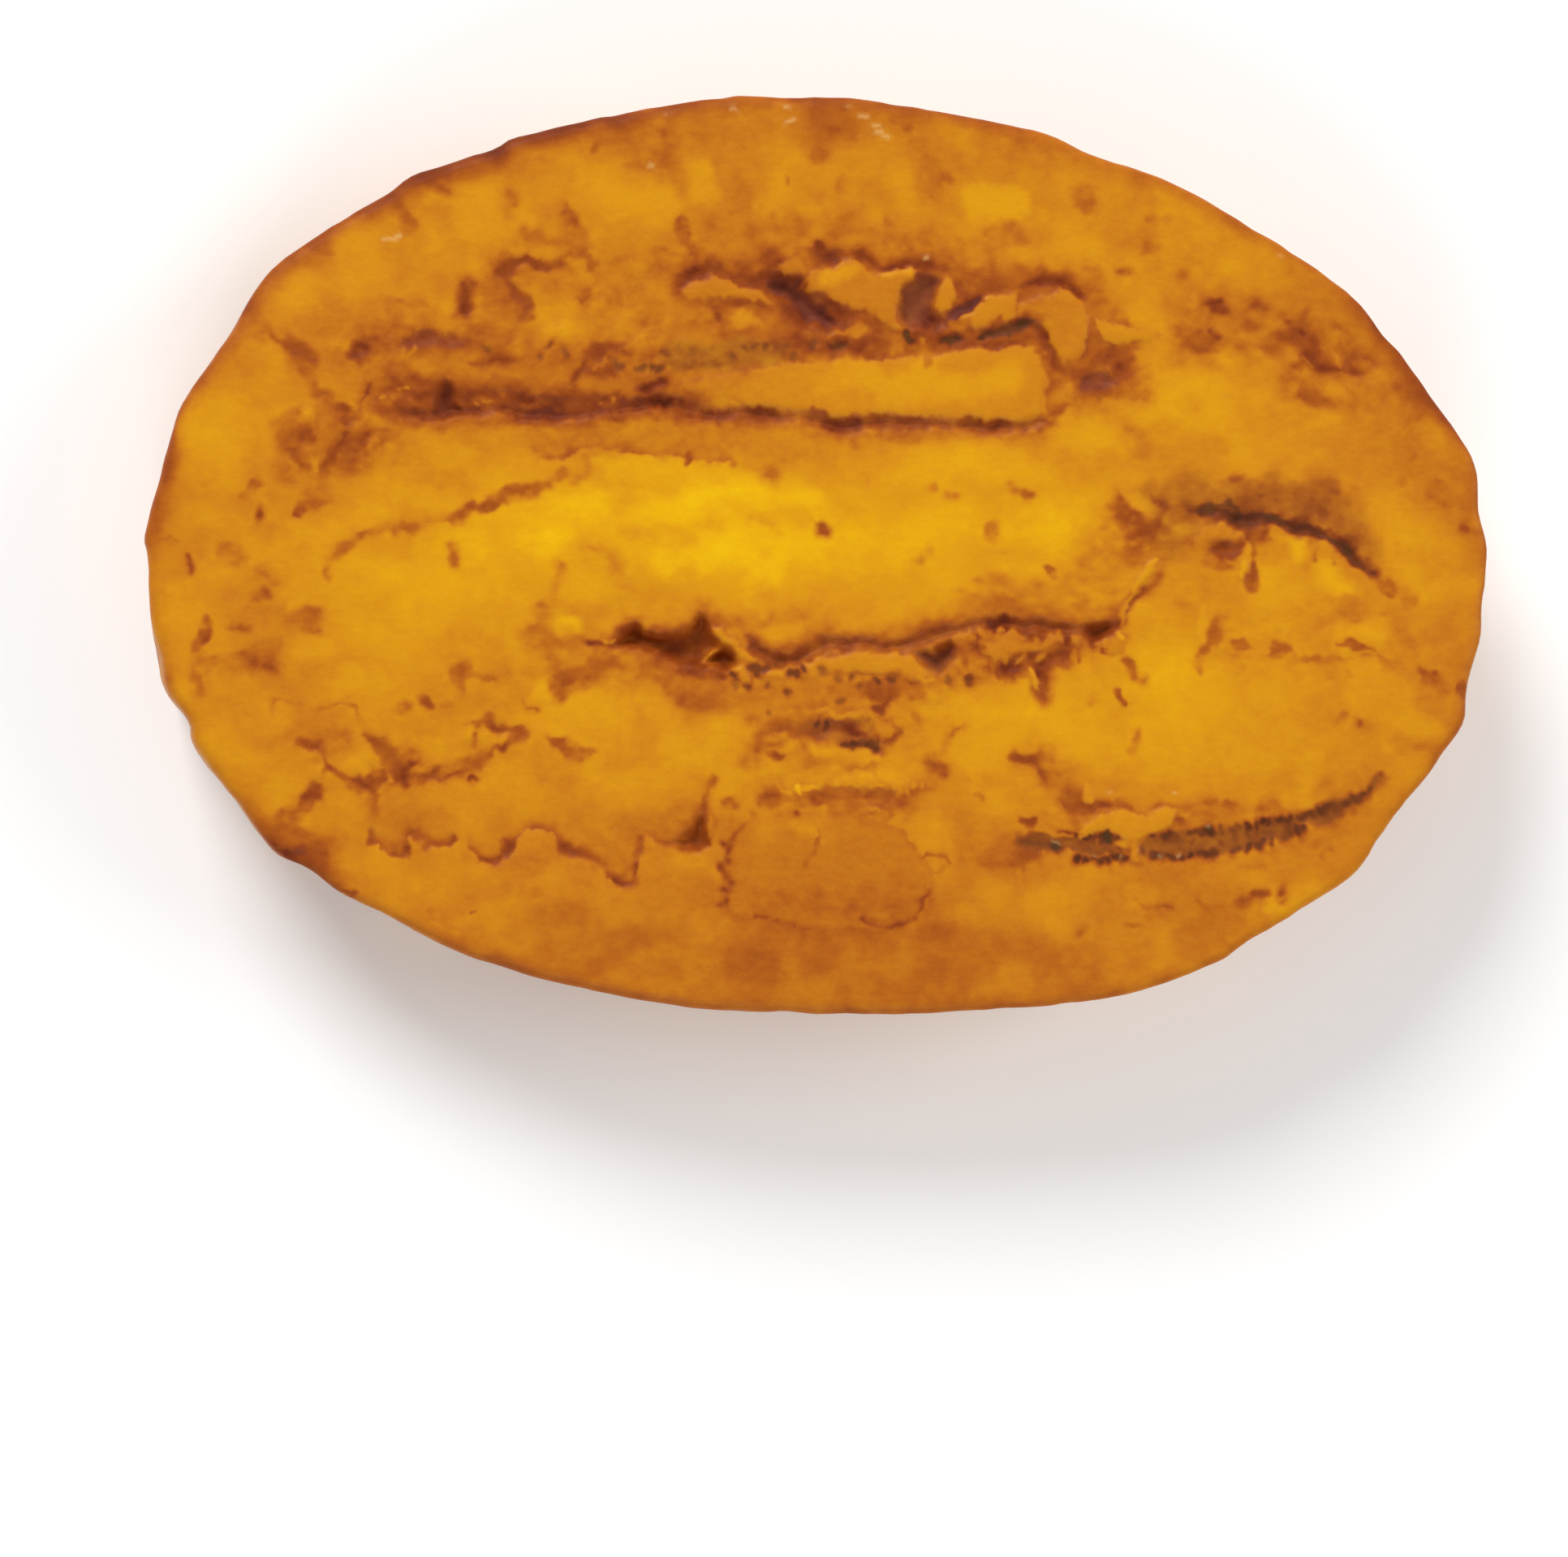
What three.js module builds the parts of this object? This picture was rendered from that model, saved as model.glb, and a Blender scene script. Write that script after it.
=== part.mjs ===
// A fried slice of ripe plantain, cut on the bias, lying with its browned cut face up.
// Millimetres, +Z up. The origin is under the middle of the slice, on the surface it rests on.
import * as THREE from 'three';

// Driving dimensions.
const FACE_LENGTH = 60; // longest extent of the upper cut face
const THICKNESS = 9; // from the underside to the plain level of the upper face
const RIM_RADIUS = 0.8; // rounding between the upper face and the side
const BASE_RADIUS = 0.7; // rounding between the side and the underside
const LEAN = 1.9; // the underside sits this far towards -X, as the cut is on the bias
const TUCK = 0.9; // the side draws in by this much towards the underside
const BULGE = 0.45; // the side swells by this much at mid height

// Mesh sizes.
const RIM_POINTS = 128; // points round the rim before refinement
const FINE_EDGE = 0.62; // longest mesh edge where the relief is steep
const COARSE_EDGE = 2.6; // longest mesh edge on plain flesh
const EDGE_GROWTH = 1; // how fast the edges may lengthen away from the relief
const RIM_STEPS = 3;
const SIDE_STEPS = 3;
const BASE_STEPS = 2;
const CORNER_SPAN = 0.005; // share of the way round over which the outward direction is taken
const RING_SCALES = [1, 0.94, 0.8, 0.55, 0.25]; // rings of the first mesh, each with half as many points
const LEDGE_FADE = 0.08; // share of a ledge's path over which each end fades out
const DENT_REACH = 0.7; // the dents are still felt at the base, as much as this far down the side
const TIE = 1e-9; // distances closer than this are equal
const MIN_HALF_WIDTH = 0.25; // narrower furrows are widened to this, so that the mesh holds them
const WALL_SOFTNESS = 0.32; // half the width of a furrow's sloping wall

// The places below are drawn for a face 60 mm long and scaled by UNIT.
const DRAWN_LENGTH = 60;
const UNIT = FACE_LENGTH / DRAWN_LENGTH;

// The outline of the upper face, anticlockwise from its right end: an oval with the corners that peeling left.
const OUTLINE = [
  [30.05, 0.3], [29.45, 4.3], [27.5, 7.1], [25.2, 10.1], [23.2, 12.2], [18, 15.5], [12, 18], [5, 19.95],
  [-2.4, 20.5], [-9.7, 19.6], [-14.5, 18.2], [-18.3, 16.8], [-22, 14.4], [-24.9, 12.1], [-27.7, 7.8],
  [-29.3, 3.6], [-30, 0.6], [-29.8, -2.7], [-29, -6], [-26.2, -10.8], [-23.8, -13.6], [-19, -16.5],
  [-13.9, -18.45], [-8, -19.9], [-2, -20.55], [5, -20.55], [10.5, -20.15], [14.6, -19.45],
  [17.9, -18.3], [20.3, -16.8], [24, -14.4], [27.8, -9.2], [29, -6.5], [29.75, -3],
];

// A furrow, seam or pocket is a depth and a path of [x, y, half width].
// The slice cuts through the chambers where the seeds lay. Each opened up as a row of seams and pockets.
const UPPER_CHAMBER = [
  // The long seam, the deep pocket at its left end and the short gash above it.
  { depth: 0.9, path: [[-15.6, 6.4, 0.25], [-13, 6.2, 0.3], [-11.4, 6.15, 0.35], [-9, 6.55, 0.28],
    [-7.1, 6.8, 0.32], [-5.6, 6.3, 0.35], [-2.5, 6.05, 0.25], [0.9, 5.75, 0.25], [3.8, 5.9, 0.35],
    [8, 5.65, 0.3], [10.2, 5.85, 0.2]] },
  { depth: 1.7, path: [[-19.3, 6.5, 0.15], [-17.6, 6.4, 0.4], [-16.5, 6.5, 0.6], [-16.8, 7.7, 0.2]] },
  { depth: 0.5, path: [[-10.8, 7.9, 0.2], [-10.2, 8.8, 0.3], [-9.4, 9.3, 0.35]] },
  // The torn edge above, its two deep pockets and the seam between the flaps.
  { depth: 0.7, path: [[-6.2, 11.9, 0.2], [-5, 12.6, 0.3], [-4.5, 12.9, 0.25], [-3.4, 12.4, 0.35],
    [-2.4, 12.2, 0.4]] },
  { depth: 1.8, path: [[-2.3, 12.1, 0.35], [-1.3, 11.9, 0.45], [-0.6, 11.3, 0.55], [0.2, 10.7, 0.6],
    [0.7, 10.3, 0.3]] },
  { depth: 0.8, path: [[0.2, 13.7, 0.15], [0.7, 13.1, 0.5], [1.7, 13.3, 0.25], [3, 12.75, 0.3],
    [4.8, 12.85, 0.3], [5.9, 12.4, 0.25], [6.8, 11.65, 0.25], [9, 12, 0.3], [10.1, 12, 0.35],
    [11.5, 11.6, 0.3], [12.15, 10.8, 0.2], [12.2, 9.6, 0.25]] },
  { depth: 1.1, path: [[4.7, 12.4, 0.4], [4.3, 11.5, 0.5], [4.5, 10.6, 0.55], [5.2, 10.5, 0.35],
    [6.1, 10.8, 0.35], [7.2, 11.4, 0.25]] },
  { depth: 0.6, path: [[4.1, 9.7, 0.2], [6, 9.6, 0.25], [7.5, 9.9, 0.4], [8.8, 10.1, 0.3],
    [9.6, 10.3, 0.2], [10.3, 9.3, 0.3], [10.8, 8.3, 0.3], [12.2, 8.6, 0.3], [13.3, 9, 0.3]] },
  { depth: 0.75, path: [[13.3, 8.1, 0.3], [12.4, 7.7, 0.5], [11.5, 7.1, 0.25]] },
  // The oval hole and the hook beside it.
  { depth: 0.9, path: [[-15.3, 12.1, 0.15], [-15.6, 11.3, 0.35], [-15.7, 10.6, 0.2]] },
  { depth: 0.4, path: [[-11.6, 12.9, 0.2], [-12.9, 13, 0.2], [-13.9, 12.5, 0.25], [-13.5, 11.4, 0.2],
    [-13.1, 10.8, 0.3], [-13.4, 9.9, 0.2]] },
];
const MIDDLE_CHAMBER = [
  // The deep cavity and the notch in its upper edge.
  { depth: 2.4, path: [[-9.5, -3.9, 0.15], [-8.2, -3.75, 0.45], [-6.9, -4.15, 0.55], [-5.6, -4.4, 0.75],
    [-4.5, -4.7, 0.6], [-3.8, -4.8, 0.3]] },
  { depth: 2, path: [[-5.2, -2.6, 0.12], [-5.2, -3.6, 0.45]] },
  // The seam that leaves it, and the pockets beside the seam.
  { depth: 0.75, path: [[-3.1, -3.7, 0.2], [-2.2, -4.5, 0.3], [-1.3, -4.7, 0.3], [-0.2, -4.2, 0.3],
    [0.8, -3.7, 0.3], [3.4, -4, 0.3], [5.6, -3.6, 0.25], [7, -3.2, 0.3], [8.3, -3.2, 0.4],
    [10.2, -3.1, 0.35], [12.3, -3.4, 0.4], [13.5, -3.15, 0.3], [14.1, -2.3, 0.2], [15, -1.2, 0.25]] },
  { depth: 1.5, path: [[4.6, -4.4, 0.25], [5.3, -4.8, 0.45], [6, -4.3, 0.35]] },
  { depth: 0.7, path: [[8.2, -5, 0.2], [8.8, -5, 0.35], [10.2, -4.55, 0.25], [11.2, -4.5, 0.25],
    [11.3, -3.7, 0.2]] },
  { depth: 0.5, path: [[2.3, -6.3, 0.35], [3.1, -5.9, 0.35], [3.2, -6.9, 0.3]] },
  { depth: 0.8, path: [[0.1, -7.7, 0.25], [1.2, -7.8, 0.4], [2, -8.1, 0.4], [2.8, -8.7, 0.25]] },
];
const RIGHT_CHAMBER = [
  { depth: 1.1, path: [[16.9, 1.8, 0.2], [18, 1.95, 0.35], [19.5, 1.5, 0.28], [21.4, 1.3, 0.25],
    [22.8, 0.85, 0.3], [23.9, 0.1, 0.35], [24.8, -0.8, 0.2]] },
  { depth: 0.8, path: [[17.6, 0.1, 0.25], [18.4, 0.15, 0.35], [19.1, 0.2, 0.25]] },
  { depth: 0.4, path: [[13.4, 2.1, 0.35], [14.3, 1.5, 0.45], [15.1, 1.3, 0.4], [14.5, 0.4, 0.35]] },
];
const LOWER_CHAMBER = [
  // The deep corner pocket, the forked mark and the groove that held two rows of seeds.
  { depth: 1.3, path: [[-4.95, -11.3, 0.15], [-5.2, -11.9, 0.3], [-5.3, -12.5, 0.4], [-5.8, -12.9, 0.35],
    [-6.6, -12.9, 0.15]] },
  { depth: 0.4, path: [[8.8, -9.05, 0.12], [9.9, -9.4, 0.3], [10.4, -10.3, 0.3], [11.4, -11.2, 0.5],
    [11.4, -12.3, 0.3]] },
  { depth: 0.45, path: [[8.8, -12.8, 0.25], [10.6, -13.1, 0.4], [12.9, -13.2, 0.5], [16.8, -12.95, 0.5],
    [19.4, -12.6, 0.5], [21.6, -12, 0.4], [23.6, -11.2, 0.3], [25.2, -9.8, 0.15]] },
];
// Cracks and burnt holes out in the flesh.
const CRACKS = [
  { depth: 0.5, path: [[-22.2, -6.85, 0.12], [-21, -6.8, 0.15], [-20.3, -7.7, 0.2], [-19.4, -8.7, 0.3],
    [-18.3, -9.6, 0.35], [-17.2, -9.8, 0.2], [-15.5, -9.5, 0.2], [-14.3, -8.8, 0.15], [-13, -8.1, 0.2]] },
  { depth: 0.5, path: [[-22.9, -8.4, 0.12], [-22, -8.9, 0.18], [-21.8, -9.6, 0.22], [-20.8, -10.1, 0.2],
    [-19.9, -10.3, 0.3], [-19.75, -11.8, 0.2]] },
  { depth: 0.9, path: [[-22.9, -10.9, 0.25], [-22.5, -10.4, 0.3]] },
  { depth: 0.4, path: [[-23.9, -13, 0.3], [-23.1, -13.3, 0.4], [-22.2, -13.3, 0.3]] },
  { depth: 0.4, path: [[-23.7, 9.4, 0.15], [-22.8, 8.8, 0.3], [-22.6, 7.8, 0.2]] },
  { depth: 0.45, path: [[-21, 6.4, 0.2], [-20.9, 5.6, 0.25], [-21.1, 4.8, 0.45], [-21.6, 4.1, 0.3]] },
  { depth: 0.4, path: [[20.6, -3.9, 0.2], [20.8, -4.35, 0.25], [21.3, -4.4, 0.2]] },
  { depth: 0.4, path: [[23.3, -4.15, 0.2], [24, -4, 0.25], [24.7, -4.2, 0.15]] },
];
const FURROWS = [...UPPER_CHAMBER, ...MIDDLE_CHAMBER, ...RIGHT_CHAMBER, ...LOWER_CHAMBER, ...CRACKS];

// Ridges stand above the face and cross the furrows: the smooth tongue, torn flaps and shreds.
const TONGUE = { height: 0.35, path: [[-4, 7.4, 0.6], [0, 7.4, 0.85], [4.5, 7.55, 1.1], [8.6, 7.7, 1.35]] };
const FLAPS = [
  { height: 0.35, path: [[7.3, 10.8, 0.35], [8.4, 11.1, 0.4]] },
  { height: 0.3, path: [[9.8, 10.9, 0.3], [11.2, 10.6, 0.7], [11.3, 9.5, 0.5]] },
  { height: 0.3, path: [[16.9, 0.7, 0.2], [17.8, 1.1, 0.25], [18.8, 0.95, 0.2]] },
];
const SHREDS = [
  { height: 0.5, path: [[-4.6, -3.3, 0.2], [-4, -3.9, 0.2], [-3.2, -4.6, 0.22], [-2.8, -4.9, 0.15]] },
  { height: 0.5, path: [[13.5, -3.3, 0.15], [13.4, -2.6, 0.15], [13.9, -2, 0.15], [14.4, -1.6, 0.15]] },
  { height: 0.45, path: [[19.1, -0.05, 0.15], [19.1, -0.5, 0.15], [18.9, -1, 0.15]] },
  { height: 0.3, path: [[14.2, -12.6, 0.2], [14.2, -13.8, 0.2]] },
];
const RIDGES = [TONGUE, ...FLAPS, ...SHREDS];

// Ledges: the torn edges of a layer. The face drops on the left of the path and rises back over the reach.
const LEDGES = [
  { drop: 0.5, reach: 1.5, path: [[-20.1, -12.4], [-19.8, -12.9], [-18.8, -13.4], [-18.4, -13.1],
    [-18, -12.3], [-17.3, -12.9], [-16.2, -12.95], [-16, -12.2], [-15.2, -13.5], [-14.5, -13.9],
    [-13.8, -13.5], [-13.5, -12.6], [-12.6, -12.2], [-11.6, -12.7], [-11, -13.3], [-9.6, -14],
    [-9.1, -14.75], [-8.3, -14.7], [-8.1, -13.6], [-7.8, -12.7], [-6.9, -12.9], [-6, -13.3],
    [-5, -13.2]] },
  { drop: 0.45, reach: 1.1, path: [[5, -10.4], [4.1, -10.85], [3, -10.6], [2, -10.8], [0.6, -10.4],
    [0, -10.75], [-1.4, -10.65], [-2.3, -10.7]] },
];

// Ragged edges come from shifting each place by noise before its distance to a path is taken.
const RAGGED = { shift: 0.18, wavelength: 1.3, seedX: 3, seedY: 4 };

// The slow rise and fall of the face: broad waves with smaller ones on them.
const WAVES = [
  { height: 0.28, lengthX: 13, lengthY: 8, seed: 11 },
  { height: 0.1, lengthX: 4.5, lengthY: 3, seed: 12 },
];

// Dents and flutes of the side.
const DENTS = [
  { depth: 0.3, length: 5, twist: 0, seed: 21 },
  { depth: 0.18, length: 2.2, twist: 3, seed: 22 },
];

const clamp = (value, low, high) => Math.min(Math.max(value, low), high);

function smoothstep(low, high, value) {
  const t = clamp((value - low) / (high - low), 0, 1);
  return t * t * (3 - 2 * t);
}

// A fixed pseudo-random number from -1 to 1 for each whole place of a lattice.
function latticeValue(column, row, seed) {
  const s = Math.sin(column * 127.1 + row * 311.7 + seed * 74.7) * 43758.5453;
  return 2 * (s - Math.floor(s)) - 1;
}

// Smooth value noise from -1 to 1 with a wavelength of 1.
function noise(x, y, seed) {
  const column = Math.floor(x);
  const row = Math.floor(y);
  const u = smoothstep(0, 1, x - column);
  const v = smoothstep(0, 1, y - row);
  const near = THREE.MathUtils.lerp(latticeValue(column, row, seed), latticeValue(column + 1, row, seed), u);
  const far = THREE.MathUtils.lerp(
    latticeValue(column, row + 1, seed), latticeValue(column + 1, row + 1, seed), u);
  return THREE.MathUtils.lerp(near, far, v);
}

function ragged(x, y) {
  const { shift, wavelength, seedX, seedY } = RAGGED;
  const u = x / wavelength;
  const v = y / wavelength;
  return [x + shift * noise(u, v, seedX), y + shift * noise(u, v, seedY)];
}

// Distance to a path of [x, y, half width], less the half width there: below 0 inside it.
function distanceToPath(x, y, path) {
  let nearest = Infinity;
  for (let i = 0; i + 1 < path.length; i += 1) {
    const [ax, ay, aHalf] = path[i];
    const [bx, by, bHalf] = path[i + 1];
    const along = ((x - ax) * (bx - ax) + (y - ay) * (by - ay)) / ((bx - ax) ** 2 + (by - ay) ** 2);
    const t = clamp(along, 0, 1);
    const half = Math.max(aHalf + (bHalf - aHalf) * t, MIN_HALF_WIDTH);
    const gap = Math.hypot(x - ax - (bx - ax) * t, y - ay - (by - ay) * t) - half;
    nearest = Math.min(nearest, gap);
  }
  return nearest;
}

// Distance to a ledge's path, above 0 on its left, and how far along the path the nearest place is, 0 to 1.
function ledgePlace(x, y, path) {
  let best = { distance: Infinity, offset: 0, share: 0 };
  for (let i = 0; i + 1 < path.length; i += 1) {
    const [ax, ay] = path[i];
    const [bx, by] = path[i + 1];
    const length = Math.hypot(bx - ax, by - ay);
    const t = clamp(((x - ax) * (bx - ax) + (y - ay) * (by - ay)) / length ** 2, 0, 1);
    const distance = Math.hypot(x - ax - (bx - ax) * t, y - ay - (by - ay) * t);
    const offset = ((bx - ax) * (y - ay) - (by - ay) * (x - ax)) / length;
    const tied = Math.abs(distance - best.distance) < TIE && Math.abs(offset) > Math.abs(best.offset);
    if (distance < best.distance - TIE || tied) {
      best = { distance, offset, share: (i + t) / (path.length - 1) };
    }
  }
  return { side: Math.sign(best.offset) * best.distance, share: best.share };
}

// How deep the ledge's drop is at a place: a step at the path that rises back over the reach.
function ledgeDepth(x, y, { drop, reach, path }) {
  const { side, share } = ledgePlace(x, y, path);
  const ends = smoothstep(0, LEDGE_FADE, share) * smoothstep(1, 1 - LEDGE_FADE, share);
  return drop * ends * smoothstep(-WALL_SOFTNESS, WALL_SOFTNESS, side) * smoothstep(reach, 0, side);
}

// Height of the relief above the plain level of the face.
function relief(x, y) {
  const [rx, ry] = ragged(x, y);
  let depth = 0;
  for (const furrow of FURROWS) {
    const inside = smoothstep(WALL_SOFTNESS, -WALL_SOFTNESS, distanceToPath(rx, ry, furrow.path));
    depth = Math.max(depth, furrow.depth * inside);
  }
  for (const ledge of LEDGES) {
    depth = Math.max(depth, ledgeDepth(rx, ry, ledge));
  }
  let height = -depth;
  for (const ridge of RIDGES) {
    const inside = smoothstep(WALL_SOFTNESS, -WALL_SOFTNESS, distanceToPath(rx, ry, ridge.path));
    height += (ridge.height - height) * inside;
  }
  for (const { height: swell, lengthX, lengthY, seed } of WAVES) {
    height += swell * noise(x / lengthX, y / lengthY, seed);
  }
  return height;
}

// The longest edge that the mesh may have at a place: short beside walls and steps.
function wantedEdge(x, y) {
  const [rx, ry] = ragged(x, y);
  let gap = Infinity;
  for (const { path } of [...FURROWS, ...RIDGES]) {
    gap = Math.min(gap, Math.abs(distanceToPath(rx, ry, path)));
  }
  for (const { path } of LEDGES) {
    gap = Math.min(gap, Math.abs(ledgePlace(rx, ry, path).side));
  }
  return Math.min(FINE_EDGE + EDGE_GROWTH * Math.max(gap - WALL_SOFTNESS, 0), COARSE_EDGE);
}

const outlineCurve = new THREE.CatmullRomCurve3(
  OUTLINE.map(([x, y]) => new THREE.Vector3(x, y, 0)), true, 'centripetal');

// A place on the outline and the outward direction there, for a share of the way round from 0 to 1.
function outlinePlace(share) {
  const wrap = (value) => value - Math.floor(value);
  const point = outlineCurve.getPoint(wrap(share));
  const before = outlineCurve.getPoint(wrap(share - CORNER_SPAN));
  const after = outlineCurve.getPoint(wrap(share + CORNER_SPAN));
  const along = after.sub(before).normalize();
  return { x: point.x, y: point.y, outX: along.y, outY: -along.x };
}

// Where the flat of the face ends: the outline less the rim's rounding.
function facePlace(share) {
  const { x, y, outX, outY } = outlinePlace(share);
  return { x: x - outX * RIM_RADIUS, y: y - outY * RIM_RADIUS, share };
}

// A first mesh of the face: rings of vertices that halve in number towards the middle.
function ringMesh() {
  const vertices = [];
  const triangles = [];
  const rings = RING_SCALES.map((scale, level) => {
    const count = RIM_POINTS / 2 ** level;
    return Array.from({ length: count }, (_, i) => {
      const edge = facePlace(i / count);
      vertices.push(level === 0 ? edge : { x: edge.x * scale, y: edge.y * scale, share: null });
      return vertices.length - 1;
    });
  });
  for (let level = 0; level + 1 < rings.length; level += 1) {
    const outer = rings[level];
    const inner = rings[level + 1];
    inner.forEach((from, i) => {
      const to = inner[(i + 1) % inner.length];
      const middle = outer[2 * i + 1];
      triangles.push([outer[2 * i], middle, from], [middle, to, from]);
      triangles.push([middle, outer[(2 * i + 2) % outer.length], to]);
    });
  }
  vertices.push({ x: 0, y: 0, share: null });
  const last = rings.at(-1);
  last.forEach((from, i) => triangles.push([from, last[(i + 1) % last.length], vertices.length - 1]));
  return { vertices, triangles };
}

// The vertex in the middle of an edge. On the rim it lies on the outline's curve.
function middleVertex(a, b) {
  if (a.share === null || b.share === null) {
    return { x: (a.x + b.x) / 2, y: (a.y + b.y) / 2, share: null };
  }
  const wraps = Math.abs(a.share - b.share) > 0.5;
  return facePlace((a.share + b.share + (wraps ? 1 : 0)) / 2 % 1);
}

// Splits the long edges until each is as short as wantedEdge asks. A triangle's longest edge is
// always among the split ones, which keeps the triangles well shaped.
function refine({ vertices, triangles }) {
  const key = (a, b) => (a < b ? `${a},${b}` : `${b},${a}`);
  const length = (a, b) => Math.hypot(vertices[a].x - vertices[b].x, vertices[a].y - vertices[b].y);
  const tooLong = (a, b) => {
    const wanted = wantedEdge((vertices[a].x + vertices[b].x) / 2, (vertices[a].y + vertices[b].y) / 2);
    return length(a, b) > wanted;
  };
  const longestFirst = ([a, b, c]) => {
    const ab = length(a, b);
    const bc = length(b, c);
    const ca = length(c, a);
    if (ab >= bc && ab >= ca) return [a, b, c];
    return bc >= ca ? [b, c, a] : [c, a, b];
  };
  let mesh = triangles.map(longestFirst);
  const checked = new Map();
  for (;;) {
    const middles = new Map();
    const mark = (a, b) => middles.set(key(a, b), -1);
    for (const [a, b, c] of mesh) {
      for (const [p, q] of [[a, b], [b, c], [c, a]]) {
        const edge = key(p, q);
        if (!checked.has(edge)) checked.set(edge, tooLong(p, q));
        if (checked.get(edge)) mark(p, q);
      }
    }
    if (middles.size === 0) return { vertices, triangles: mesh };
    for (let grew = true; grew;) {
      const before = middles.size;
      for (const [a, b, c] of mesh) {
        if (middles.has(key(b, c)) || middles.has(key(c, a))) mark(a, b);
      }
      grew = middles.size > before;
    }
    for (const edge of middles.keys()) {
      const [a, b] = edge.split(',').map(Number);
      vertices.push(middleVertex(vertices[a], vertices[b]));
      middles.set(edge, vertices.length - 1);
    }
    mesh = mesh.flatMap(([a, b, c]) => {
      const ab = middles.get(key(a, b));
      if (ab === undefined) return [[a, b, c]];
      const bc = middles.get(key(b, c));
      const ca = middles.get(key(c, a));
      const nearB = bc === undefined ? [[ab, b, c]] : [[ab, b, bc], [ab, bc, c]];
      const nearA = ca === undefined ? [[a, ab, c]] : [[a, ab, ca], [ca, ab, c]];
      return [...nearA, ...nearB];
    }).map(longestFirst);
  }
}

// The rows of the rim, side and base edge, from the face down: inset from the outline, height and
// how much of the face's relief the row still follows.
function sideRows() {
  const rows = [];
  for (let i = 1; i <= RIM_STEPS; i += 1) {
    const angle = (i / RIM_STEPS) * Math.PI / 2;
    const fall = 1 - Math.cos(angle);
    const inset = RIM_RADIUS * (1 - Math.sin(angle));
    rows.push({ inset, z: THICKNESS - RIM_RADIUS * fall, follow: 1 - fall });
  }
  const top = THICKNESS - RIM_RADIUS;
  for (let i = 1; i <= SIDE_STEPS; i += 1) {
    rows.push({ inset: 0, z: top + (BASE_RADIUS - top) * (i / SIDE_STEPS), follow: 0 });
  }
  for (let i = 1; i <= BASE_STEPS; i += 1) {
    const angle = (i / BASE_STEPS) * Math.PI / 2;
    const inset = BASE_RADIUS * (1 - Math.cos(angle));
    rows.push({ inset, z: BASE_RADIUS * (1 - Math.sin(angle)), follow: 0 });
  }
  return rows;
}

// A vertex of the side: the outline, leaning and drawn in towards the underside, with dents.
function sideVertex(share, { inset, z, follow }) {
  const { x, y, outX, outY } = outlinePlace(share);
  const down = 1 - z / THICKNESS;
  const swell = BULGE * Math.sin(Math.PI * down) - TUCK * down ** 2;
  let dents = 0;
  for (const { depth, length, twist, seed } of DENTS) {
    dents += depth * noise(x / length + twist * down, y / length, seed);
  }
  const out = swell + dents * Math.sin(Math.PI * Math.min(down, DENT_REACH)) - inset;
  const placeX = x + outX * out;
  const placeY = y + outY * out;
  return [placeX - LEAN * down, placeY, z + follow * relief(placeX, placeY)];
}

function sliceGeometry() {
  const { vertices, triangles } = refine(ringMesh());
  const positions = vertices.map(({ x, y }) => [x, y, THICKNESS + relief(x, y)]);
  const faces = [...triangles];
  let ring = vertices.map((_, i) => i).filter((i) => vertices[i].share !== null);
  ring.sort((a, b) => vertices[a].share - vertices[b].share);
  const shares = ring.map((i) => vertices[i].share);
  for (const row of sideRows()) {
    const next = shares.map((share) => positions.push(sideVertex(share, row)) - 1);
    ring.forEach((from, i) => {
      const j = (i + 1) % ring.length;
      faces.push([from, next[i], ring[j]], [ring[j], next[i], next[j]]);
    });
    ring = next;
  }
  const contour = ring.map((i) => new THREE.Vector2(positions[i][0], positions[i][1]));
  for (const [a, b, c] of THREE.ShapeUtils.triangulateShape(contour, [])) {
    faces.push([ring[c], ring[b], ring[a]]);
  }
  const geometry = new THREE.BufferGeometry();
  geometry.setAttribute('position', new THREE.Float32BufferAttribute(positions.flat(), 3));
  geometry.setIndex(faces.flat());
  geometry.scale(UNIT, UNIT, 1);
  geometry.computeBoundingBox();
  const { min, max } = geometry.boundingBox;
  geometry.translate(-(min.x + max.x) / 2, -(min.y + max.y) / 2, -min.z);
  geometry.computeVertexNormals();
  return geometry;
}

const flesh = new THREE.MeshStandardMaterial({ color: '#dc961c', roughness: 0.45, metalness: 0 });
const slice = new THREE.Mesh(sliceGeometry(), flesh);
slice.name = 'plantain_slice';

const part = new THREE.Group();
part.add(slice);

export default part;
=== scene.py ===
import math

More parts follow.
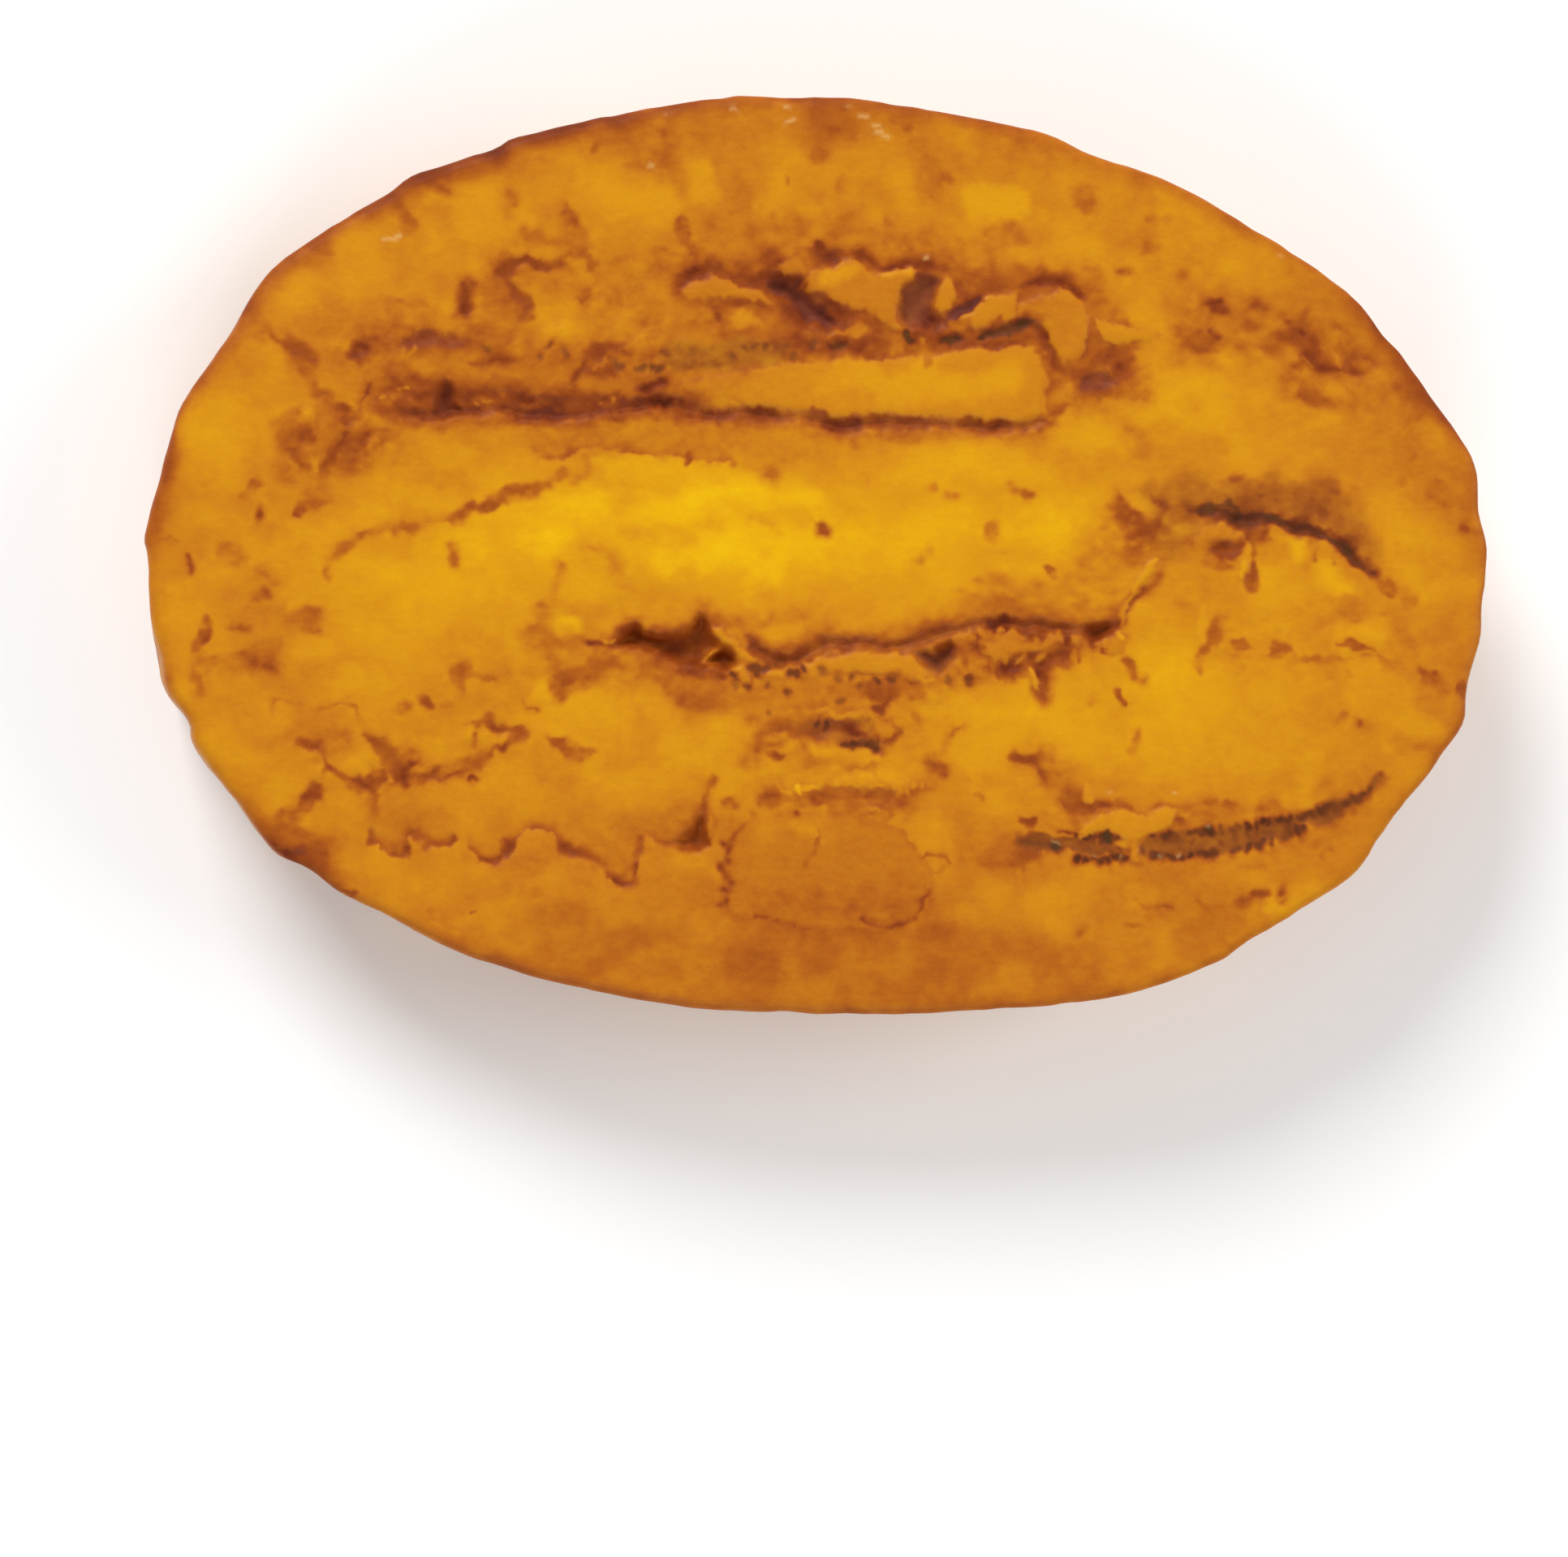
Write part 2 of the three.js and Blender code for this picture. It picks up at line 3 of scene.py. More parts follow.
import bpy
import numpy as np
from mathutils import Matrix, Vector


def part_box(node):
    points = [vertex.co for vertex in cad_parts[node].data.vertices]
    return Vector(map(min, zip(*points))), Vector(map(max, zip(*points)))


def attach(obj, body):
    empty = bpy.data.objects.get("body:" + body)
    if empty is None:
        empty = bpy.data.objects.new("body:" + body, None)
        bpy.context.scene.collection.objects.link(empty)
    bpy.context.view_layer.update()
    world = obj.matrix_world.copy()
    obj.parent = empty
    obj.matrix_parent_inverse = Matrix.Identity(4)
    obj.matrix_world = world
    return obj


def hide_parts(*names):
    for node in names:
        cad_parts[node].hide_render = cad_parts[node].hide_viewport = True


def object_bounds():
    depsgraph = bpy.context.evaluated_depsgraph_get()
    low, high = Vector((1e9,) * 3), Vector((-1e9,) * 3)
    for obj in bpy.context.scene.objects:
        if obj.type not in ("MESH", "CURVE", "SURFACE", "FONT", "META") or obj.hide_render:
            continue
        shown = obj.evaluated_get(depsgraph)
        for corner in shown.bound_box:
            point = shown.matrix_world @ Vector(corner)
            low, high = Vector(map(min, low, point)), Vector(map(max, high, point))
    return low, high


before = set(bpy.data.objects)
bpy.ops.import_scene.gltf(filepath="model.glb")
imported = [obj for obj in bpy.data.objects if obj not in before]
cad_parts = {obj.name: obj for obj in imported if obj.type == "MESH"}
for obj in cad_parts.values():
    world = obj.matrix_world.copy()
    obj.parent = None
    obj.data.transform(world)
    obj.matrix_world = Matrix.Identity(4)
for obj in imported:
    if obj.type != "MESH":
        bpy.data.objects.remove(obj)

# One slice of ripe plantain, fried, lying with its browned cut face up under a camera that looks
# straight down. All places and sizes below are in millimetres on the face, +x to the right and +y up
# as the camera sees it. The mesh is built in millimetres and turned into metres at the end.

NODE = "plantain_slice"
CAD_BOX = [[c for c in corner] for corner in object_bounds()]
MM = 0.001

# ---------------------------------------------------------------- driving dimensions

THICKNESS = 9.0
RIM_RADIUS = 0.5
BASE_RADIUS = 0.7
LEAN = 1.9          # the underside sits this far towards -x, as the cut is on the bias
TUCK = 0.9          # the side draws in by this much towards the underside
BULGE = 0.1         # and swells by this much at mid height

CELL = 0.05         # spacing of the face map
MAP_X, MAP_Y = 32.0, 22.5
TONE_ERROR = 0.032  # how far the browning may be off between two vertices of the mesh
TOP_FINE, TOP_COARSE = 0.07, 0.5
BASE_FINE, BASE_COARSE = 0.45, 1.2
RIM_POINTS = 192
SIDE_POINTS = 480
RIM_ROWS, SIDE_ROWS, BASE_ROWS = 4, 18, 2

# The outline of the face, anticlockwise from its right end.
OUTLINE = [
    (30.05, 0.25), (29.7, 1.9), (29.46, 4.2), (28.7, 5.4), (27.5, 7.2), (26.35, 8.8), (25.25, 10),
    (23.85, 11.65), (20.05, 14.3), (16.05, 16.55), (12.05, 18.05), (9.7, 18.95), (5.2, 19.85), (1.9, 20.4),
    (-2.45, 20.5), (-5.7, 20.3), (-9.7, 19.55), (-13.3, 18.75), (-14.4, 18.2), (-16.6, 17.45), (-18.05, 17),
    (-19.3, 16.1), (-22, 14.4), (-24.35, 12.75), (-26.05, 10.1), (-27.6, 8), (-28.65, 6.15), (-29.4, 3.35),
    (-30, 1), (-29.95, 0.05), (-29.8, -2.5), (-29.3, -4.65), (-29, -6.1), (-28, -7.55), (-27.65, -8.65),
    (-25.3, -11.9), (-24, -13.4), (-22.75, -14.05), (-20.95, -15.35), (-16.25, -17.65), (-13.95, -18.45),
    (-11.15, -19.3), (-5.7, -20.25), (1.2, -20.6), (8.8, -20.4), (14.25, -19.6), (17.75, -18.4), (19.9, -17),
    (23.85, -14.55), (25.1, -12.8), (26.4, -11.15), (27.65, -9.55), (28.95, -7.55), (29.1, -6.1),
    (29.75, -3.75), (29.8, -2.45),
]

# How the edge of the face is browned: direction in degrees, tone, reach inwards.
RIM = [
    (0, 0.58, 0.3), (8, 0.64, 0.35), (12, 0.75, 0.5), (16, 0.81, 0.6), (20, 0.71, 0.4), (24, 0.75, 0.35),
    (28, 0.61, 0.35), (34, 0.56, 0.4), (44, 0.61, 0.5), (52, 0.55, 0.35), (60, 0.62, 0.5), (68, 0.63, 0.35),
    (76, 0.71, 0.4), (84, 0.69, 0.4), (92, 0.74, 0.4), (98, 0.63, 0.35), (104, 0.67, 0.5), (112, 0.68, 0.5),
    (117, 0.88, 0.6), (122, 0.85, 0.55), (128, 0.88, 0.55), (136, 0.84, 0.6), (142, 0.73, 0.5),
    (150, 0.69, 0.5), (158, 0.69, 0.6), (166, 0.65, 0.4), (172, 0.73, 0.5), (178, 0.6, 0.6),
    (184, 0.48, 0.3), (192, 0.51, 0.3), (200, 0.48, 0.3), (206, 0.62, 0.6), (210, 0.77, 1), (214, 0.67, 0.5),
    (220, 0.52, 0.3), (228, 0.64, 0.6), (240, 0.6, 0.4), (300, 0.6, 0.4), (312, 0.54, 0.5), (320, 0.5, 0.3),
    (326, 0.42, 0.3), (336, 0.52, 0.4), (340, 0.58, 0.4), (348, 0.58, 0.4), (354, 0.57, 0.35),
    (360, 0.58, 0.3),
]

# How browned the plain flesh is, region by region: x, y, reach in x, reach in y, tone. The second region, the
# wide band along the bottom, is painted shade as well: the bottom of the face is drawn darker orange, as if a
# slice lying against it shaded it.
# Tones run from 0, bright yellow, over 0.5, orange, and 0.75, brown, to 1, charred.
REGIONS = [
    (0, 19, 20, 3.2, 0.49), (0, -18.5, 24, 4.5, 0.58), (16, -17, 6, 3, 0.5), (-18, -12, 8, 4, 0.47),
    (-24, 0, 6, 8, 0.43), (26, 2, 5, 9, 0.46), (28.9, 1.5, 1.1, 3, 0.54), (20, 11, 8, 3, 0.5),
    (-20, 9, 6, 3, 0.47), (2, 7.6, 9, 1.6, 0.34), (0, 10.5, 10, 2.6, 0.48), (-18, -2.5, 5, 3, 0.31),
    (18, -7, 6, 3, 0.33), (-8, -8.5, 5, 2.5, 0.35), (10, -7, 4, 2, 0.31), (-1, 0.7, 13, 2.4, 0.08),
    (-14, 1, 3, 1.6, 0.2), (10.5, 1.4, 2.4, 1.6, 0.1), (6, 3.8, 5, 1.2, 0.24), (-19.4, -0.8, 1.3, 0.9, 0.2),
    (-21, -1.4, 1.1, 0.6, 0.3), (12.2, 5, 1.6, 0.9, 0.3), (15, -5, 1.8, 1.8, 0.18),
    (17.5, 6.8, 2.8, 2.2, 0.28), (20.5, -1.5, 1.8, 1.2, 0.27), (-26.4, 5.2, 1.8, 1.8, 0.28),
    (26.5, 1, 2, 1.5, 0.38), (27.5, -1.5, 1.2, 0.8, 0.34), (24.5, -5.8, 1.5, 0.8, 0.38),
    (18.5, -8.7, 5, 1.6, 0.3), (21, -15.8, 1.6, 0.8, 0.3), (10, -15.4, 2.5, 1.2, 0.42),
    (0, -12.3, 1.2, 0.7, 0.4), (-24.5, -9, 1.5, 1.5, 0.42), (6.6, -1.2, 1.4, 0.8, 0.24),
    (-15.8, -12, 1.2, 1.8, 0.42), (0, -15.6, 1.4, 0.9, 0.66), (-13, -16, 6, 1.8, 0.5),
    (0.5, 19.3, 1.1, 0.9, 0.62),
]

# Smaller patches a shade browner or brighter than that: x, y, reach in x, reach in y, change of tone.
PATCHES = [
    (-26.3, 8.4, 1.2, 1.6, 0.1), (-9, 8.2, 2.6, 1.2, 0.12), (14.4, 10, 1.4, 1.4, -0.12),
    (10.3, 7.6, 0.8, 0.9, -0.1), (-16.3, 6, 1, 0.6, 0.08), (-22.2, 5.2, 1.2, 1.4, -0.08),
    (-14, 4, 1.2, 1.2, -0.08), (-18.3, 4.8, 0.9, 0.8, 0.08), (-10.2, 4.9, 1.2, 0.8, 0.1),
    (2.2, 4.2, 1.4, 0.9, 0.16), (-3.2, 3, 1.6, 0.8, -0.11), (9.8, 4.4, 1.2, 0.7, 0.08),
    (3, 1.2, 2.2, 1.9, 0.11), (3.4, -1.4, 2.4, 0.8, 0.08), (8.8, 0.2, 1.5, 0.7, 0.11),
    (-10, 0.1, 1, 0.8, 0.14), (-10.5, -1.6, 1.4, 0.7, -0.1), (-19, 0, 2, 0.9, 0.06),
    (16.2, -0.1, 1.1, 0.8, 0.15), (20, 0.1, 0.8, 0.5, 0.12), (-22.2, -2.9, 0.8, 0.8, 0.08),
    (-20.2, -3.8, 1.2, 1.2, -0.08), (19.6, -3.2, 3, 0.9, -0.07), (16.2, -4.8, 1, 1, -0.08),
    (-25.5, -6.4, 2, 1.4, 0.08), (-21.8, -6, 1.2, 0.7, -0.08), (-10.2, -6.6, 1.9, 1.3, -0.14),
    (-4.2, -6.2, 1, 0.8, 0.09), (8.6, -8, 1.6, 1.4, -0.1), (15.6, -9.2, 1.8, 1, -0.07),
    (23.4, -10.8, 1.6, 1, 0.1), (0, -12.2, 2, 0.7, -0.1), (8, -12.7, 1.1, 1, 0.11),
    (-4, -12.2, 0.8, 0.7, 0.1), (-18.4, -14.6, 2.6, 1.4, -0.1), (2.2, -16.8, 2.8, 0.8, 0.11),
    (11, -16.4, 2, 1, -0.1), (15, -13.9, 1.4, 0.6, 0.07), (-5, -15, 1.4, 0.8, 0.07), (-2, 18, 1, 1, -0.11),
    (11, 16.4, 2, 1, -0.09), (0.6, 15, 3, 1, -0.07), (8, 15, 0.8, 0.8, -0.08), (18.6, 12.2, 1.4, 0.9, -0.08),
    (-10.2, 10.4, 1.2, 0.9, -0.1), (4, -7.6, 1, 0.8, 0.08), (-28.2, 3, 0.9, 1.2, 0.08),
    (-25.8, -3, 1.4, 0.8, 0.07), (-12, 1.5, 1.4, 0.8, -0.07), (-2, 1.5, 1.3, 0.7, 0.08),
    (0, -6.2, 1.6, 0.5, 0.08), (8, -6.2, 1.4, 0.6, 0.08), (-10, 16, 1.1, 0.9, -0.08),
    (7, -9.2, 1, 0.9, -0.1), (-16, -4, 1.4, 1.1, 0.1), (27, 0, 1.2, 1.2, -0.07), (-18, 2.6, 1.5, 0.8, -0.05),
    (-2, 7.8, 1.2, 0.6, -0.04), (-13, -7.3, 1.5, 0.5, -0.08), (-1, -9.2, 1.5, 0.6, 0.08),
    (-8, -12.2, 1.2, 0.7, 0.08), (-20.4, 7.7, 0.8, 0.6, 0.08),
]

# ---------------------------------------------------------------- small tools


def smoothstep(low, high, value):
    t = np.clip((value - low) / (high - low), 0.0, 1.0)
    return t * t * (3 - 2 * t)


NOISE_SIZE = 256


def noise(x, y, wavelength, seed):
    """Smooth value noise from -1 to 1."""
    table = np.random.default_rng(seed).uniform(-1, 1, (NOISE_SIZE, NOISE_SIZE))
    u, v = x / wavelength, y / wavelength
    column, row = np.floor(u).astype(int), np.floor(v).astype(int)
    s, t = smoothstep(0, 1, u - column), smoothstep(0, 1, v - row)
    c0, c1 = column % NOISE_SIZE, (column + 1) % NOISE_SIZE
    r0, r1 = row % NOISE_SIZE, (row + 1) % NOISE_SIZE
    near = table[r0, c0] * (1 - s) + table[r0, c1] * s
    far = table[r1, c0] * (1 - s) + table[r1, c1] * s
    return near * (1 - t) + far * t


def noises(x, y, *rows):
    """The sum of several noises, each given as its amount, wavelength and seed."""
    return sum(amount * noise(x, y, wavelength, seed) for amount, wavelength, seed in rows)


def to_segment(x, y, start, end):
    """The distance to a segment, and how far along it its nearest place lies, from 0 to 1."""
    dx, dy = end[0] - start[0], end[1] - start[1]
    t = np.clip(((x - start[0]) * dx + (y - start[1]) * dy) / (dx * dx + dy * dy), 0, 1)
    return np.hypot(x - start[0] - dx * t, y - start[1] - dy * t), t


END_TAPER = 0.45


def path_gap(x, y, points, width):
    """Distance to a path less its half width. Each point may carry its own half width."""
    last = len(points) - 1
    rows = []
    for i, p in enumerate(points):
        taper = END_TAPER if last > 1 and i in (0, last) else 1.0
        rows.append((p[0], p[1], p[2] if len(p) > 2 else width * taper))
    if last == 0:
        return np.hypot(x - rows[0][0], y - rows[0][1]) - rows[0][2]
    gap = np.full(x.shape, np.inf)
    for start, end in zip(rows, rows[1:]):
        distance, t = to_segment(x, y, start, end)
        gap = np.minimum(gap, distance - (start[2] + (end[2] - start[2]) * t))
    return gap


def area_gap(x, y, corners):
    """Distance to a closed outline, below 0 inside it."""
    gap = np.full(x.shape, np.inf)
    inside = np.zeros(x.shape, bool)
    for start, end in zip(corners, corners[1:] + corners[:1]):
        (ax, ay), (bx, by) = start, end
        gap = np.minimum(gap, to_segment(x, y, start, end)[0])
        if ay != by:
            crosses = (ay > y) != (by > y)
            inside ^= crosses & (x < (bx - ax) * (y - ay) / (by - ay) + ax)
    return np.where(inside, -gap, gap)


def side_of_path(x, y, points):
    """Distance to a path, above 0 on its left, and the share of the way along it."""
    best = np.full(x.shape, np.inf)
    side = np.zeros(x.shape)
    share = np.zeros(x.shape)
    tie = 1e-9
    for i, (start, end) in enumerate(zip(points, points[1:])):
        distance, t = to_segment(x, y, start, end)
        dx, dy = end[0] - start[0], end[1] - start[1]
        offset = (dx * (y - start[1]) - dy * (x - start[0])) / math.hypot(dx, dy)
        nearer = (distance < best - tie) | ((distance < best + tie) & (np.abs(offset) > np.abs(side)))
        side = np.where(nearer, offset, side)
        share = np.where(nearer, (i + t) / (len(points) - 1), share)
        best = np.minimum(best, distance)
    return np.sign(side) * best, share


def places_on(path, distances):
    """Places on a path at the distances that a function of its length gives."""
    at = np.concatenate([[0], np.cumsum(np.hypot(*np.diff(path, axis=0).T))])
    wanted = distances(at[-1])
    return np.stack([np.interp(wanted, at, column) for column in path.T], 1)


def turned(x, y, angle):
    """How far each place lies along and across a direction."""
    return x * math.cos(angle) + y * math.sin(angle), y * math.cos(angle) - x * math.sin(angle)


def blur(a, cells, times):
    """A soft average over a square of cells each way."""
    size = 2 * cells + 1
    for axis in (0, 1) * times:
        margin = [(0, 0), (0, 0)]
        margin[axis] = (cells + 1, cells)
        total = np.cumsum(np.pad(a, margin, "edge"), axis)
        count = a.shape[axis]
        a = (total.take(range(size, size + count), axis) - total.take(range(count), axis)) / size
    return a


# ---------------------------------------------------------------- the map of the face

# Layers of the face map. The last one holds painted highlights: oily glints put into the colour.
LAYERS = ("height", "toast", "cool", "olive", "painted_glint")
SCATTER_SEED = 41

# Noises as amount, wavelength and seed. The warp makes the edges of all marks ragged, the swell widens
# and narrows them along the way, and the grain makes them darker and lighter.
WARP_X = ((0.12, 1.0, 1), (0.08, 0.42, 2), (0.06, 0.22, 3))
WARP_Y = ((0.12, 1.0, 4), (0.10, 0.42, 5), (0.08, 0.22, 6))
SWELL = ((1.0, 1.2, 7), (0.45, 0.4, 15))
GRAIN = ((0.7, 0.7, 8), (0.5, 0.3, 9))
FIBRES = 1.3             # the flesh is this much finer across its fibres, which run along x
GRAIN_TONE, GRAIN_COVER = 0.08, 0.4
PATH_SWELL, SOFT_SWELL, SKIRT_SWELL = 0.4, 0.5, 0.2

# An edge is the pair of gaps to a mark's outline between which the mark rises from nothing to full.
WALL_EDGE = (0.13, -0.17)
BURN_EDGE = (0.14, -0.12)
FLAP_EDGE = (0.06, -0.09)
DOT_EDGE = (0.09, -0.08)
GLINT_EDGE = (0.1, -0.1)
SOFT_CORE = 0.7          # a soft edge ends this share of its softness inside the outline

ORANGE = 0.5             # the tone that the browning round a burnt place fades to
PIT_SKIRT_TONE, DOT_SKIRT_TONE = 0.6, 0.4
AREA_SKIRT, PATH_SKIRT, PATH_SKIRT_SHARE = 0.5, 0.15, 1.2
WIDE_PATH, WALL_INSET = 0.15, 0.1
DOT_SKIRT, DOT_SKIRT_COVER, DOT_DEPTH = 0.3, 0.8, 0.25
SHADOW_TONE, SHADOW_REACH = 0.64, 0.3
FLAP_SHADOW, SHRED_SHADOW, FLAP_COVER = 0.6, 0.25, 0.92
FADE_ENDS, FADE_DROP_EDGE = 0.05, 0.1
CRUMBLE_SEED, CRUMBLE_RELIEF = 200, 0.05
STROKE_LENGTHS = 2.2, 1.6
DARK_STROKES, BRIGHT_STROKES = (0.2, 0.7), (0.25, 0.75)

# How dots and seeds vary: factors from and to, and how far a seed strays in x and y.
DOT_SIZES, DOT_STRETCHES = (0.85, 1.15), (1.0, 1.5)
SEED_SIZES, SEED_TONES, SEED_STRAY_X, SEED_STRAY_Y = (0.8, 1.2), (0.88, 1.03), 0.07, 0.05

# How far beyond a mark its grid cells are worked on: factors for swollen widths, then margins.
SWOLLEN, SOFT_SWOLLEN = 1.5, 1.8
WARP_MARGIN, PIT_MARGIN, FLAP_MARGIN, DOT_MARGIN, GLINT_MARGIN = 0.3, 0.2, 0.5, 0.9, 0.4


def skirt_tone(tone, share):
    return ORANGE + share * (tone - ORANGE)


def grid_range(values, reach, half, count):
    """The rows or columns of the grid from the lowest value to the highest, with the reach round them."""
    ends = min(values) - reach, max(values) + reach
    low, high = (int(np.clip((end + half) / CELL, 0, count)) for end in ends)
    return slice(low, high + 1)


class FaceMap:
    """Height and browning of the cut face, on a fine grid, with the tools that draw on it."""

    def __init__(self):
        self.xs = np.arange(-MAP_X, MAP_X, CELL)
        self.ys = np.arange(-MAP_Y, MAP_Y, CELL)
        x, y = self.x, self.y = np.meshgrid(self.xs, self.ys)
        self.layer = {name: np.zeros(x.shape) for name in LAYERS}
        self.scatter = np.random.default_rng(SCATTER_SEED)
        self.rx = x + noises(x, y, *WARP_X)
        self.ry = y + noises(x, y, *WARP_Y)
        self.swell = noises(x, y, *SWELL)
        self.grain = noises(x, y * FIBRES, *GRAIN)

    def around(self, points, reach):
        """The part of the grid within reach of some points."""
        xs, ys = zip(*(p[:2] for p in points))
        return grid_range(ys, reach, MAP_Y, len(self.ys)), grid_range(xs, reach, MAP_X, len(self.xs))

    def gap(self, points, width, reach):
        """The part of the grid within reach of an area, or of a path if a width is given, and the gap to
        its outline there, below 0 inside."""
        where = self.around(points, reach + (width or 0) * SWOLLEN + WARP_MARGIN)
        x, y = self.rx[where], self.ry[where]
        if width is None:
            return where, area_gap(x, y, points)
        return where, path_gap(x, y, points, width) + PATH_SWELL * width * self.swell[where]

    def soft(self, softness, points, width):
        """The part of the grid round a mark with soft edges, and how much of the mark shows there."""
        where, gap = self.gap(points, width, softness * SOFT_SWOLLEN)
        swollen = gap + SOFT_SWELL * softness * self.swell[where]
        return where, smoothstep(softness, -SOFT_CORE * softness, swollen)

    def hill(self, x, y, reach_x, reach_y):
        """A soft hill from 0 to 1 round a place, over the whole grid."""
        return np.exp(-((self.rx - x) / reach_x) ** 2 - ((self.ry - y) / reach_y) ** 2)

    def mix(self, name, where, value, opacity):
        part = self.layer[name][where]
        part += (value - part) * opacity

    def tint(self, where, cool, olive, opacity):
        self.mix("cool", where, cool, opacity)
        self.mix("olive", where, olive, opacity)

    def darken(self, where, tone, opacity):
        part = self.layer["toast"][where]
        grain = self.grain[where]
        cover = np.clip(opacity * (1 + GRAIN_COVER * grain), 0, 1)
        part += np.maximum(tone + GRAIN_TONE * grain - part, 0) * cover

    def sink(self, where, depth, opacity):
        part = self.layer["height"][where]
        np.minimum(part, part * (1 - opacity) - depth * opacity, out=part)

    def stain(self, tone, softness, points, width=None, olive=0.0):
        """A brown stain with soft edges, in the surface only."""
        where, inside = self.soft(softness, points, width)
        self.darken(where, tone, inside)
        if olive:
            self.mix("olive", where, olive, inside)

    def clear(self, tone, softness, points, width=None, cover=1.0):
        """A brighter patch with soft edges."""
        where, inside = self.soft(softness, points, width)
        self.mix("toast", where, tone, cover * inside)

    def pit(self, tone, depth, points, width=None, cool=0.0, olive=0.0, skirt=None):
        """A sunken, burnt place with a browned skirt round it."""
        if skirt is None:
            skirt = AREA_SKIRT if width is None else PATH_SKIRT + PATH_SKIRT_SHARE * width
        inset = WALL_INSET if width is None or width > WIDE_PATH else 0.0
        where, gap = self.gap(points, width, skirt + PIT_MARGIN)
        browning = smoothstep(skirt, 0.0, gap + SKIRT_SWELL * self.swell[where]) ** 1.5
        self.darken(where, skirt_tone(tone, PIT_SKIRT_TONE), browning)
        self.darken(where, tone, smoothstep(*BURN_EDGE, gap))
        self.sink(where, depth, smoothstep(*WALL_EDGE, gap + inset))
        self.tint(where, cool, olive, smoothstep(*WALL_EDGE, gap))

    def flap(self, tone, height, points, width=None):
        """A flap or a shred of flesh that lies over what was drawn before it."""
        where, gap = self.gap(points, width, FLAP_MARGIN)
        shadow = FLAP_SHADOW if width is None else SHRED_SHADOW
        self.darken(where, SHADOW_TONE, shadow * smoothstep(SHADOW_REACH, 0.0, gap))
        inside = smoothstep(*FLAP_EDGE, gap)
        self.mix("height", where, height, inside)
        self.mix("toast", where, tone, inside * FLAP_COVER)
        self.tint(where, 0.0, 0.0, inside)

    def fade(self, tone, left, right, points, drop=0.0):
        """A darker line that fades out over its own reach on each side. The left may lie lower."""
        where = self.around(points, max(left, right) * SWOLLEN + WARP_MARGIN)
        side, share = side_of_path(self.rx[where], self.ry[where], points)
        ends = smoothstep(0, FADE_ENDS, share) * smoothstep(1, 1 - FADE_ENDS, share)
        spread = 1 + PATH_SWELL * self.swell[where]
        near = np.where(side > 0, smoothstep(left * spread, 0, side), smoothstep(right * spread, 0, -side))
        self.darken(where, tone, ends * near * near)
        if drop:
            lower = smoothstep(-FADE_DROP_EDGE, FADE_DROP_EDGE, side) * smoothstep(left * 1.5, 0, side)
            self.sink(where, drop, ends * lower)

    def dots(self, tone, radius, places, olive=0.0, cool=0.0):
        """Small dark specks, each a little stretched and turned by chance."""
        for x, y in places:
            size = radius * self.scatter.uniform(*DOT_SIZES)
            stretch, turn = self.scatter.uniform(*DOT_STRETCHES), self.scatter.uniform(0, math.pi)
            where = self.around([(x, y)], size * SWOLLEN + DOT_MARGIN)
            here = int((y + MAP_Y) / CELL), int((x + MAP_X) / CELL)
            dx, dy = self.rx[where] - self.rx[here], self.ry[where] - self.ry[here]
            along, across = turned(dx, dy, turn)
            gap = np.hypot(along / stretch, across * stretch ** 0.5) - size
            inside = smoothstep(*DOT_EDGE, gap)
            browning = DOT_SKIRT_COVER * smoothstep(DOT_SKIRT, 0, gap)
            self.darken(where, skirt_tone(tone, DOT_SKIRT_TONE), browning)
            self.darken(where, tone, inside)
            self.sink(where, DOT_DEPTH * radius, inside)
            self.tint(where, cool, olive, inside)

    def seeds(self, tone, radius, pitch, points, olive=0.35):
        """A row of small dark seeds along a path."""
        for x, y in places_on(np.array(points, float), lambda length: np.arange(0, length + 1e-6, pitch)):
            x, y = x + self.scatter.normal(0, SEED_STRAY_X), y + self.scatter.normal(0, SEED_STRAY_Y)
            seed_tone = tone * self.scatter.uniform(*SEED_TONES)
            self.dots(seed_tone, radius * self.scatter.uniform(*SEED_SIZES), [(x, y)], olive)

    def crumble(self, dark, bright, size, angle, corners, softness=0.5):
        """A rough, fibrous patch: short strokes in one direction, some browner and some brighter."""
        where, gap = self.gap(corners, None, softness * SWOLLEN)
        along, across = turned(self.x[where], self.y[where], math.radians(angle))
        seed = CRUMBLE_SEED + len(corners) + int(10 * abs(corners[0][0]))
        long, short = (along / length for length in STROKE_LENGTHS)
        rough = noise(long, across, size, seed) + 0.5 * noise(short, across, size / 2, seed + 1)
        area = smoothstep(softness, -softness, gap)
        browner, brighter = smoothstep(*DARK_STROKES, rough), smoothstep(*BRIGHT_STROKES, -rough)
        self.layer["toast"][where] += area * (dark * browner - bright * brighter)
        self.layer["height"][where] -= CRUMBLE_RELIEF * area * rough

    def glint(self, x, y, length, width):
        """A painted highlight: an oily glint painted into the colour as a whitish fleck."""
        where, gap = self.gap([(x - length / 2, y), (x + length / 2, y)], width, GLINT_MARGIN)
        self.mix("painted_glint", where, 0.5, smoothstep(*GLINT_EDGE, gap))

    def sample(self, name, x, y):
        """A layer's values at any places, blended between the cells round them."""
        u = np.clip((x + MAP_X) / CELL, 0, len(self.xs) - 1.001)
        v = np.clip((y + MAP_Y) / CELL, 0, len(self.ys) - 1.001)
        i, j = u.astype(int), v.astype(int)
        s, t = u - i, v - j
        a = self.layer[name]
        near = a[j, i] * (1 - s) + a[j, i + 1] * s
        far = a[j + 1, i] * (1 - s) + a[j + 1, i + 1] * s
        return near * (1 - t) + far * t


# ---------------------------------------------------------------- the marks on the face

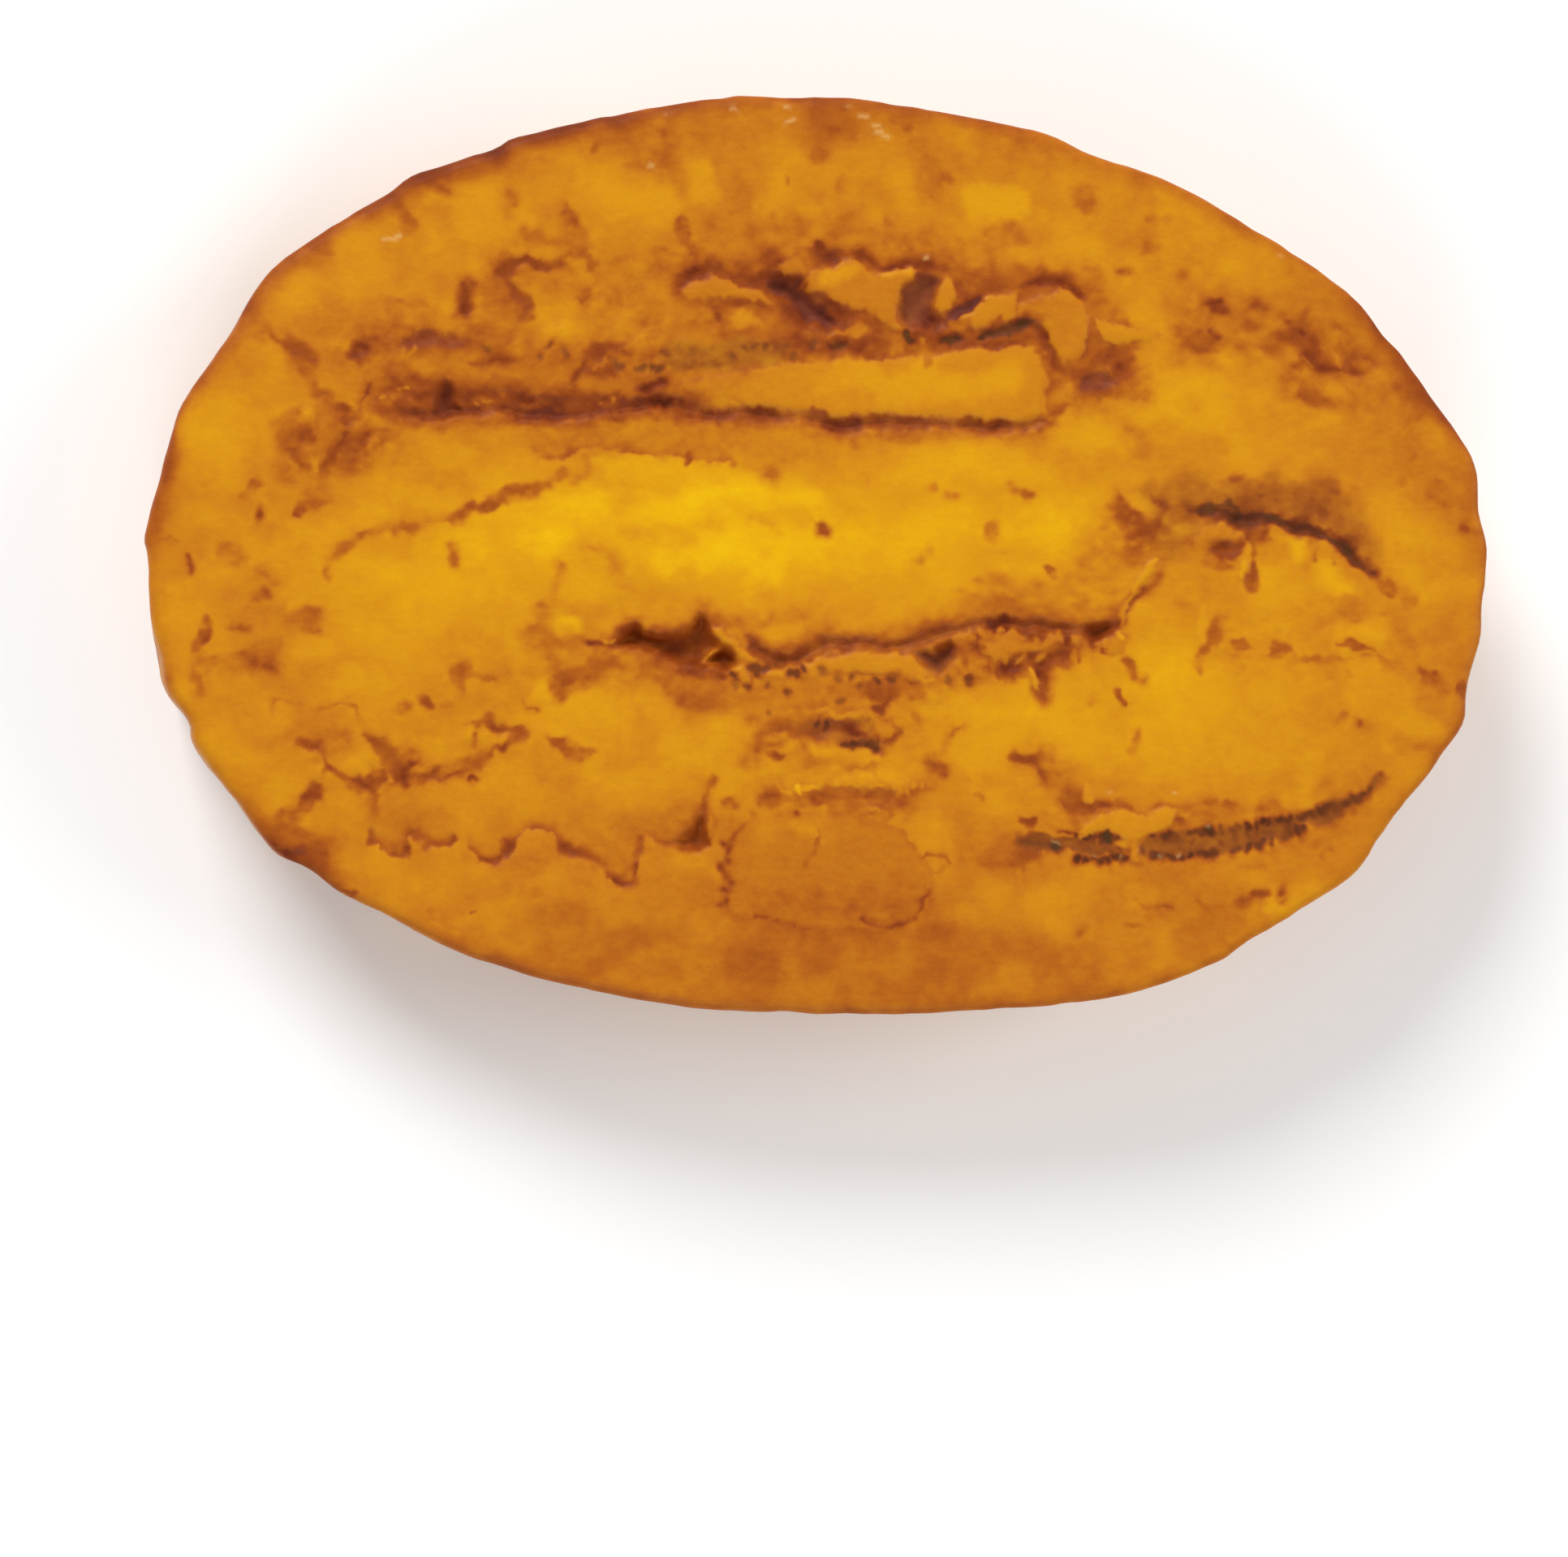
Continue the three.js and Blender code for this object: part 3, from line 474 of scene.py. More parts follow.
# Stains, clear patches, pits, flaps, dots and seeds give their tone first, and then how soft, deep, high
# or big they are. The points are an area's corners, or a path where a half width follows them.
FACE = FaceMap()
stain, clear, pit, flap, fade = FACE.stain, FACE.clear, FACE.pit, FACE.flap, FACE.fade
dots, seeds, crumble, glint = FACE.dots, FACE.seeds, FACE.crumble, FACE.glint

PLAIN_TONE = 0.41
# Mottled patches along the fibres: change of tone, sharpness, two wavelengths, seed.
MOTTLES = ((0.075, 0.35, 2.8, 1.3, 31), (0.045, 0.3, 1.1, 0.5, 33))
BROAD_STRETCH, FINE_STRETCH = 1.3, 1.2
# Faint streaks across the fibres: change of tone, wavelength, seed, and how much finer along x.
STREAK, STREAK_STRETCH = (0.02, 0.5, 35), 1.8


def draw_plain_flesh():
    """Soft regions, then mottled patches that run along the fibres."""
    x, y, toast = FACE.x, FACE.y, FACE.layer["toast"]
    toast[:] = PLAIN_TONE
    for *place, tone in REGIONS:
        toast += (tone - toast) * FACE.hill(*place)
    for change, edge, broad, fine, seed in MOTTLES:
        mottle = noise(x, y * BROAD_STRETCH, broad, seed) + 0.5 * noise(x, y * FINE_STRETCH, fine, seed + 1)
        toast += change * (smoothstep(-edge, edge, mottle) - 0.5)
    toast += noises(x * STREAK_STRETCH, y, STREAK)
    for *place, change in PATCHES:
        toast += change * FACE.hill(*place)


def draw_left_end():
    """The left end: a forked crack, two brown patches and small spots."""
    stain(0.56, 0.7, [(-24.6, 9.9), (-23.6, 9.4), (-22.6, 8.7)], 0.35)
    pit(0.7, 0.1, [(-24.4, 9.8, 0.08), (-23.7, 9.35, 0.18), (-23.1, 8.95), (-22.5, 8.7)], 0.26)
    stain(0.6, 0.25, [(-22.8, 8.2), (-22.6, 7.7)], 0.25)
    stain(0.62, 0.25, [(-22.5, 7.2), (-22, 6.95)], 0.25)
    stain(0.54, 0.5, [(-22.9, 6.6), (-24, 5.6), (-24, 4.4), (-23.6, 3.4), (-22.4, 3.6)], 0.35)
    stain(0.61, 0.4, [(-24.2, 4.6), (-23.9, 5.9), (-23.2, 6.2), (-22.6, 6), (-22.5, 5.1), (-22.8, 4.3),
        (-23.6, 4.3)])
    stain(0.69, 0.25, [(-23.1, 5.5), (-22.7, 5.1)], 0.18)
    stain(0.66, 0.25, [(-23.4, 4.4), (-23, 3.9), (-22.6, 3.8)], 0.16)
    stain(0.6, 0.5, [(-21.9, 5.2), (-20.2, 5.8), (-19, 5.3), (-19.3, 4.5), (-20.6, 3.7), (-22, 3.6)])
    stain(0.66, 0.35, [(-21.1, 5.6), (-20.7, 5.6), (-20.1, 5.3), (-20.1, 4.7), (-20.5, 4.1), (-22, 3.7)])
    pit(0.76, 0.15, [(-22, 3.9), (-21.4, 4.7), (-21, 5.5)], 0.08)
    flap(0.55, 0.07, [(-22.8, 4.2), (-22.2, 4.5), (-21, 5.5), (-21.2, 5.9), (-21.7, 6.2), (-21.8, 7.2),
        (-22.3, 7), (-22.4, 5)])
    flap(0.6, 0.1, [(-21.5, 5), (-21.1, 5.4), (-20.95, 5.7)], 0.1)
    pit(0.76, 0.15, [(-21.2, 6.4), (-21.1, 5.95)], 0.2)
    pit(0.8, 0.15, [(-20.4, 6.6), (-20.15, 7), (-19.9, 7.5)], 0.17)
    stain(0.62, 0.3, [(-19.9, 4.9), (-19.2, 5.1), (-18.9, 4.8)], 0.2)
    flap(0.51, 0.06, [(-20.1, 4.75), (-19.6, 5.05)], 0.12)
    stain(0.6, 0.3, [(-23, 2.1), (-22.4, 2.3), (-21.9, 2.45)], 0.25)
    pit(0.7, 0.1, [(-23.3, 1.75), (-23, 2.05)], 0.1)
    stain(0.58, 0.25, [(-22.6, 2.8), (-22, 3)], 0.14)
    stain(0.56, 0.2, [(-23.9, 3.4), (-23.5, 3.5)], 0.14)
    dots(0.78, 0.14, [(-24.85, 1.9), (-24.95, 1.75)])
    stain(0.62, 0.2, [(-25, 3.1)], 0.22)
    stain(0.53, 0.3, [(-25.6, 2.3)], 0.3)
    stain(0.53, 0.4, [(-26.5, 0.1), (-26.1, 0)], 0.3)
    stain(0.62, 0.12, [(-30, 0.2), (-29.5, 0.65), (-29.1, 0.85), (-28.7, 0.5)], 0.13)
    pit(0.72, 0.1, [(-28.2, -0.25), (-28, -0.85)], 0.16)
    stain(0.56, 0.2, [(-24.9, -0.9), (-24.2, -1.25)], 0.13)
    stain(0.56, 0.4, [(-25.9, -2.6), (-25.2, -2.2), (-24.8, -1.8)], 0.28)
    stain(0.66, 0.2, [(-25, -2), (-24.7, -1.8)], 0.16)
    pit(0.7, 0.1, [(-27.15, -3.1), (-27.25, -3.5), (-27.5, -3.9, 0.05)], 0.09)
    stain(0.62, 0.2, [(-27.4, -3.8), (-27.8, -4.2)], 0.14)
    stain(0.67, 0.25, [(-26.5, -3.2), (-26.1, -3.1), (-25.6, -3.2)], 0.2)
    stain(0.56, 0.4, [(-23.7, -2.8), (-22.9, -2.4), (-22.2, -2.5), (-22.3, -3.4), (-22.9, -3.5)])
    stain(0.62, 0.2, [(-23, -3.3), (-22.6, -3.45), (-22.2, -3.4)], 0.1)
    stain(0.6, 0.2, [(-23.1, -2.6), (-22.5, -2.6)], 0.1)
    stain(0.58, 0.45, [(-27.6, -4.8), (-26.6, -4.95), (-24.5, -4.5), (-24.2, -5.2)], 0.25)
    stain(0.68, 0.2, [(-26, -4.75), (-25.4, -4.6), (-24.9, -4.75), (-24.4, -5.1)], 0.14)
    stain(0.57, 0.25, [(-27.8, -5.4), (-27.6, -6.2)], 0.16)
    stain(0.6, 0.18, [(-24.3, -7.1), (-24.2, -6.55), (-23.7, -6.5), (-23.3, -6.6)], 0.12)
    crumble(0.05, 0.05, 0.33, 55, [(-24.2, 3.6), (-19.2, 3.8), (-18.6, 5.4), (-20.4, 7.6), (-22.4, 7.4),
        (-24.2, 6.2)])


def draw_left_chamber():
    """The burnt hollow at the left, and the band of stains above it."""
    stain(0.57, 0.7, [(-21.9, 8.8), (-20.8, 9.5), (-19, 10.1), (-17.4, 10.4), (-16, 10.4), (-14.2, 10.1),
        (-11, 9.2), (-11, 8.1), (-14, 8.3), (-17, 8.9), (-20, 8.5)])
    pit(0.8, 0.1, [(-20.9, 8.85), (-20.5, 9.1), (-20, 9.2)], 0.2)
    stain(0.67, 0.3, [(-20.2, 9.2), (-19.4, 9.3), (-18.4, 9.4)], 0.25)
    pit(0.74, 0.15, [(-18.6, 9.3), (-17.9, 9.45), (-17.1, 9.6), (-16.5, 9.6), (-15.6, 9.5)], 0.3, cool=0.15)
    for x, y in ((-18.6, 8.7), (-18.2, 8.9), (-19.3, 8.6), (-20.2, 8.3), (-17.8, 10), (-19.7, 8.5)):
        flap(0.51, 0.04, [(x - 0.12, y - 0.2), (x + 0.12, y + 0.2)], 0.07)
    stain(0.6, 0.45, [(-20.6, 7.2), (-19.6, 8), (-18.2, 8.2), (-17, 7.8), (-16.2, 8), (-15, 7.7),
        (-13.6, 7.9), (-12, 7.6), (-9, 7.6), (-6.5, 7.5), (-5, 6.9), (-5, 6.2), (-12, 6), (-19, 6),
        (-20.4, 6.6)])
    stain(0.67, 0.5, [(-20, 7.2), (-19.2, 7.9), (-18, 8), (-17.2, 7.6), (-17.2, 6.2), (-18.6, 6.3),
        (-19.8, 6.6)])
    pit(0.74, 0.15, [(-18, 7.1), (-16.6, 7.9), (-16, 7.3), (-14.8, 7.5), (-13.6, 7.5), (-12.6, 7),
        (-11, 7.1), (-8.3, 7), (-7.2, 7.1), (-6.2, 6.8), (-4.5, 6.5), (-4, 6.05), (-5.5, 5.95), (-7, 6.3),
        (-8.6, 6.3), (-11.5, 5.8), (-13, 5.95), (-14.5, 6.25), (-15.8, 6.2), (-16.5, 5.85), (-17.6, 6),
        (-18.1, 6.5)], skirt=0.5)
    stain(0.72, 0.3, [(-19.6, 6.5), (-18.6, 6.3), (-17.8, 6.2)], 0.12)
    pit(0.8, 0.45, [(-18.5, 6.35, 0.08), (-17.6, 6.2), (-16.8, 6.2), (-16.2, 6.25), (-15.6, 6.4),
        (-14.4, 6.5), (-13.3, 6.25), (-12.1, 6.1), (-10.9, 6.15), (-9.8, 6.35), (-8.8, 6.5),
        (-7.9, 6.65, 0.15), (-7, 6.75), (-6.3, 6.5), (-5.6, 6.25), (-4.9, 6.2), (-4, 6.15)], 0.21, cool=0.1,
        skirt=0.45)
    pit(0.57, 0.7, [(-17.2, 6.2), (-17, 7.4), (-16.6, 7.8), (-16.3, 7.4), (-16.2, 6.8), (-15.8, 6.3),
        (-16.3, 6)], cool=0.25)
    stain(0.8, 0.3, [(-16.4, 6.4), (-15.9, 6.3)], 0.28)
    pit(0.86, 0.3, [(-13, 6.15), (-12.2, 6.25), (-11.2, 6.15)], 0.26, cool=0.25)
    pit(0.9, 0.3, [(-7.2, 6.65), (-6.6, 6.6), (-6, 6.4)], 0.15)
    pit(0.88, 0.2, [(-13.1, 6.85), (-12.7, 6.9)], 0.1)
    stain(0.84, 0.25, [(-14.6, 7.2), (-14.2, 7)], 0.2)
    stain(0.77, 0.25, [(-18.8, 6.8), (-18.2, 7.1)], 0.25)
    stain(0.69, 0.3, [(-16, 7.25), (-14.8, 7.55), (-13.6, 7.5)], 0.2)
    fade(0.64, 0.25, 0.7, [(-19, 6.15), (-17, 5.8), (-15.5, 6.1), (-13, 5.9), (-11.5, 5.8), (-9, 6.1),
        (-7, 6.2), (-5, 5.9)])
    for x, y in (
            (-15.15, 6.75), (-14.75, 6.85), (-14.55, 6.9), (-18.75, 7.3), (-18.4, 7.35), (-19.5, 6.9),
            (-9.65, 6.7), (-9.2, 6.9)):
        flap(0.35, 0.03, [(x - 0.07, y), (x + 0.07, y)], 0.07)
    pit(0.86, 0.2, [(-7.9, 7.4), (-7.4, 7.5), (-6.95, 7.7)], 0.15)
    stain(0.62, 0.15, [(-6.9, 7.7), (-6.3, 8.3)], 0.1)
    crumble(0.05, 0.05, 0.33, 30, [(-22.6, 8), (-20, 8.2), (-16, 8.6), (-15.6, 10), (-20, 10), (-22.6, 9)])
    crumble(0.05, 0.05, 0.3, 12, [(-19.8, 6.4), (-6, 6.3), (-6, 7.4), (-12, 7.6), (-19.6, 7.8)], 0.3)


def draw_upper_left():
    """The crooked stains above the left chamber."""
    stain(0.5, 0.8, [(-14.5, 13.3), (-9, 13.5), (-6.5, 12.5), (-6.5, 10), (-9, 9.6), (-13, 9.8)])
    clear(0.36, 0.6, [(-12.6, 11.4), (-11, 10.9), (-10.6, 9.8), (-12, 9.5), (-12.8, 10.3)])
    stain(0.54, 0.5, [(-14.9, 12.3), (-14.2, 11.9), (-13.9, 10.6), (-14.9, 10.4)])
    stain(0.58, 0.4, [(-15.8, 12.2), (-15.95, 10.6)], 0.22)
    pit(0.82, 0.2, [(-16, 10.8), (-15.98, 11.5), (-15.75, 12), (-15.55, 11.9), (-15.75, 10.6)], skirt=0.35)
    stain(0.58, 0.5, [(-14.6, 12.9), (-13.6, 13), (-12, 12.9)], 0.35)
    pit(0.75, 0.15, [(-14.3, 12.5, 0.15), (-13.8, 12.7, 0.3), (-13.2, 13), (-12.6, 12.9), (-12.1, 12.75),
        (-11.5, 12.9)], 0.19)
    pit(0.72, 0.1, [(-14, 12.3), (-13.7, 11.8), (-13.4, 11.4), (-13.05, 11.2), (-13.05, 10.7),
        (-13.4, 10.1)], 0.14, cool=0.1, skirt=0.45)
    stain(0.58, 0.4, [(-13.9, 11.6), (-13.5, 10.4)], 0.15)
    stain(0.64, 0.18, [(-11.4, 13.25), (-10.8, 13.45), (-10.3, 13.35), (-10.2, 12.9), (-9.9, 13.1)], 0.15)
    stain(0.62, 0.12, [(-10.6, 11.35), (-10.2, 11.7), (-9.95, 12.1)], 0.12)
    stain(0.6, 0.2, [(-11.8, 11.9)], 0.22)
    stain(0.56, 0.2, [(-9.3, 13.2), (-8.7, 13.2)], 0.16)
    stain(0.58, 0.15, [(-9, 11.4), (-8.9, 11.1)], 0.12)
    stain(0.56, 0.35, [(-7.3, 12.6), (-7, 12)], 0.25)
    stain(0.55, 0.3, [(-8.4, 9), (-12.6, 8.6)], 0.2)
    stain(0.6, 0.5, [(-9.4, 8.2), (-8.6, 9.2), (-7.2, 9.4), (-6.8, 8.6), (-8, 7.8)])
    stain(0.68, 0.35, [(-10.9, 8), (-10.2, 8.4), (-9.4, 8.3), (-8.9, 8), (-10, 7.8)])
    stain(0.56, 0.5, [(-15.4, 8.3), (-13.6, 8.2), (-12, 8.2)], 0.25)
    stain(0.62, 0.5, [(-15, 9.3), (-13.8, 9.5), (-13, 9.3), (-12.8, 8.8)], 0.3)
    stain(0.62, 0.4, [(-10, 7.8), (-8, 7.9), (-6.6, 8.1)], 0.25)
    pit(0.74, 0.05, [(-15.5, 8.42), (-14.6, 8.55), (-14, 8.65), (-13.4, 8.6)], 0.06, skirt=0.25)
    stain(0.74, 0.25, [(-10.4, 8.7), (-10, 9.4), (-9.3, 9.5), (-8.5, 9.3), (-8.4, 8.9)])
    pit(0.8, 0.15, [(-10.9, 7.85), (-10.6, 8.2), (-10.3, 8.6)], 0.15)
    pit(0.74, 0.1, [(-10.3, 8.9), (-9.9, 9.2), (-9.3, 9.3), (-8.9, 9)], 0.17)
    for x, y in ((-9.9, 8.3), (-9.6, 8.5), (-8.5, 9.35)):
        flap(0.53, 0.04, [(x - 0.1, y - 0.15), (x + 0.1, y + 0.15)], 0.06)
    stain(0.66, 0.15, [(-7.9, 9.4), (-7.4, 9.6), (-7, 9.75)], 0.12)
    stain(0.66, 0.2, [(-6, 14.7), (-5.85, 14)], 0.15)
    stain(0.62, 0.25, [(-5.8, 13.8), (-5.3, 13.3)], 0.2)
    dots(0.66, 0.16, [(-14.7, 9.15), (-12.4, 8.75)], olive=0.3)
    dots(0.72, 0.12, [(-12, 9.25), (-11.25, 8.95), (-11.15, 8.8)], olive=0.25)
    dots(0.64, 0.14, [(-9, 8.35), (-8.75, 8.35)], olive=0.25, cool=0.2)
    crumble(0.05, 0.05, 0.33, 40, [(-15.8, 8.4), (-7, 8.2), (-6, 10), (-7.6, 12.8), (-13, 10.2),
        (-15.8, 10.2)])


def draw_upper_chamber():
    """The torn hollow across the top, with the flaps that hang over it and a row of seeds under it."""
    stain(0.55, 1, [(-6.8, 13.6), (-3, 13.9), (1, 14.5), (5, 14), (9, 13.1), (12.4, 12.5), (14.4, 9.5),
        (14.4, 7), (12, 6.4), (9, 9), (0, 8.6), (-6, 10)])
    stain(0.65, 0.45, [(-6.3, 12.9), (-4.6, 13.3), (-2, 13.4), (0, 13.8), (5, 13.2), (8.5, 12.5),
        (11.5, 12.3), (12.3, 11.2), (12.6, 9.6), (13.9, 9.3), (14.1, 7.2), (12, 6.9), (9.4, 9.3), (5, 8.8),
        (-1.6, 8.6), (-2.2, 10.2), (-3.2, 11.5), (-5.8, 11.6)])
    # the dark inside
    # Partly painted shadow: this dark line and the next are burnt and also darkened for the shade under the
    # overhanging ridge.
    pit(0.8, 0.2, [(-6.3, 11.8), (-5.9, 12.2), (-5.3, 12.55), (-4.8, 13), (-4.4, 12.85), (-3.8, 12.5)], 0.22)
    pit(0.78, 0.2, [(-3.8, 12.5), (-3.1, 12.2), (-2.4, 12.1)], 0.25)
    stain(0.72, 0.2, [(-2.6, 13.05), (-2, 13.3), (-1.4, 13.25)], 0.16)
    pit(0.79, 0.1, [(-4.6, 12.75), (-3.8, 12.4), (-3, 12.1), (-2.4, 12.2)], 0.24)
    pit(0.8, 0.05, [(-2.4, 12.6), (-1.9, 12.95), (-1.6, 13)], 0.16)
    pit(0.78, 0.2, [(-3.2, 12.2), (-2.2, 12.7), (-1.4, 12.6), (-0.6, 12.2), (0.4, 11.4), (1.7, 10.7),
        (1.2, 10), (0, 9.9), (-1, 10.2), (-2.4, 11.6)])
    pit(0.67, 0.8, [(-2.4, 11.9), (-1.9, 12.3), (-1.4, 12.4), (-1.2, 12.1), (-0.9, 12.3), (-0.7, 12.3),
        (-0.8, 11.8), (0.3, 11.1), (0.9, 10.4), (1, 10.15), (0.4, 10.1), (0, 10.3), (-0.5, 10.4),
        (-1.3, 11.3), (-1.8, 11.5)], cool=0.6, skirt=0.3)
    stain(0.76, 0.2, [(0.6, 11.1), (1.2, 10.9), (1.7, 10.75)], 0.2)
    # Partly painted shadow: the seam from here along the upper lip, and the flap edges to the right of it,
    # are burnt and also darkened for the shade under the overhanging lip.
    pit(0.8, 0.15, [(0, 13.8, 0.15), (0.3, 13.4, 0.25), (0.8, 13.2, 0.4), (1.3, 13.3), (1.8, 13.3, 0.25),
        (2.4, 13), (3, 12.8), (3.8, 12.85), (4.7, 12.9), (5.3, 12.8)], 0.2)
    pit(0.9, 0.25, [(0.5, 13.25), (0.8, 13.1)], 0.25, cool=0.1)
    pit(0.74, 0.1, [(1.2, 13.35), (1.9, 13.45)], 0.1)
    pit(0.8, 0.1, [(2.5, 12.95), (3.2, 12.8), (4, 12.85), (4.6, 12.9)], 0.14)
    pit(0.69, 0.15, [(5.3, 12.8), (5.8, 12.6), (6.1, 12.1), (6.5, 11.75), (7.1, 11.6), (7.8, 11.85),
        (8.6, 11.95), (9.3, 12)], 0.18)
    pit(0.84, 0.2, [(9.2, 12), (9.8, 12.1), (11.2, 11.9), (11.7, 11.5), (12, 11.2)], 0.2)
    fade(0.6, 0.9, 0.2, [(5.3, 12.9), (7, 12.1), (9.3, 12.2), (11.2, 12.1), (12.1, 11.4)])
    pit(0.56, 0.6, [(3.7, 11.8), (4.5, 12.5), (5.1, 12.4), (5.5, 12.2), (5.1, 11.3), (5, 10.9), (5.3, 10.6),
        (5.2, 10.2), (4, 10.2), (3.8, 10.8)], cool=0.55)
    pit(0.84, 0.25, [(4.9, 10.4), (5.5, 10.4)], 0.22, cool=0.2)
    pit(0.9, 0.3, [(5.6, 10.4), (6, 10.7), (6.8, 11.2), (7.2, 11.5)], 0.23, cool=0.6)
    stain(0.77, 0.25, [(-1.3, 9.7), (-0.6, 9.3), (0.4, 9.1), (1.6, 9.4), (2.6, 9.5)], 0.3)
    stain(0.77, 0.25, [(4, 9.8), (5, 9.4), (6.5, 9.3), (8, 9.4), (9.2, 9.6)], 0.3)
    stain(0.68, 0.2, [(-0.2, 8.8), (2, 8.95), (4.6, 9), (7, 9.2)], 0.12)
    pit(0.8, 0.15, [(9.6, 10.1, 0.15), (10, 9.7), (10.2, 9.3), (10.5, 9), (10.6, 8.5, 0.12)], 0.24)
    stain(0.68, 0.25, [(12, 11.2), (12.2, 10.2), (12.1, 9.3)], 0.2)
    stain(0.7, 0.2, [(12.1, 8.7), (12.6, 9.1), (13.2, 9), (13.8, 9.2), (14, 8.8), (13.5, 8.2), (13.5, 7.4),
        (12.6, 7), (11.7, 7), (12.1, 7.8)])
    pit(0.74, 0.2, [(11.6, 7.3), (12.1, 8.1), (12.8, 8.1), (13.4, 7.6), (12.8, 7.3)], cool=0.35)
    pit(0.78, 0.15, [(12.9, 8.9), (13.3, 8.7), (13.5, 8.2)], 0.2)
    stain(0.66, 0.3, [(10.4, 8), (10.5, 7), (10.3, 6.2), (11.2, 6.7)], 0.2)
    # the flaps
    flap(0.49, 0.1, [(-6.1, 11.6), (-5.6, 12.1), (-5, 12.4), (-4.5, 12.5), (-4, 12.3), (-3.4, 11.9),
        (-2.8, 11.85), (-2.4, 11.6), (-2.1, 11.1), (-4.2, 11.6), (-5, 11.5), (-5.7, 11.3)])
    stain(0.68, 0.15, [(-5.4, 11.35), (-4.2, 11.3), (-3.2, 11.3), (-2.3, 11.15)], 0.13)
    stain(0.72, 0.15, [(-4.4, 11), (-4.3, 10.7)], 0.13)
    stain(0.62, 0.15, [(-5.6, 10.9), (-5, 10.7), (-4.9, 10.3)], 0.1)
    stain(0.6, 0.15, [(-5.6, 10.1), (-4, 9.95), (-2.6, 10.2)], 0.1)
    clear(0.42, 0.2, [(-3.3, 10.6), (-2.7, 10.5)], 0.2)
    flap(0.51, 0.08, [(-1.7, 12.9), (-1.3, 13.2), (-0.9, 13.3), (-0.6, 13), (-0.6, 12.5), (-1.4, 12.4)])
    flap(0.48, 0.12, [(-0.7, 12.1), (-0.4, 12.7), (0.8, 12.75), (1.2, 13), (1.7, 13.05), (2.4, 12.5),
        (3.3, 12.7), (4.6, 12.75), (3.6, 11.6), (3.6, 10.4), (3.9, 10), (3.3, 10.1), (2.5, 10.6),
        (1.9, 10.85), (1.4, 11.2), (0.8, 11.3), (0.3, 11.7), (-0.1, 11.8), (-0.5, 11.75)])
    clear(0.34, 0.2, [(0.2, 12.2), (1.6, 12.7)], 0.2)
    clear(0.34, 0.2, [(2.9, 12.45), (4.1, 12.6)], 0.1)
    flap(0.43, 0.12, [(5.1, 11), (5.4, 11.6), (5.55, 12.2), (5.75, 12.5), (6.2, 11.5), (6, 11.1),
        (5.5, 10.85)])
    flap(0.43, 0.12, [(6.3, 10.5), (6.6, 10.9), (7.6, 11.5), (8.95, 11.6), (8.9, 10.4), (8.5, 10.3),
        (8.2, 10.6), (7.8, 10.2), (7.2, 10.1), (6.8, 10.2)])
    flap(0.47, 0.14, [(9, 11.2), (10.2, 11.4), (10.8, 11.75), (11.3, 11.6), (11.8, 11.1), (12.05, 10.6),
        (11.9, 9), (11.4, 8.5), (10.9, 8.6), (10.2, 9.8), (9.7, 10.3), (9.2, 10.5), (9, 10.5)])
    stain(0.55, 0.35, [(9.3, 11.2), (10.2, 11)], 0.25)
    flap(0.4, 0.08, [(12.35, 10.7), (12.9, 10.3), (14.6, 10), (15.2, 9.7), (13.2, 9.4), (12.7, 9.5),
        (12.5, 9.9)])
    flap(0.49, 0.06, [(0.3, 9.6), (1.7, 10.3), (2.2, 10), (1.8, 9.7)])
    flap(0.55, 0.06, [(5.5, 9.9), (6.2, 10.3), (6.8, 10.4), (6.6, 10), (5.9, 9.8)])
    clear(0.4, 0.4, [(14.3, 10.9), (14.9, 9.9), (14.8, 8.9)], 0.35, cover=0.7)
    flap(0.53, 0.04, [(3.2, 8.9), (3.3, 9.6), (3.75, 9.5), (3.8, 8.9)])
    flap(0.55, 0.04, [(4.4, 9.3), (4.5, 9.9), (4.8, 9.8), (4.75, 9.3)])
    flap(0.47, 0.06, [(10.9, 7.4), (11.2, 7.9), (11.5, 7.5), (11.3, 7.2)])
    for x, y in ((11.2, 8.5), (11.5, 8.4), (11, 8.3), (13, 8.1)):
        flap(0.6, 0.04, [(x - 0.12, y + 0.12), (x + 0.12, y - 0.12)], 0.06)
    # the seeds
    pit(0.92, 0.1, [(5.6, 9.55), (5.9, 9.5), (6.3, 9.6)], 0.13, olive=0.5, skirt=0.3)
    pit(0.88, 0.3, [(7.2, 9.7), (7.6, 9.8), (8.8, 10.05), (9.3, 10.3), (9.6, 10.3)], 0.2, olive=0.45,
        skirt=0.4)
    pit(0.92, 0.1, [(0.5, 9.25), (0.8, 9.25), (1.2, 9.25)], 0.12, olive=0.45, skirt=0.3)
    dots(0.9, 0.16, [(4.05, 9.7), (4.15, 9.55)], olive=0.5)
    seeds(0.97, 0.12, 0.42, [(7.3, 9.75), (8.2, 9.85), (9, 10.15)])
    stain(0.52, 0.4, [(-7.2, 8.2), (-1.5, 8.6), (-1.6, 9.6), (-4, 9.6), (-7, 9.3)], olive=0.2)
    stain(0.62, 0.2, [(-6.9, 8.4), (-5.6, 8.45), (-4.4, 8.5)], 0.18, olive=0.25)
    seeds(0.62, 0.17, 0.5, [(-6.1, 9.15), (-4.4, 9.1)], olive=0.3)
    seeds(0.7, 0.15, 0.52, [(-3.7, 8.95), (-3.2, 9.25), (-2.1, 9.3)], olive=0.35)
    seeds(0.74, 0.12, 0.3, [(-8, 8.3), (-7, 8.35)], olive=0.45)
    dots(0.7, 0.15, [(-6.9, 9), (-1.35, 9.3), (-1.1, 8.9), (-0.2, 9.4)], olive=0.3)
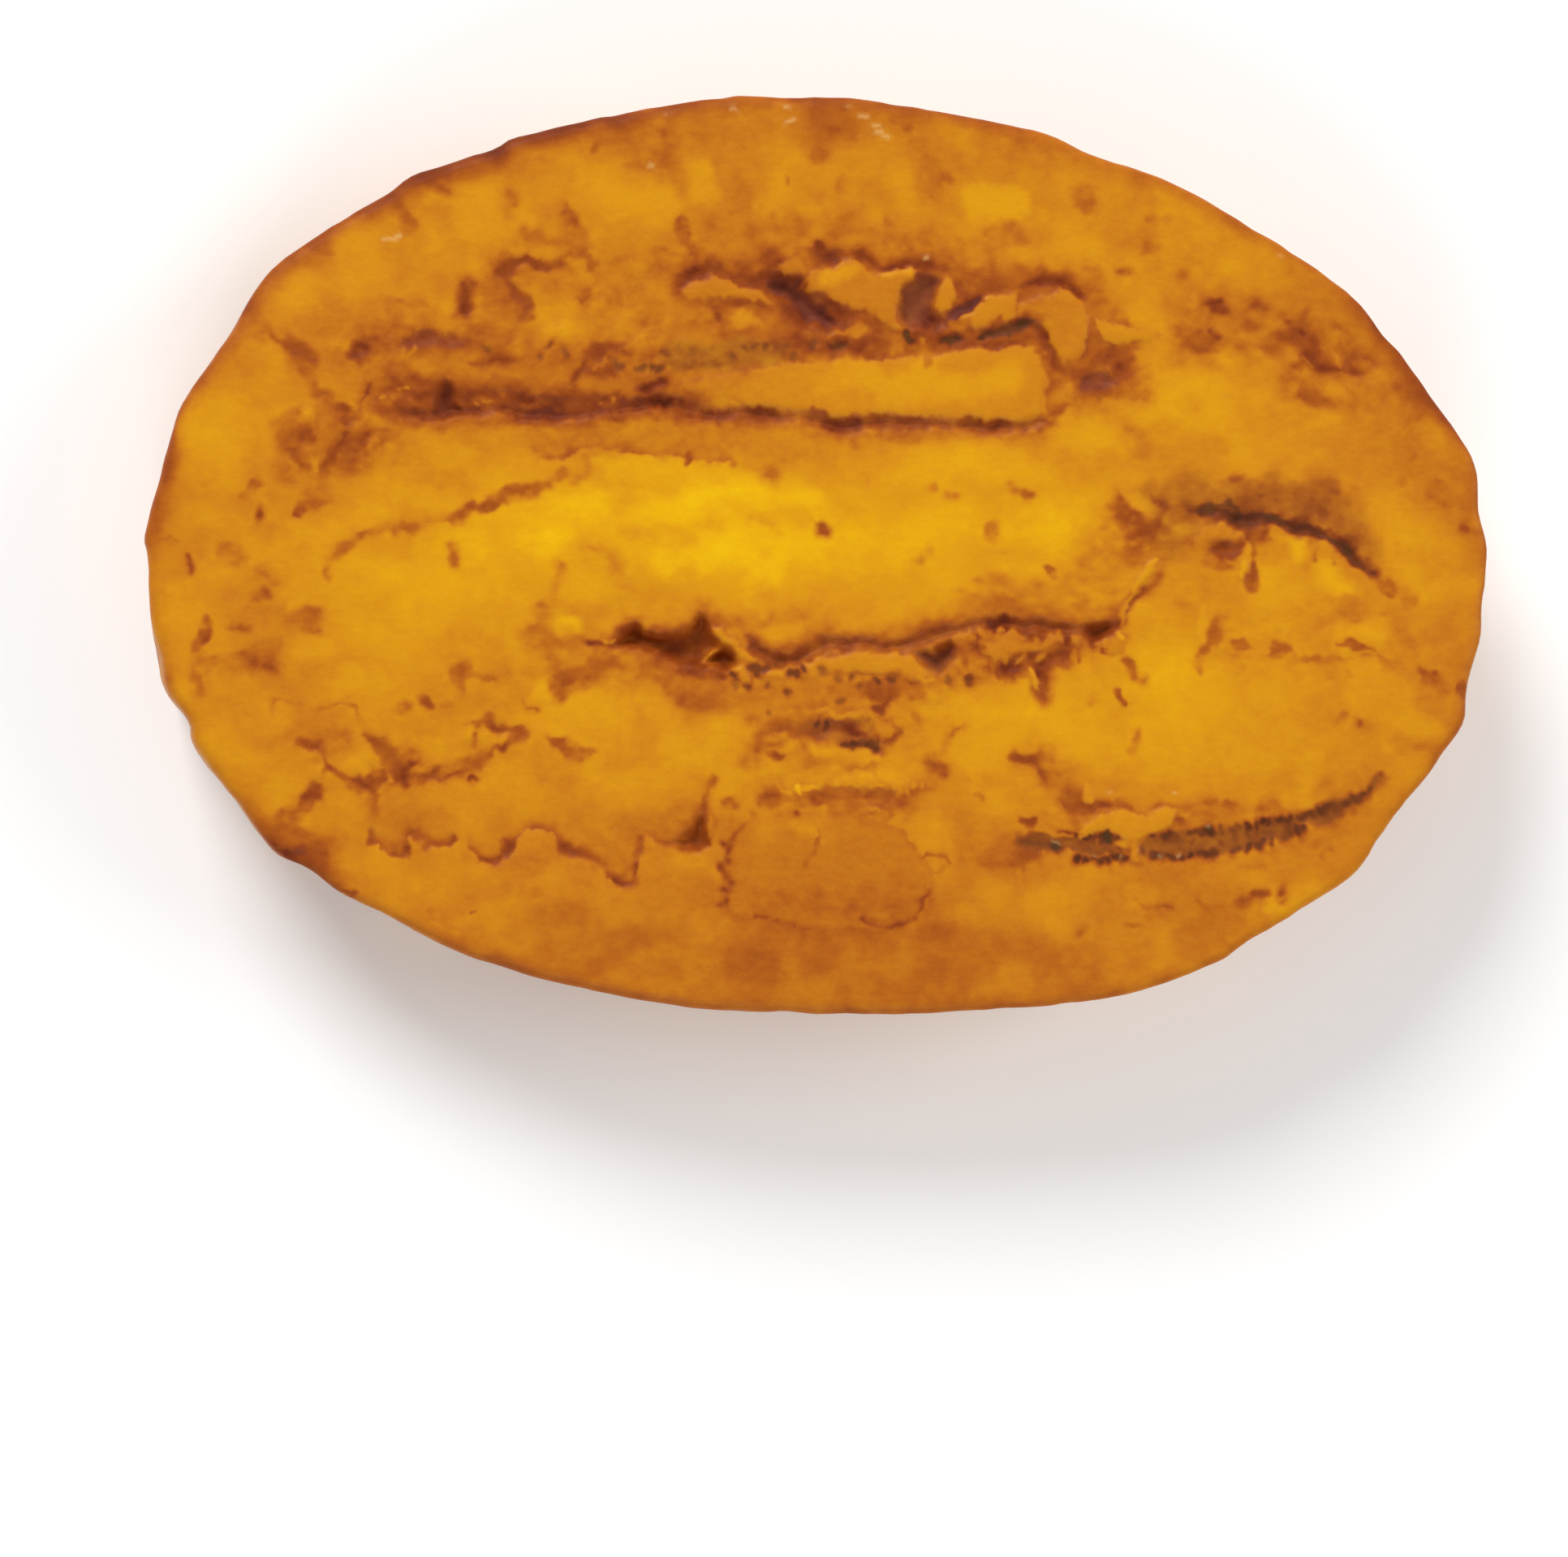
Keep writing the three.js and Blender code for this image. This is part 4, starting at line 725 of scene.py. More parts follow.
    crumble(0.05, 0.03, 0.3, 25, [(-6.2, 10), (-3.4, 10), (-1.6, 9), (9.6, 9.4), (9.4, 9.9), (2.4, 9.9),
        (-1.4, 10.8), (-2.4, 11.2), (-6.2, 11.3)], 0.25)
    crumble(0.04, 0.04, 0.38, 40, [(10.6, 7), (14.2, 7), (14.2, 9.4), (11, 9)], 0.4)


def draw_tongue():
    """The long smooth tongue below the seeds, and the seam under it."""
    stain(0.58, 0.5, [(-4, 6.5), (-1.5, 6.1), (1, 5.8), (4, 5.9), (8, 5.7), (10.4, 5.8)], 0.3)
    pit(0.69, 0.35, [(-4.2, 6.2, 0.2), (-3, 6.2), (-1.5, 6.15), (-0.4, 6.05), (0.4, 5.75), (1.4, 5.65),
        (2.6, 5.8), (4, 5.85), (5.4, 5.8), (6.6, 5.75), (7.6, 5.6), (8.8, 5.65), (9.8, 5.8),
        (10.4, 5.8, 0.1)], 0.28, cool=0.1, skirt=0.5)
    stain(0.75, 0.2, [(6.9, 5.65), (7.6, 5.55), (8.2, 5.6)], 0.12)
    stain(0.75, 0.2, [(-3.4, 6.2), (-1, 6.15)], 0.14)
    stain(0.8, 0.2, [(0.5, 5.7), (2, 5.75)], 0.14)
    fade(0.56, 0.2, 0.9, [(-2, 5.8), (1, 5.4), (4, 5.4), (8, 5.3), (10.6, 5.5)])
    flap(0.42, 0.09, [(-6.3, 7.3), (-5, 8), (0.5, 8.6), (5, 8.8), (9.3, 9.3), (9.8, 8.9), (10.1, 8.3),
        (10.3, 7.5), (10.2, 6.2), (8.6, 5.95), (7.5, 5.9), (5.6, 6.2), (4.5, 6.15), (3.5, 6.25), (1.7, 6.2),
        (1.2, 6), (0.6, 6.05), (0, 6.4), (-3, 6.5), (-3.8, 7)])
    stain(0.52, 0.7, [(-6, 7.6), (-3.6, 7.6)], 0.4)
    stain(0.46, 0.3, [(10.1, 9), (10.2, 7.5), (10.05, 6.4)], 0.1)
    clear(0.29, 0.8, [(0, 7.6), (5, 7.6), (8.5, 7.9)], 0.6)
    stain(0.7, 0.12, [(-0.2, 6.45), (0.1, 6.2), (0.5, 5.95)], 0.13)
    stain(0.5, 0.2, [(4.9, 9), (4.95, 8.4)], 0.08)


def draw_middle():
    """The bright middle, and the faint torn edges round it."""
    stain(0.49, 0.5, [(-13.5, 5.9), (-9, 5.9), (-4, 5.7), (-2.5, 5.2), (-3.6, 4.3), (-8, 4.7), (-12.8, 4.5)])
    clear(0.2, 0.35, [(-10.2, 4.2), (-8.5, 4.3), (-6, 4.25), (-4, 3.8), (-5, 3), (-9, 3.2)])
    fringe = [(-12.5, 4.3), (-11.4, 4.3), (-10.8, 4.6), (-9.9, 4.7), (-9, 4.6), (-8, 4.4), (-7.2, 4.55),
        (-6.5, 4.5), (-5.9, 4.4), (-5.2, 4.3), (-4.4, 4.1), (-3.7, 4)]
    fade(0.53, 1.1, 0.15, fringe, drop=0.04)
    fade(0.61, 0.4, 0.12, fringe)
    pit(0.76, 0.1, [(-5.78, 4.5), (-5.9, 4.1)], 0.05, skirt=0.15)
    stain(0.62, 0.15, [(-3.75, 4), (-3.85, 3.8)], 0.08)
    stain(0.56, 0.25, [(-11.7, 3.35), (-11.4, 3.6)], 0.1)
    stain(0.56, 0.4, [(-10.3, 4.2), (-10.4, 3.6), (-10.9, 3.1)], 0.16)
    stain(0.55, 0.35, [(-2.1, 3.7), (-2, 3.3)], 0.25)
    stain(0.47, 0.6, [(-2.8, 4.8), (-1, 4.5)], 0.35)
    stain(0.56, 0.2, [(1.8, 4.7)], 0.18)
    stain(0.54, 0.2, [(2.2, 3.4), (2.2, 3.1)], 0.1)
    stain(0.56, 0.2, [(5.05, 2.9)], 0.18)
    stain(0.5, 0.3, [(5.9, 2.5)], 0.25)
    stain(0.58, 0.25, [(8.8, 2.75), (9.4, 2.65)], 0.15)
    stain(0.5, 0.25, [(7.8, 1.2), (7.8, 0.8)], 0.2)
    stain(0.5, 0.2, [(8.3, 0.15)], 0.16)
    stain(0.46, 0.2, [(5.05, 0.1)], 0.14)
    stain(0.46, 0.2, [(4.5, -0.4)], 0.18)
    stain(0.52, 0.2, [(-10.3, 0.3), (-10, 0.05)], 0.12)
    stain(0.42, 0.6, [(-10.6, 0.3), (-9.6, 0.1), (-8.6, -1.4), (-7.7, -1.9)], 0.3)
    stain(0.3, 0.6, [(-8.6, 0.9), (-6.8, 1), (-5.2, 0.9), (-4.6, 1.2)], 0.25)
    stain(0.3, 0.5, [(-3, 1.6), (-1.8, 1.3), (-0.9, 1.4)], 0.3)
    stain(0.34, 0.6, [(-6.4, -2.2), (-5.2, -2), (-3, -2.4), (-1.8, -1.9)], 0.3)
    stain(0.28, 0.5, [(-8.6, 3.4), (-8.9, 2.2)], 0.3)
    for x, y, length, tone in (
            (-12.3, 0.8, 1.4, 0.02), (-10.4, 2.2, 1.2, 0.04), (-6.9, 1.9, 1.6, 0.04), (-3.9, 2.7, 2, 0),
            (-1, 2.6, 0.8, 0.04), (-4.2, 0.2, 2, 0.03), (-2.4, -0.9, 0.8, 0), (-6, -0.4, 1.6, 0.05)):
        clear(tone, 0.7, [(x - length / 2, y), (x + length / 2, y)], 0.35, cover=0.8)
    stain(0.3, 0.3, [(0.3, 1.05)], 0.3)
    dots(0.71, 0.2, [(0.3, 1.05)])
    stain(0.64, 0.15, [(10.2, -0.5), (10.5, -0.9)], 0.22)
    stain(0.52, 0.5, [(7.2, -2.7), (7.5, -1.7), (8.2, -1), (9, -1.8), (9.4, -2.6)])
    stain(0.47, 0.9, [(5.6, -2.8), (6.2, -1.6), (8, -1.2), (11, -1.2), (12.6, 1.6), (13.6, 1.6),
        (13.8, -1.4), (12.4, -2.8)])
    clear(0.34, 0.4, [(12.4, -1.9)], 0.3)
    # the torn edge on the left
    fade(0.5, 0.9, 0.25, [(-22, -0.9), (-21.2, 0), (-20.4, 0.7), (-18.6, 1.15), (-17, 1.35), (-15.8, 1.7),
        (-14.6, 2.3), (-13.4, 2.7), (-12.2, 2.95), (-11.2, 3.6)])
    stain(0.6, 0.25, [(-21.95, -0.75), (-21.85, -0.95)], 0.17)
    stain(0.6, 0.25, [(-21.5, -0.3), (-21.2, 0.1), (-20.9, 0.5)], 0.25)
    stain(0.6, 0.2, [(-20.4, 0.7), (-19.4, 0.9), (-18.6, 1.1), (-17.9, 1.25)], 0.15)
    stain(0.66, 0.2, [(-16.3, 1.5), (-15.8, 1.75), (-15.4, 2.2)], 0.17)
    stain(0.66, 0.2, [(-15, 1.9), (-14.6, 2.3), (-14.1, 2.5)], 0.2)
    stain(0.66, 0.25, [(-13.8, 2.6), (-13.4, 2.7), (-13, 2.75)], 0.17)
    stain(0.6, 0.25, [(-12.8, 2.8), (-12.1, 2.95)], 0.15)
    stain(0.57, 0.25, [(-16.4, 0.3), (-16.3, -0.5)], 0.15)
    stain(0.52, 0.25, [(-12.4, -2.2), (-12.3, -2.7)], 0.17)
    stain(0.46, 0.4, [(-11.5, -0.8), (-11.9, -2)], 0.2)


def draw_middle_chamber():
    """The long open seam below the middle, its deep hollow on the left and its torn end on the right."""
    stain(0.54, 0.6, [(-12.4, -3.7), (-10, -3.8)], 0.35)
    stain(0.6, 0.7, [(-10.8, -4.5), (-8, -4.6), (-4.4, -5.2), (-4, -6.6), (-5.6, -6.9), (-7, -6),
        (-8.8, -5.7), (-11.2, -5.6)])
    stain(0.54, 0.5, [(-12.4, -4), (-11.4, -5.4), (-9, -5.3)], 0.3)
    stain(0.62, 0.2, [(-11.5, -5.35), (-11, -5.6)], 0.17)
    stain(0.58, 0.25, [(-11.8, -5.9), (-11.6, -6.4)], 0.13)
    clear(0.26, 0.3, [(-12.9, -6.5), (-12.4, -6.2), (-12.1, -6.3)], 0.25)
    stain(0.58, 0.12, [(-13.2, -6.4), (-13.1, -6.8), (-12.6, -6.95)], 0.11)
    clear(0.16, 0.35, [(-11.4, -3), (-10.8, -3.1)], 0.3)
    stain(0.64, 0.3, [(-5.6, -6.9), (-4.8, -6.8)], 0.13)
    stain(0.5, 0.4, [(-5, -2.9), (-4, -3.1), (-3, -3.3), (-1.2, -2.9)], 0.25)
    pit(0.72, 0.9, [(-9.3, -3.95), (-8.8, -3.6), (-8.4, -3.2), (-7.9, -3.2), (-7.6, -3.5), (-6.8, -3.6),
        (-6, -3.55), (-5.6, -3.1), (-5.35, -2.5), (-5.1, -2.6), (-4.7, -3.7), (-4.2, -4.2), (-3.7, -4.5),
        (-3.6, -4.9), (-4, -5.1), (-4.5, -5), (-5.4, -5.1), (-6.2, -5), (-7.5, -4.3)], skirt=0.9)
    stain(0.8, 0.3, [(-6, -5.3), (-5, -5.3), (-4.2, -5.5)], 0.25)
    stain(0.8, 0.4, [(-6.6, -4.2), (-5.4, -4.3)], 0.3)
    pit(0.76, 0.1, [(-9.8, -4.15), (-9, -4), (-8.4, -3.9)], 0.15)
    pit(0.92, 0.1, [(-10.2, -4), (-9.8, -3.95)], 0.1)
    flap(0.35, 0.04, [(-9.6, -3.8), (-9.4, -3.85)], 0.09)
    flap(0.35, 0.04, [(-9.2, -3.85), (-9.05, -3.7)], 0.09)
    # the seam to the right of it
    stain(0.56, 0.7, [(-3.4, -3.7), (-2, -4.3), (0, -3.7), (2, -3.6), (8, -2.8), (13, -2.8)], 0.2)
    stain(0.47, 0.2, [(-1.6, -2.8), (0, -2.75), (1, -3)], 0.1)
    stain(0.6, 0.5, [(-3.2, -4.8), (-0.5, -5.2), (5, -5.8), (8.5, -5.6), (9.6, -5), (12, -4.3), (12.8, -3.4),
        (6, -3.3), (0.6, -3.9), (-2, -4.6)])
    pit(0.71, 0.4, [(-3.4, -3.6), (-3, -4), (-2, -4.6), (-1.5, -4.8), (-1, -4.7), (0, -4.1), (0.6, -3.9),
        (3.6, -4.1), (6, -3.35), (7, -3.15), (8.5, -3.1), (11.3, -3.4), (12, -3.4), (12.6, -3.3),
        (13.3, -3.1)], 0.24, cool=0.12, skirt=0.7)
    stain(0.95, 0.25, [(7.8, -3.35), (8.3, -3.25)], 0.2)
    pit(0.79, 0.6, [(12.1, -3.2), (12.9, -3), (13.45, -3.1), (13.1, -3.6), (12.2, -4), (11.9, -3.6)])
    stain(0.74, 0.15, [(9, -3.3), (10.2, -3.4), (10.2, -3.8), (9.5, -3.8)])
    pit(0.57, 0.7, [(4.3, -4.4), (4.8, -4.2), (5.2, -4.3), (5.7, -4.2), (5.95, -3.9), (6.2, -4.3), (6, -4.9),
        (5.4, -5.45), (4.8, -5)], cool=0.55)
    pit(0.79, 0.6, [(5.5, -4.35), (5.95, -4.15)], 0.2)
    pit(0.76, 0.2, [(8.2, -4.8), (8.7, -4.6), (10.5, -4.35), (11.2, -4.4), (11.3, -4.8), (10.5, -4.9),
        (10.25, -5.3), (10.3, -6.1), (10.1, -6.5), (9.8, -6.2), (9.85, -5.1), (9.4, -5), (9, -5.3),
        (8.4, -5.3)])
    pit(0.84, 0.2, [(8.4, -4.95), (8.9, -5.1)], 0.2)
    pit(0.78, 0.15, [(11, -3.5), (11.15, -3.8), (11.2, -4.2)], 0.14)
    pit(0.8, 0.1, [(7.1, -3.7), (7.2, -4.4)], 0.1)
    # flaps and shreds
    flap(0.41, 0.16, [(-4.75, -3.2), (-4.4, -3.3), (-4.2, -3.6), (-3.8, -3.8), (-3.5, -4.1), (-2.7, -4.6),
        (-2.75, -4.85), (-3.2, -4.9), (-4, -4.1), (-4.5, -3.8)])
    flap(0.47, 0.04, [(-5.1, -4.8), (-4.7, -4.5), (-4.3, -4.3)], 0.08)
    flap(0.41, 0.12, [(-4, -5.1), (-3.5, -5), (-3.1, -4.8), (-3.15, -5.4), (-3, -5.7), (-3.4, -5.7)])
    flap(0.41, 0.1, [(-2.9, -5.3), (-1.6, -5.1), (0.4, -4.5), (1.5, -4.4), (3.5, -4.4), (4.2, -4.5),
        (4.4, -4.9), (5, -5.5), (4.3, -5.6), (3.4, -5.3), (0.4, -5.2), (-0.6, -5.5), (-1.8, -5.6)])
    flap(0.31, 0.12, [(4.4, -5.5), (4.9, -5.75), (5.2, -5.6)], 0.14)
    flap(0.47, 0.1, [(7.3, -3.75), (7.6, -4), (8.8, -3.4), (9, -3.9), (9.6, -4), (10.2, -3.9), (10.9, -3.6),
        (10.8, -4), (9.5, -4.4), (8.6, -4.5), (7.8, -4.7), (7.4, -4.4)])
    flap(0.49, 0.06, [(6.4, -3.55), (6.9, -3.7)], 0.15)
    stain(0.88, 0.2, [(7.8, -3.15), (8.4, -3.1)], 0.16)
    flap(0.49, 0.08, [(11.4, -3.6), (11.8, -3.7), (11.7, -4.1), (11.4, -4.2)])
    flap(0.45, 0.08, [(12.9, -4.4), (13, -3.8), (13.3, -3.6), (13.6, -3.7), (13.5, -4.3)])
    flap(0.25, 0.1, [(13.4, -3.55), (13.5, -3.75)], 0.11)
    for x, y, length, lean in (
            (6.2, -3.7, 0.35, 0.1), (6.6, -3.55, 0.3, 0.15), (7.35, -3.5, 0.3, -0.1),
            (8.05, -3.55, 0.4, 0.15), (8.5, -3.45, 0.3, 0.1), (8.9, -3.6, 0.35, -0.15),
            (9.7, -3.9, 0.3, 0.1), (10.3, -3.75, 0.35, 0.15), (10.9, -3.75, 0.3, -0.1),
            (11.5, -4.5, 0.35, 0.1), (12.2, -4.2, 0.3, 0.15), (12.6, -4.1, 0.3, -0.1),
            (9.1, -4.75, 0.3, 0.15), (10, -4.6, 0.25, 0.1), (8.3, -4.6, 0.3, -0.1), (7, -5, 0.3, 0.1),
            (5.9, -5.5, 0.25, 0.15)):
        flap(0.5, 0.04, [(x - lean, y - length / 2), (x + lean, y + length / 2)], 0.11)
    for x, y, length in (
            (6.9, -4.1, 0.5), (7.6, -4.9, 0.4), (6.5, -4.9, 0.4), (11.7, -4.5, 0.4), (12.7, -4.3, 0.35),
            (8.1, -5.5, 0.3)):
        stain(0.7, 0.12, [(x, y + length / 2), (x + 0.05, y - length / 2)], 0.09)
    crumble(0.05, 0.04, 0.3, 20, [(-4, -5), (4.6, -5.4), (8, -4.9), (12.6, -4), (12.8, -4.8), (9.6, -5.6),
        (5, -6.8), (-2, -6.6)], 0.3)
    flap(0.35, 0.12, [(9.6, -5.1), (9.65, -5.5), (9.7, -6.1)], 0.14)
    stain(0.6, 0.25, [(12.9, -2.8), (13.6, -2.25), (14.2, -1.7)], 0.17)
    stain(0.62, 0.4, [(14.2, -2.3), (14.8, -1.7), (15.1, -1.1), (15.4, -0.3)], 0.2)
    pit(0.71, 0.12, [(13.6, -2.95), (13.9, -2.5), (14.3, -2.1), (14.7, -1.6, 0.08)], 0.13)
    flap(0.41, 0.14, [(13.5, -3.2), (13.6, -2.7), (13.9, -2.2), (14.3, -1.8), (14.5, -1.6)], 0.12)
    pit(0.64, 0.1, [(13.7, -4.7, 0.22), (14, -5, 0.3), (14.3, -5.5, 0.08)], 0.25)
    stain(0.68, 0.1, [(13.5, -6.2), (13.65, -6.7)], 0.12)
    stain(0.5, 0.2, [(12.35, -6.4), (12.3, -6.7)], 0.1)
    stain(0.52, 0.15, [(14.4, -7.8), (14.25, -8.4), (14, -8.9)], 0.08)
    # the seeds below it
    seeds(0.85, 0.16, 0.32, [(-2.9, -5.05), (-2.2, -5.1)])
    dots(0.92, 0.16, [(-1.25, -5.3), (-0.95, -5.27), (-0.65, -5.05)], olive=0.3)
    dots(0.7, 0.15, [(-1.85, -4.95), (0.2, -5.3), (0.85, -5.55), (1.55, -5.5), (-1.35, -6.1), (5.85, -5.65)],
        olive=0.3)
    dots(0.84, 0.17, [(2.7, -5.7), (3.3, -5.6), (-3.1, -5.95), (6.7, -5.65)], olive=0.3)
    dots(0.84, 0.13, [(-3.8, -5.35), (-3.65, -5.5)], olive=0.3)
    dots(0.64, 0.13, [(-3.6, -5.9), (-2.25, -5.85), (0.95, -6.6), (-2.2, -7.1), (1.9, -5.9)], olive=0.3)


def draw_lower_middle():
    """The small seed cluster and the split flake below the seam."""
    stain(0.5, 0.5, [(-4, -6), (1.6, -5.8), (1.8, -7), (-3, -7.6)])
    stain(0.68, 0.3, [(2, -5.6), (3.5, -5.4), (3.7, -5.9), (3.6, -6.3), (3.3, -6.6), (2, -6.5)])
    stain(0.6, 0.35, [(3.8, -5.7), (4.7, -5.9), (4.7, -6.4), (4, -6.5)])
    stain(0.57, 0.4, [(-0.3, -5.8), (0.6, -5.6), (0.9, -6.3), (0.3, -6.7), (-0.3, -6.5)])
    pit(0.75, 0.1, [(2.4, -6.8), (3, -6.9), (3.35, -6.5)], 0.18)
    stain(0.62, 0.15, [(-1.2, -7), (-0.5, -6.8), (0.2, -6.6)], 0.11)
    stain(0.62, 0.3, [(-2.7, -8.9), (-2.3, -8), (-1.8, -7.7), (-1.1, -7.6)], 0.28)
    pit(0.66, 0.1, [(-2.2, -8.1), (-1.8, -7.75), (-1.2, -7.65)], 0.15)
    stain(0.55, 0.5, [(-3.2, -9.2), (-2.7, -8.2), (-1.8, -7.8), (-1.9, -8.6), (-2.6, -9.3)])
    pit(0.62, 0.1, [(-0.2, -7.5), (1.2, -7.5), (1.7, -7.3), (2.3, -7.4), (2.5, -7.8), (2.4, -8.1),
        (2.8, -8.3), (3.1, -8.6), (2.9, -8.9), (2.5, -8.8), (2.3, -8.5), (1.1, -8.5), (0.8, -8.2),
        (-0.8, -8.2), (-1.1, -7.9)], olive=0.12)
    pit(0.86, 0.15, [(1.2, -7.75), (1.8, -7.95), (2.2, -8.2)], 0.2)
    seeds(0.97, 0.11, 0.36, [(0.15, -7.55), (1.1, -7.55)])
    seeds(0.98, 0.16, 0.36, [(1.3, -8.45), (2.3, -8.4), (2.85, -8.8)])
    stain(0.72, 0.15, [(2.7, -7.3), (3.4, -7.35), (3.75, -7.9), (3.4, -8.4), (2.9, -8.5)], 0.15)
    flap(0.45, 0.06, [(2.6, -7.6), (3.1, -7.4), (3.5, -7.7), (3.5, -8.2), (3, -8.3), (2.6, -8)])
    flap(0.43, 0.06, [(-0.7, -7.25), (0.3, -7.05), (1, -7.3), (2, -7.1), (2.5, -7.1)], 0.12)
    flap(0.43, 0.04, [(-1.9, -8), (-1.5, -8.1), (-1.6, -8.4)], 0.12)
    stain(0.72, 0.12, [(-2.1, -9), (-1.8, -9.15), (-1.5, -9.15)], 0.13)
    stain(0.58, 0.12, [(-0.75, -8.5), (-0.55, -8.9), (-0.3, -9.2)], 0.09)
    clear(0.34, 0.25, [(0, -8.85), (2.2, -8.9)], 0.18)
    stain(0.6, 0.15, [(1.1, -9.5), (1.4, -9.75), (1.9, -9.7), (2.6, -9.45), (2.85, -9.4)], 0.1)
    stain(0.58, 0.15, [(2.6, -9.5), (2.5, -9.95)], 0.08)
    stain(0.53, 0.2, [(4.5, -7.6), (4.3, -7.2)], 0.06)
    # the split flake
    stain(0.56, 0.45, [(-2.4, -11.1), (3.2, -11.8), (5, -11.2), (4.8, -10.5), (0, -10.4), (-2.2, -10.5)])
    pit(0.65, 0.1, [(-2.4, -11), (-2.3, -10.6), (-1.9, -10.5), (-1.6, -10.8), (-1.2, -10.9), (-0.3, -10.9),
        (0.5, -10.4), (1.1, -10.4), (1.6, -10.6), (2.2, -10.7), (2.8, -10.55), (3.9, -10.7), (4.1, -11.1),
        (3.5, -11.3), (3.2, -11.6), (2.4, -11.3), (1.6, -11.3), (1.2, -11.05), (0, -11.2), (-0.6, -10.95),
        (-1.4, -11.1), (-2, -11.1)], skirt=0.25)
    stain(0.74, 0.15, [(-2.2, -10.7), (-1.9, -10.7)], 0.15)
    stain(0.76, 0.15, [(0, -11), (0.2, -11.1)], 0.15)
    stain(0.74, 0.15, [(1.5, -10.95), (2.6, -10.8), (3.6, -10.9), (3.8, -11.1)], 0.13)
    stain(0.7, 0.2, [(3.8, -10.7), (4.6, -10.6), (5.2, -10.4)], 0.15)
    # Partly painted highlight: the bright yellow upper edge of the flake and its brightest fleck are lighter
    # where the raised edge catches the light.
    flap(0.21, 0.08, [(-1.6, -10.62), (-0.9, -10.55), (-0.3, -10.45), (0.4, -10.2)], 0.09)
    flap(0.11, 0.1, [(-0.85, -10.45), (-0.85, -10.7)], 0.15)
    flap(0.35, 0.06, [(0.4, -10.25), (1.2, -10.3), (2, -10.5), (2.8, -10.4), (3.5, -10.45)], 0.08)
    flap(0.45, 0.04, [(1.9, -11.35), (2.6, -11.45), (3.1, -11.8)], 0.09)
    for x, y, length in (
            (3.3, -10.5, 0.2), (3.7, -10.4, 0.25), (4, -10.5, 0.3), (4.35, -10.3, 0.3), (4.7, -10.35, 0.25)):
        flap(0.37, 0.06, [(x, y + length / 2), (x + 0.06, y - length / 2)], 0.05)
    pit(0.68, 0.1, [(5.2, -9.3), (5.5, -9.6), (5.7, -9.8)], 0.25)
    stain(0.59, 0.25, [(6.6, -7.75), (6.1, -7.95), (5.75, -8.5), (5.6, -9)], 0.1)
    stain(0.6, 0.2, [(7.1, -10.9), (7.4, -10.95)], 0.18)
    # the raised square patch
    stain(0.62, 0.2, [(-4.3, -11.2), (-3.8, -11.1), (-3.6, -11.4)], 0.16)
    stain(0.6, 0.12, [(-3, -11.7)], 0.1)
    flap(0.52, 0.04, [(-3.5, -12.2), (-4, -13), (-4.05, -13.7), (-3.9, -14.6), (-4.1, -15.6), (-3.9, -16),
        (-3.4, -16.2), (-1.8, -16.35), (0, -16.8), (2.6, -16.9), (3.4, -16.7), (4.2, -16.35), (4.7, -16),
        (5.2, -15), (4.6, -13.6), (3.6, -12.4), (1.5, -11.7), (-1.5, -11.6)])
    clear(0.42, 0.6, [(-2.2, -12.3), (1.4, -12.3)], 0.35, cover=0.7)
    clear(0.32, 0.5, [(-1.1, -12.1), (-0.4, -12.3)], 0.3, cover=0.8)
    stain(0.6, 1.4, [(-3.4, -15.4), (4.4, -15.4), (3.6, -16.7), (-2.8, -16.2)])
    stain(0.66, 0.7, [(0.1, -15.7)], 0.5)
    pit(0.7, 0.05, [(-3.4, -12.2), (-3.75, -12.6), (-3.95, -13), (-4.05, -13.6)], 0.08, skirt=0.3)
    dots(0.78, 0.1, [(-4.2, -13), (-4, -13.3), (-4, -13.65), (-4.35, -14.05), (-4.1, -14.4), (-3.85, -14.7),
        (-4.15, -15), (-4.3, -15.65), (-4.05, -15.5)])
    pit(0.7, 0.05, [(-4.25, -13.9), (-4.1, -14.3), (-3.85, -14.8), (-4.05, -15.2)], 0.13, skirt=0.3)
    pit(0.68, 0.05, [(-4.25, -15.6), (-4, -15.5)], 0.1, skirt=0.2)
    stain(0.62, 0.15, [(-3.9, -16), (-3.5, -16.2), (-3.1, -16.2)], 0.06)
    fade(0.76, 0.45, 0.1, [(-3, -16.15), (-2.2, -16.3), (-1.4, -16.45), (-0.9, -16.6)], drop=0.05)
    fade(0.66, 0.3, 0.1, [(-1.4, -16.6), (0.2, -16.85), (1.6, -16.9), (2.7, -16.9)])
    fade(0.77, 0.5, 0.1, [(1.8, -16.3), (2.2, -16.65), (3.2, -16.75), (3.7, -16.55), (4.3, -16.35),
        (4.7, -16), (4.85, -15.5), (5.15, -15.05)], drop=0.05)
    pit(0.68, 0.05, [(0, -12.3), (-0.15, -13.1), (-0.5, -13.8)], 0.04, skirt=0.12)
    dots(0.82, 0.07, [(-0.95, -11.6)])
    stain(0.6, 0.5, [(6.6, -13.1), (7.8, -13.2), (9.4, -13.7), (7.8, -14), (6.6, -13.7)])
    crumble(0.05, 0.04, 0.3, 10, [(-3, -7), (4.4, -7), (5.4, -9.6), (4.8, -11.4), (-2.6, -11.4), (-3, -9)])
    stain(0.66, 0.1, [(4.7, -13.6), (5.3, -13.5), (5.7, -13.5), (5.95, -13.95)], 0.05)
    stain(0.54, 0.25, [(5.1, -14.2), (5.5, -14.3)], 0.14)


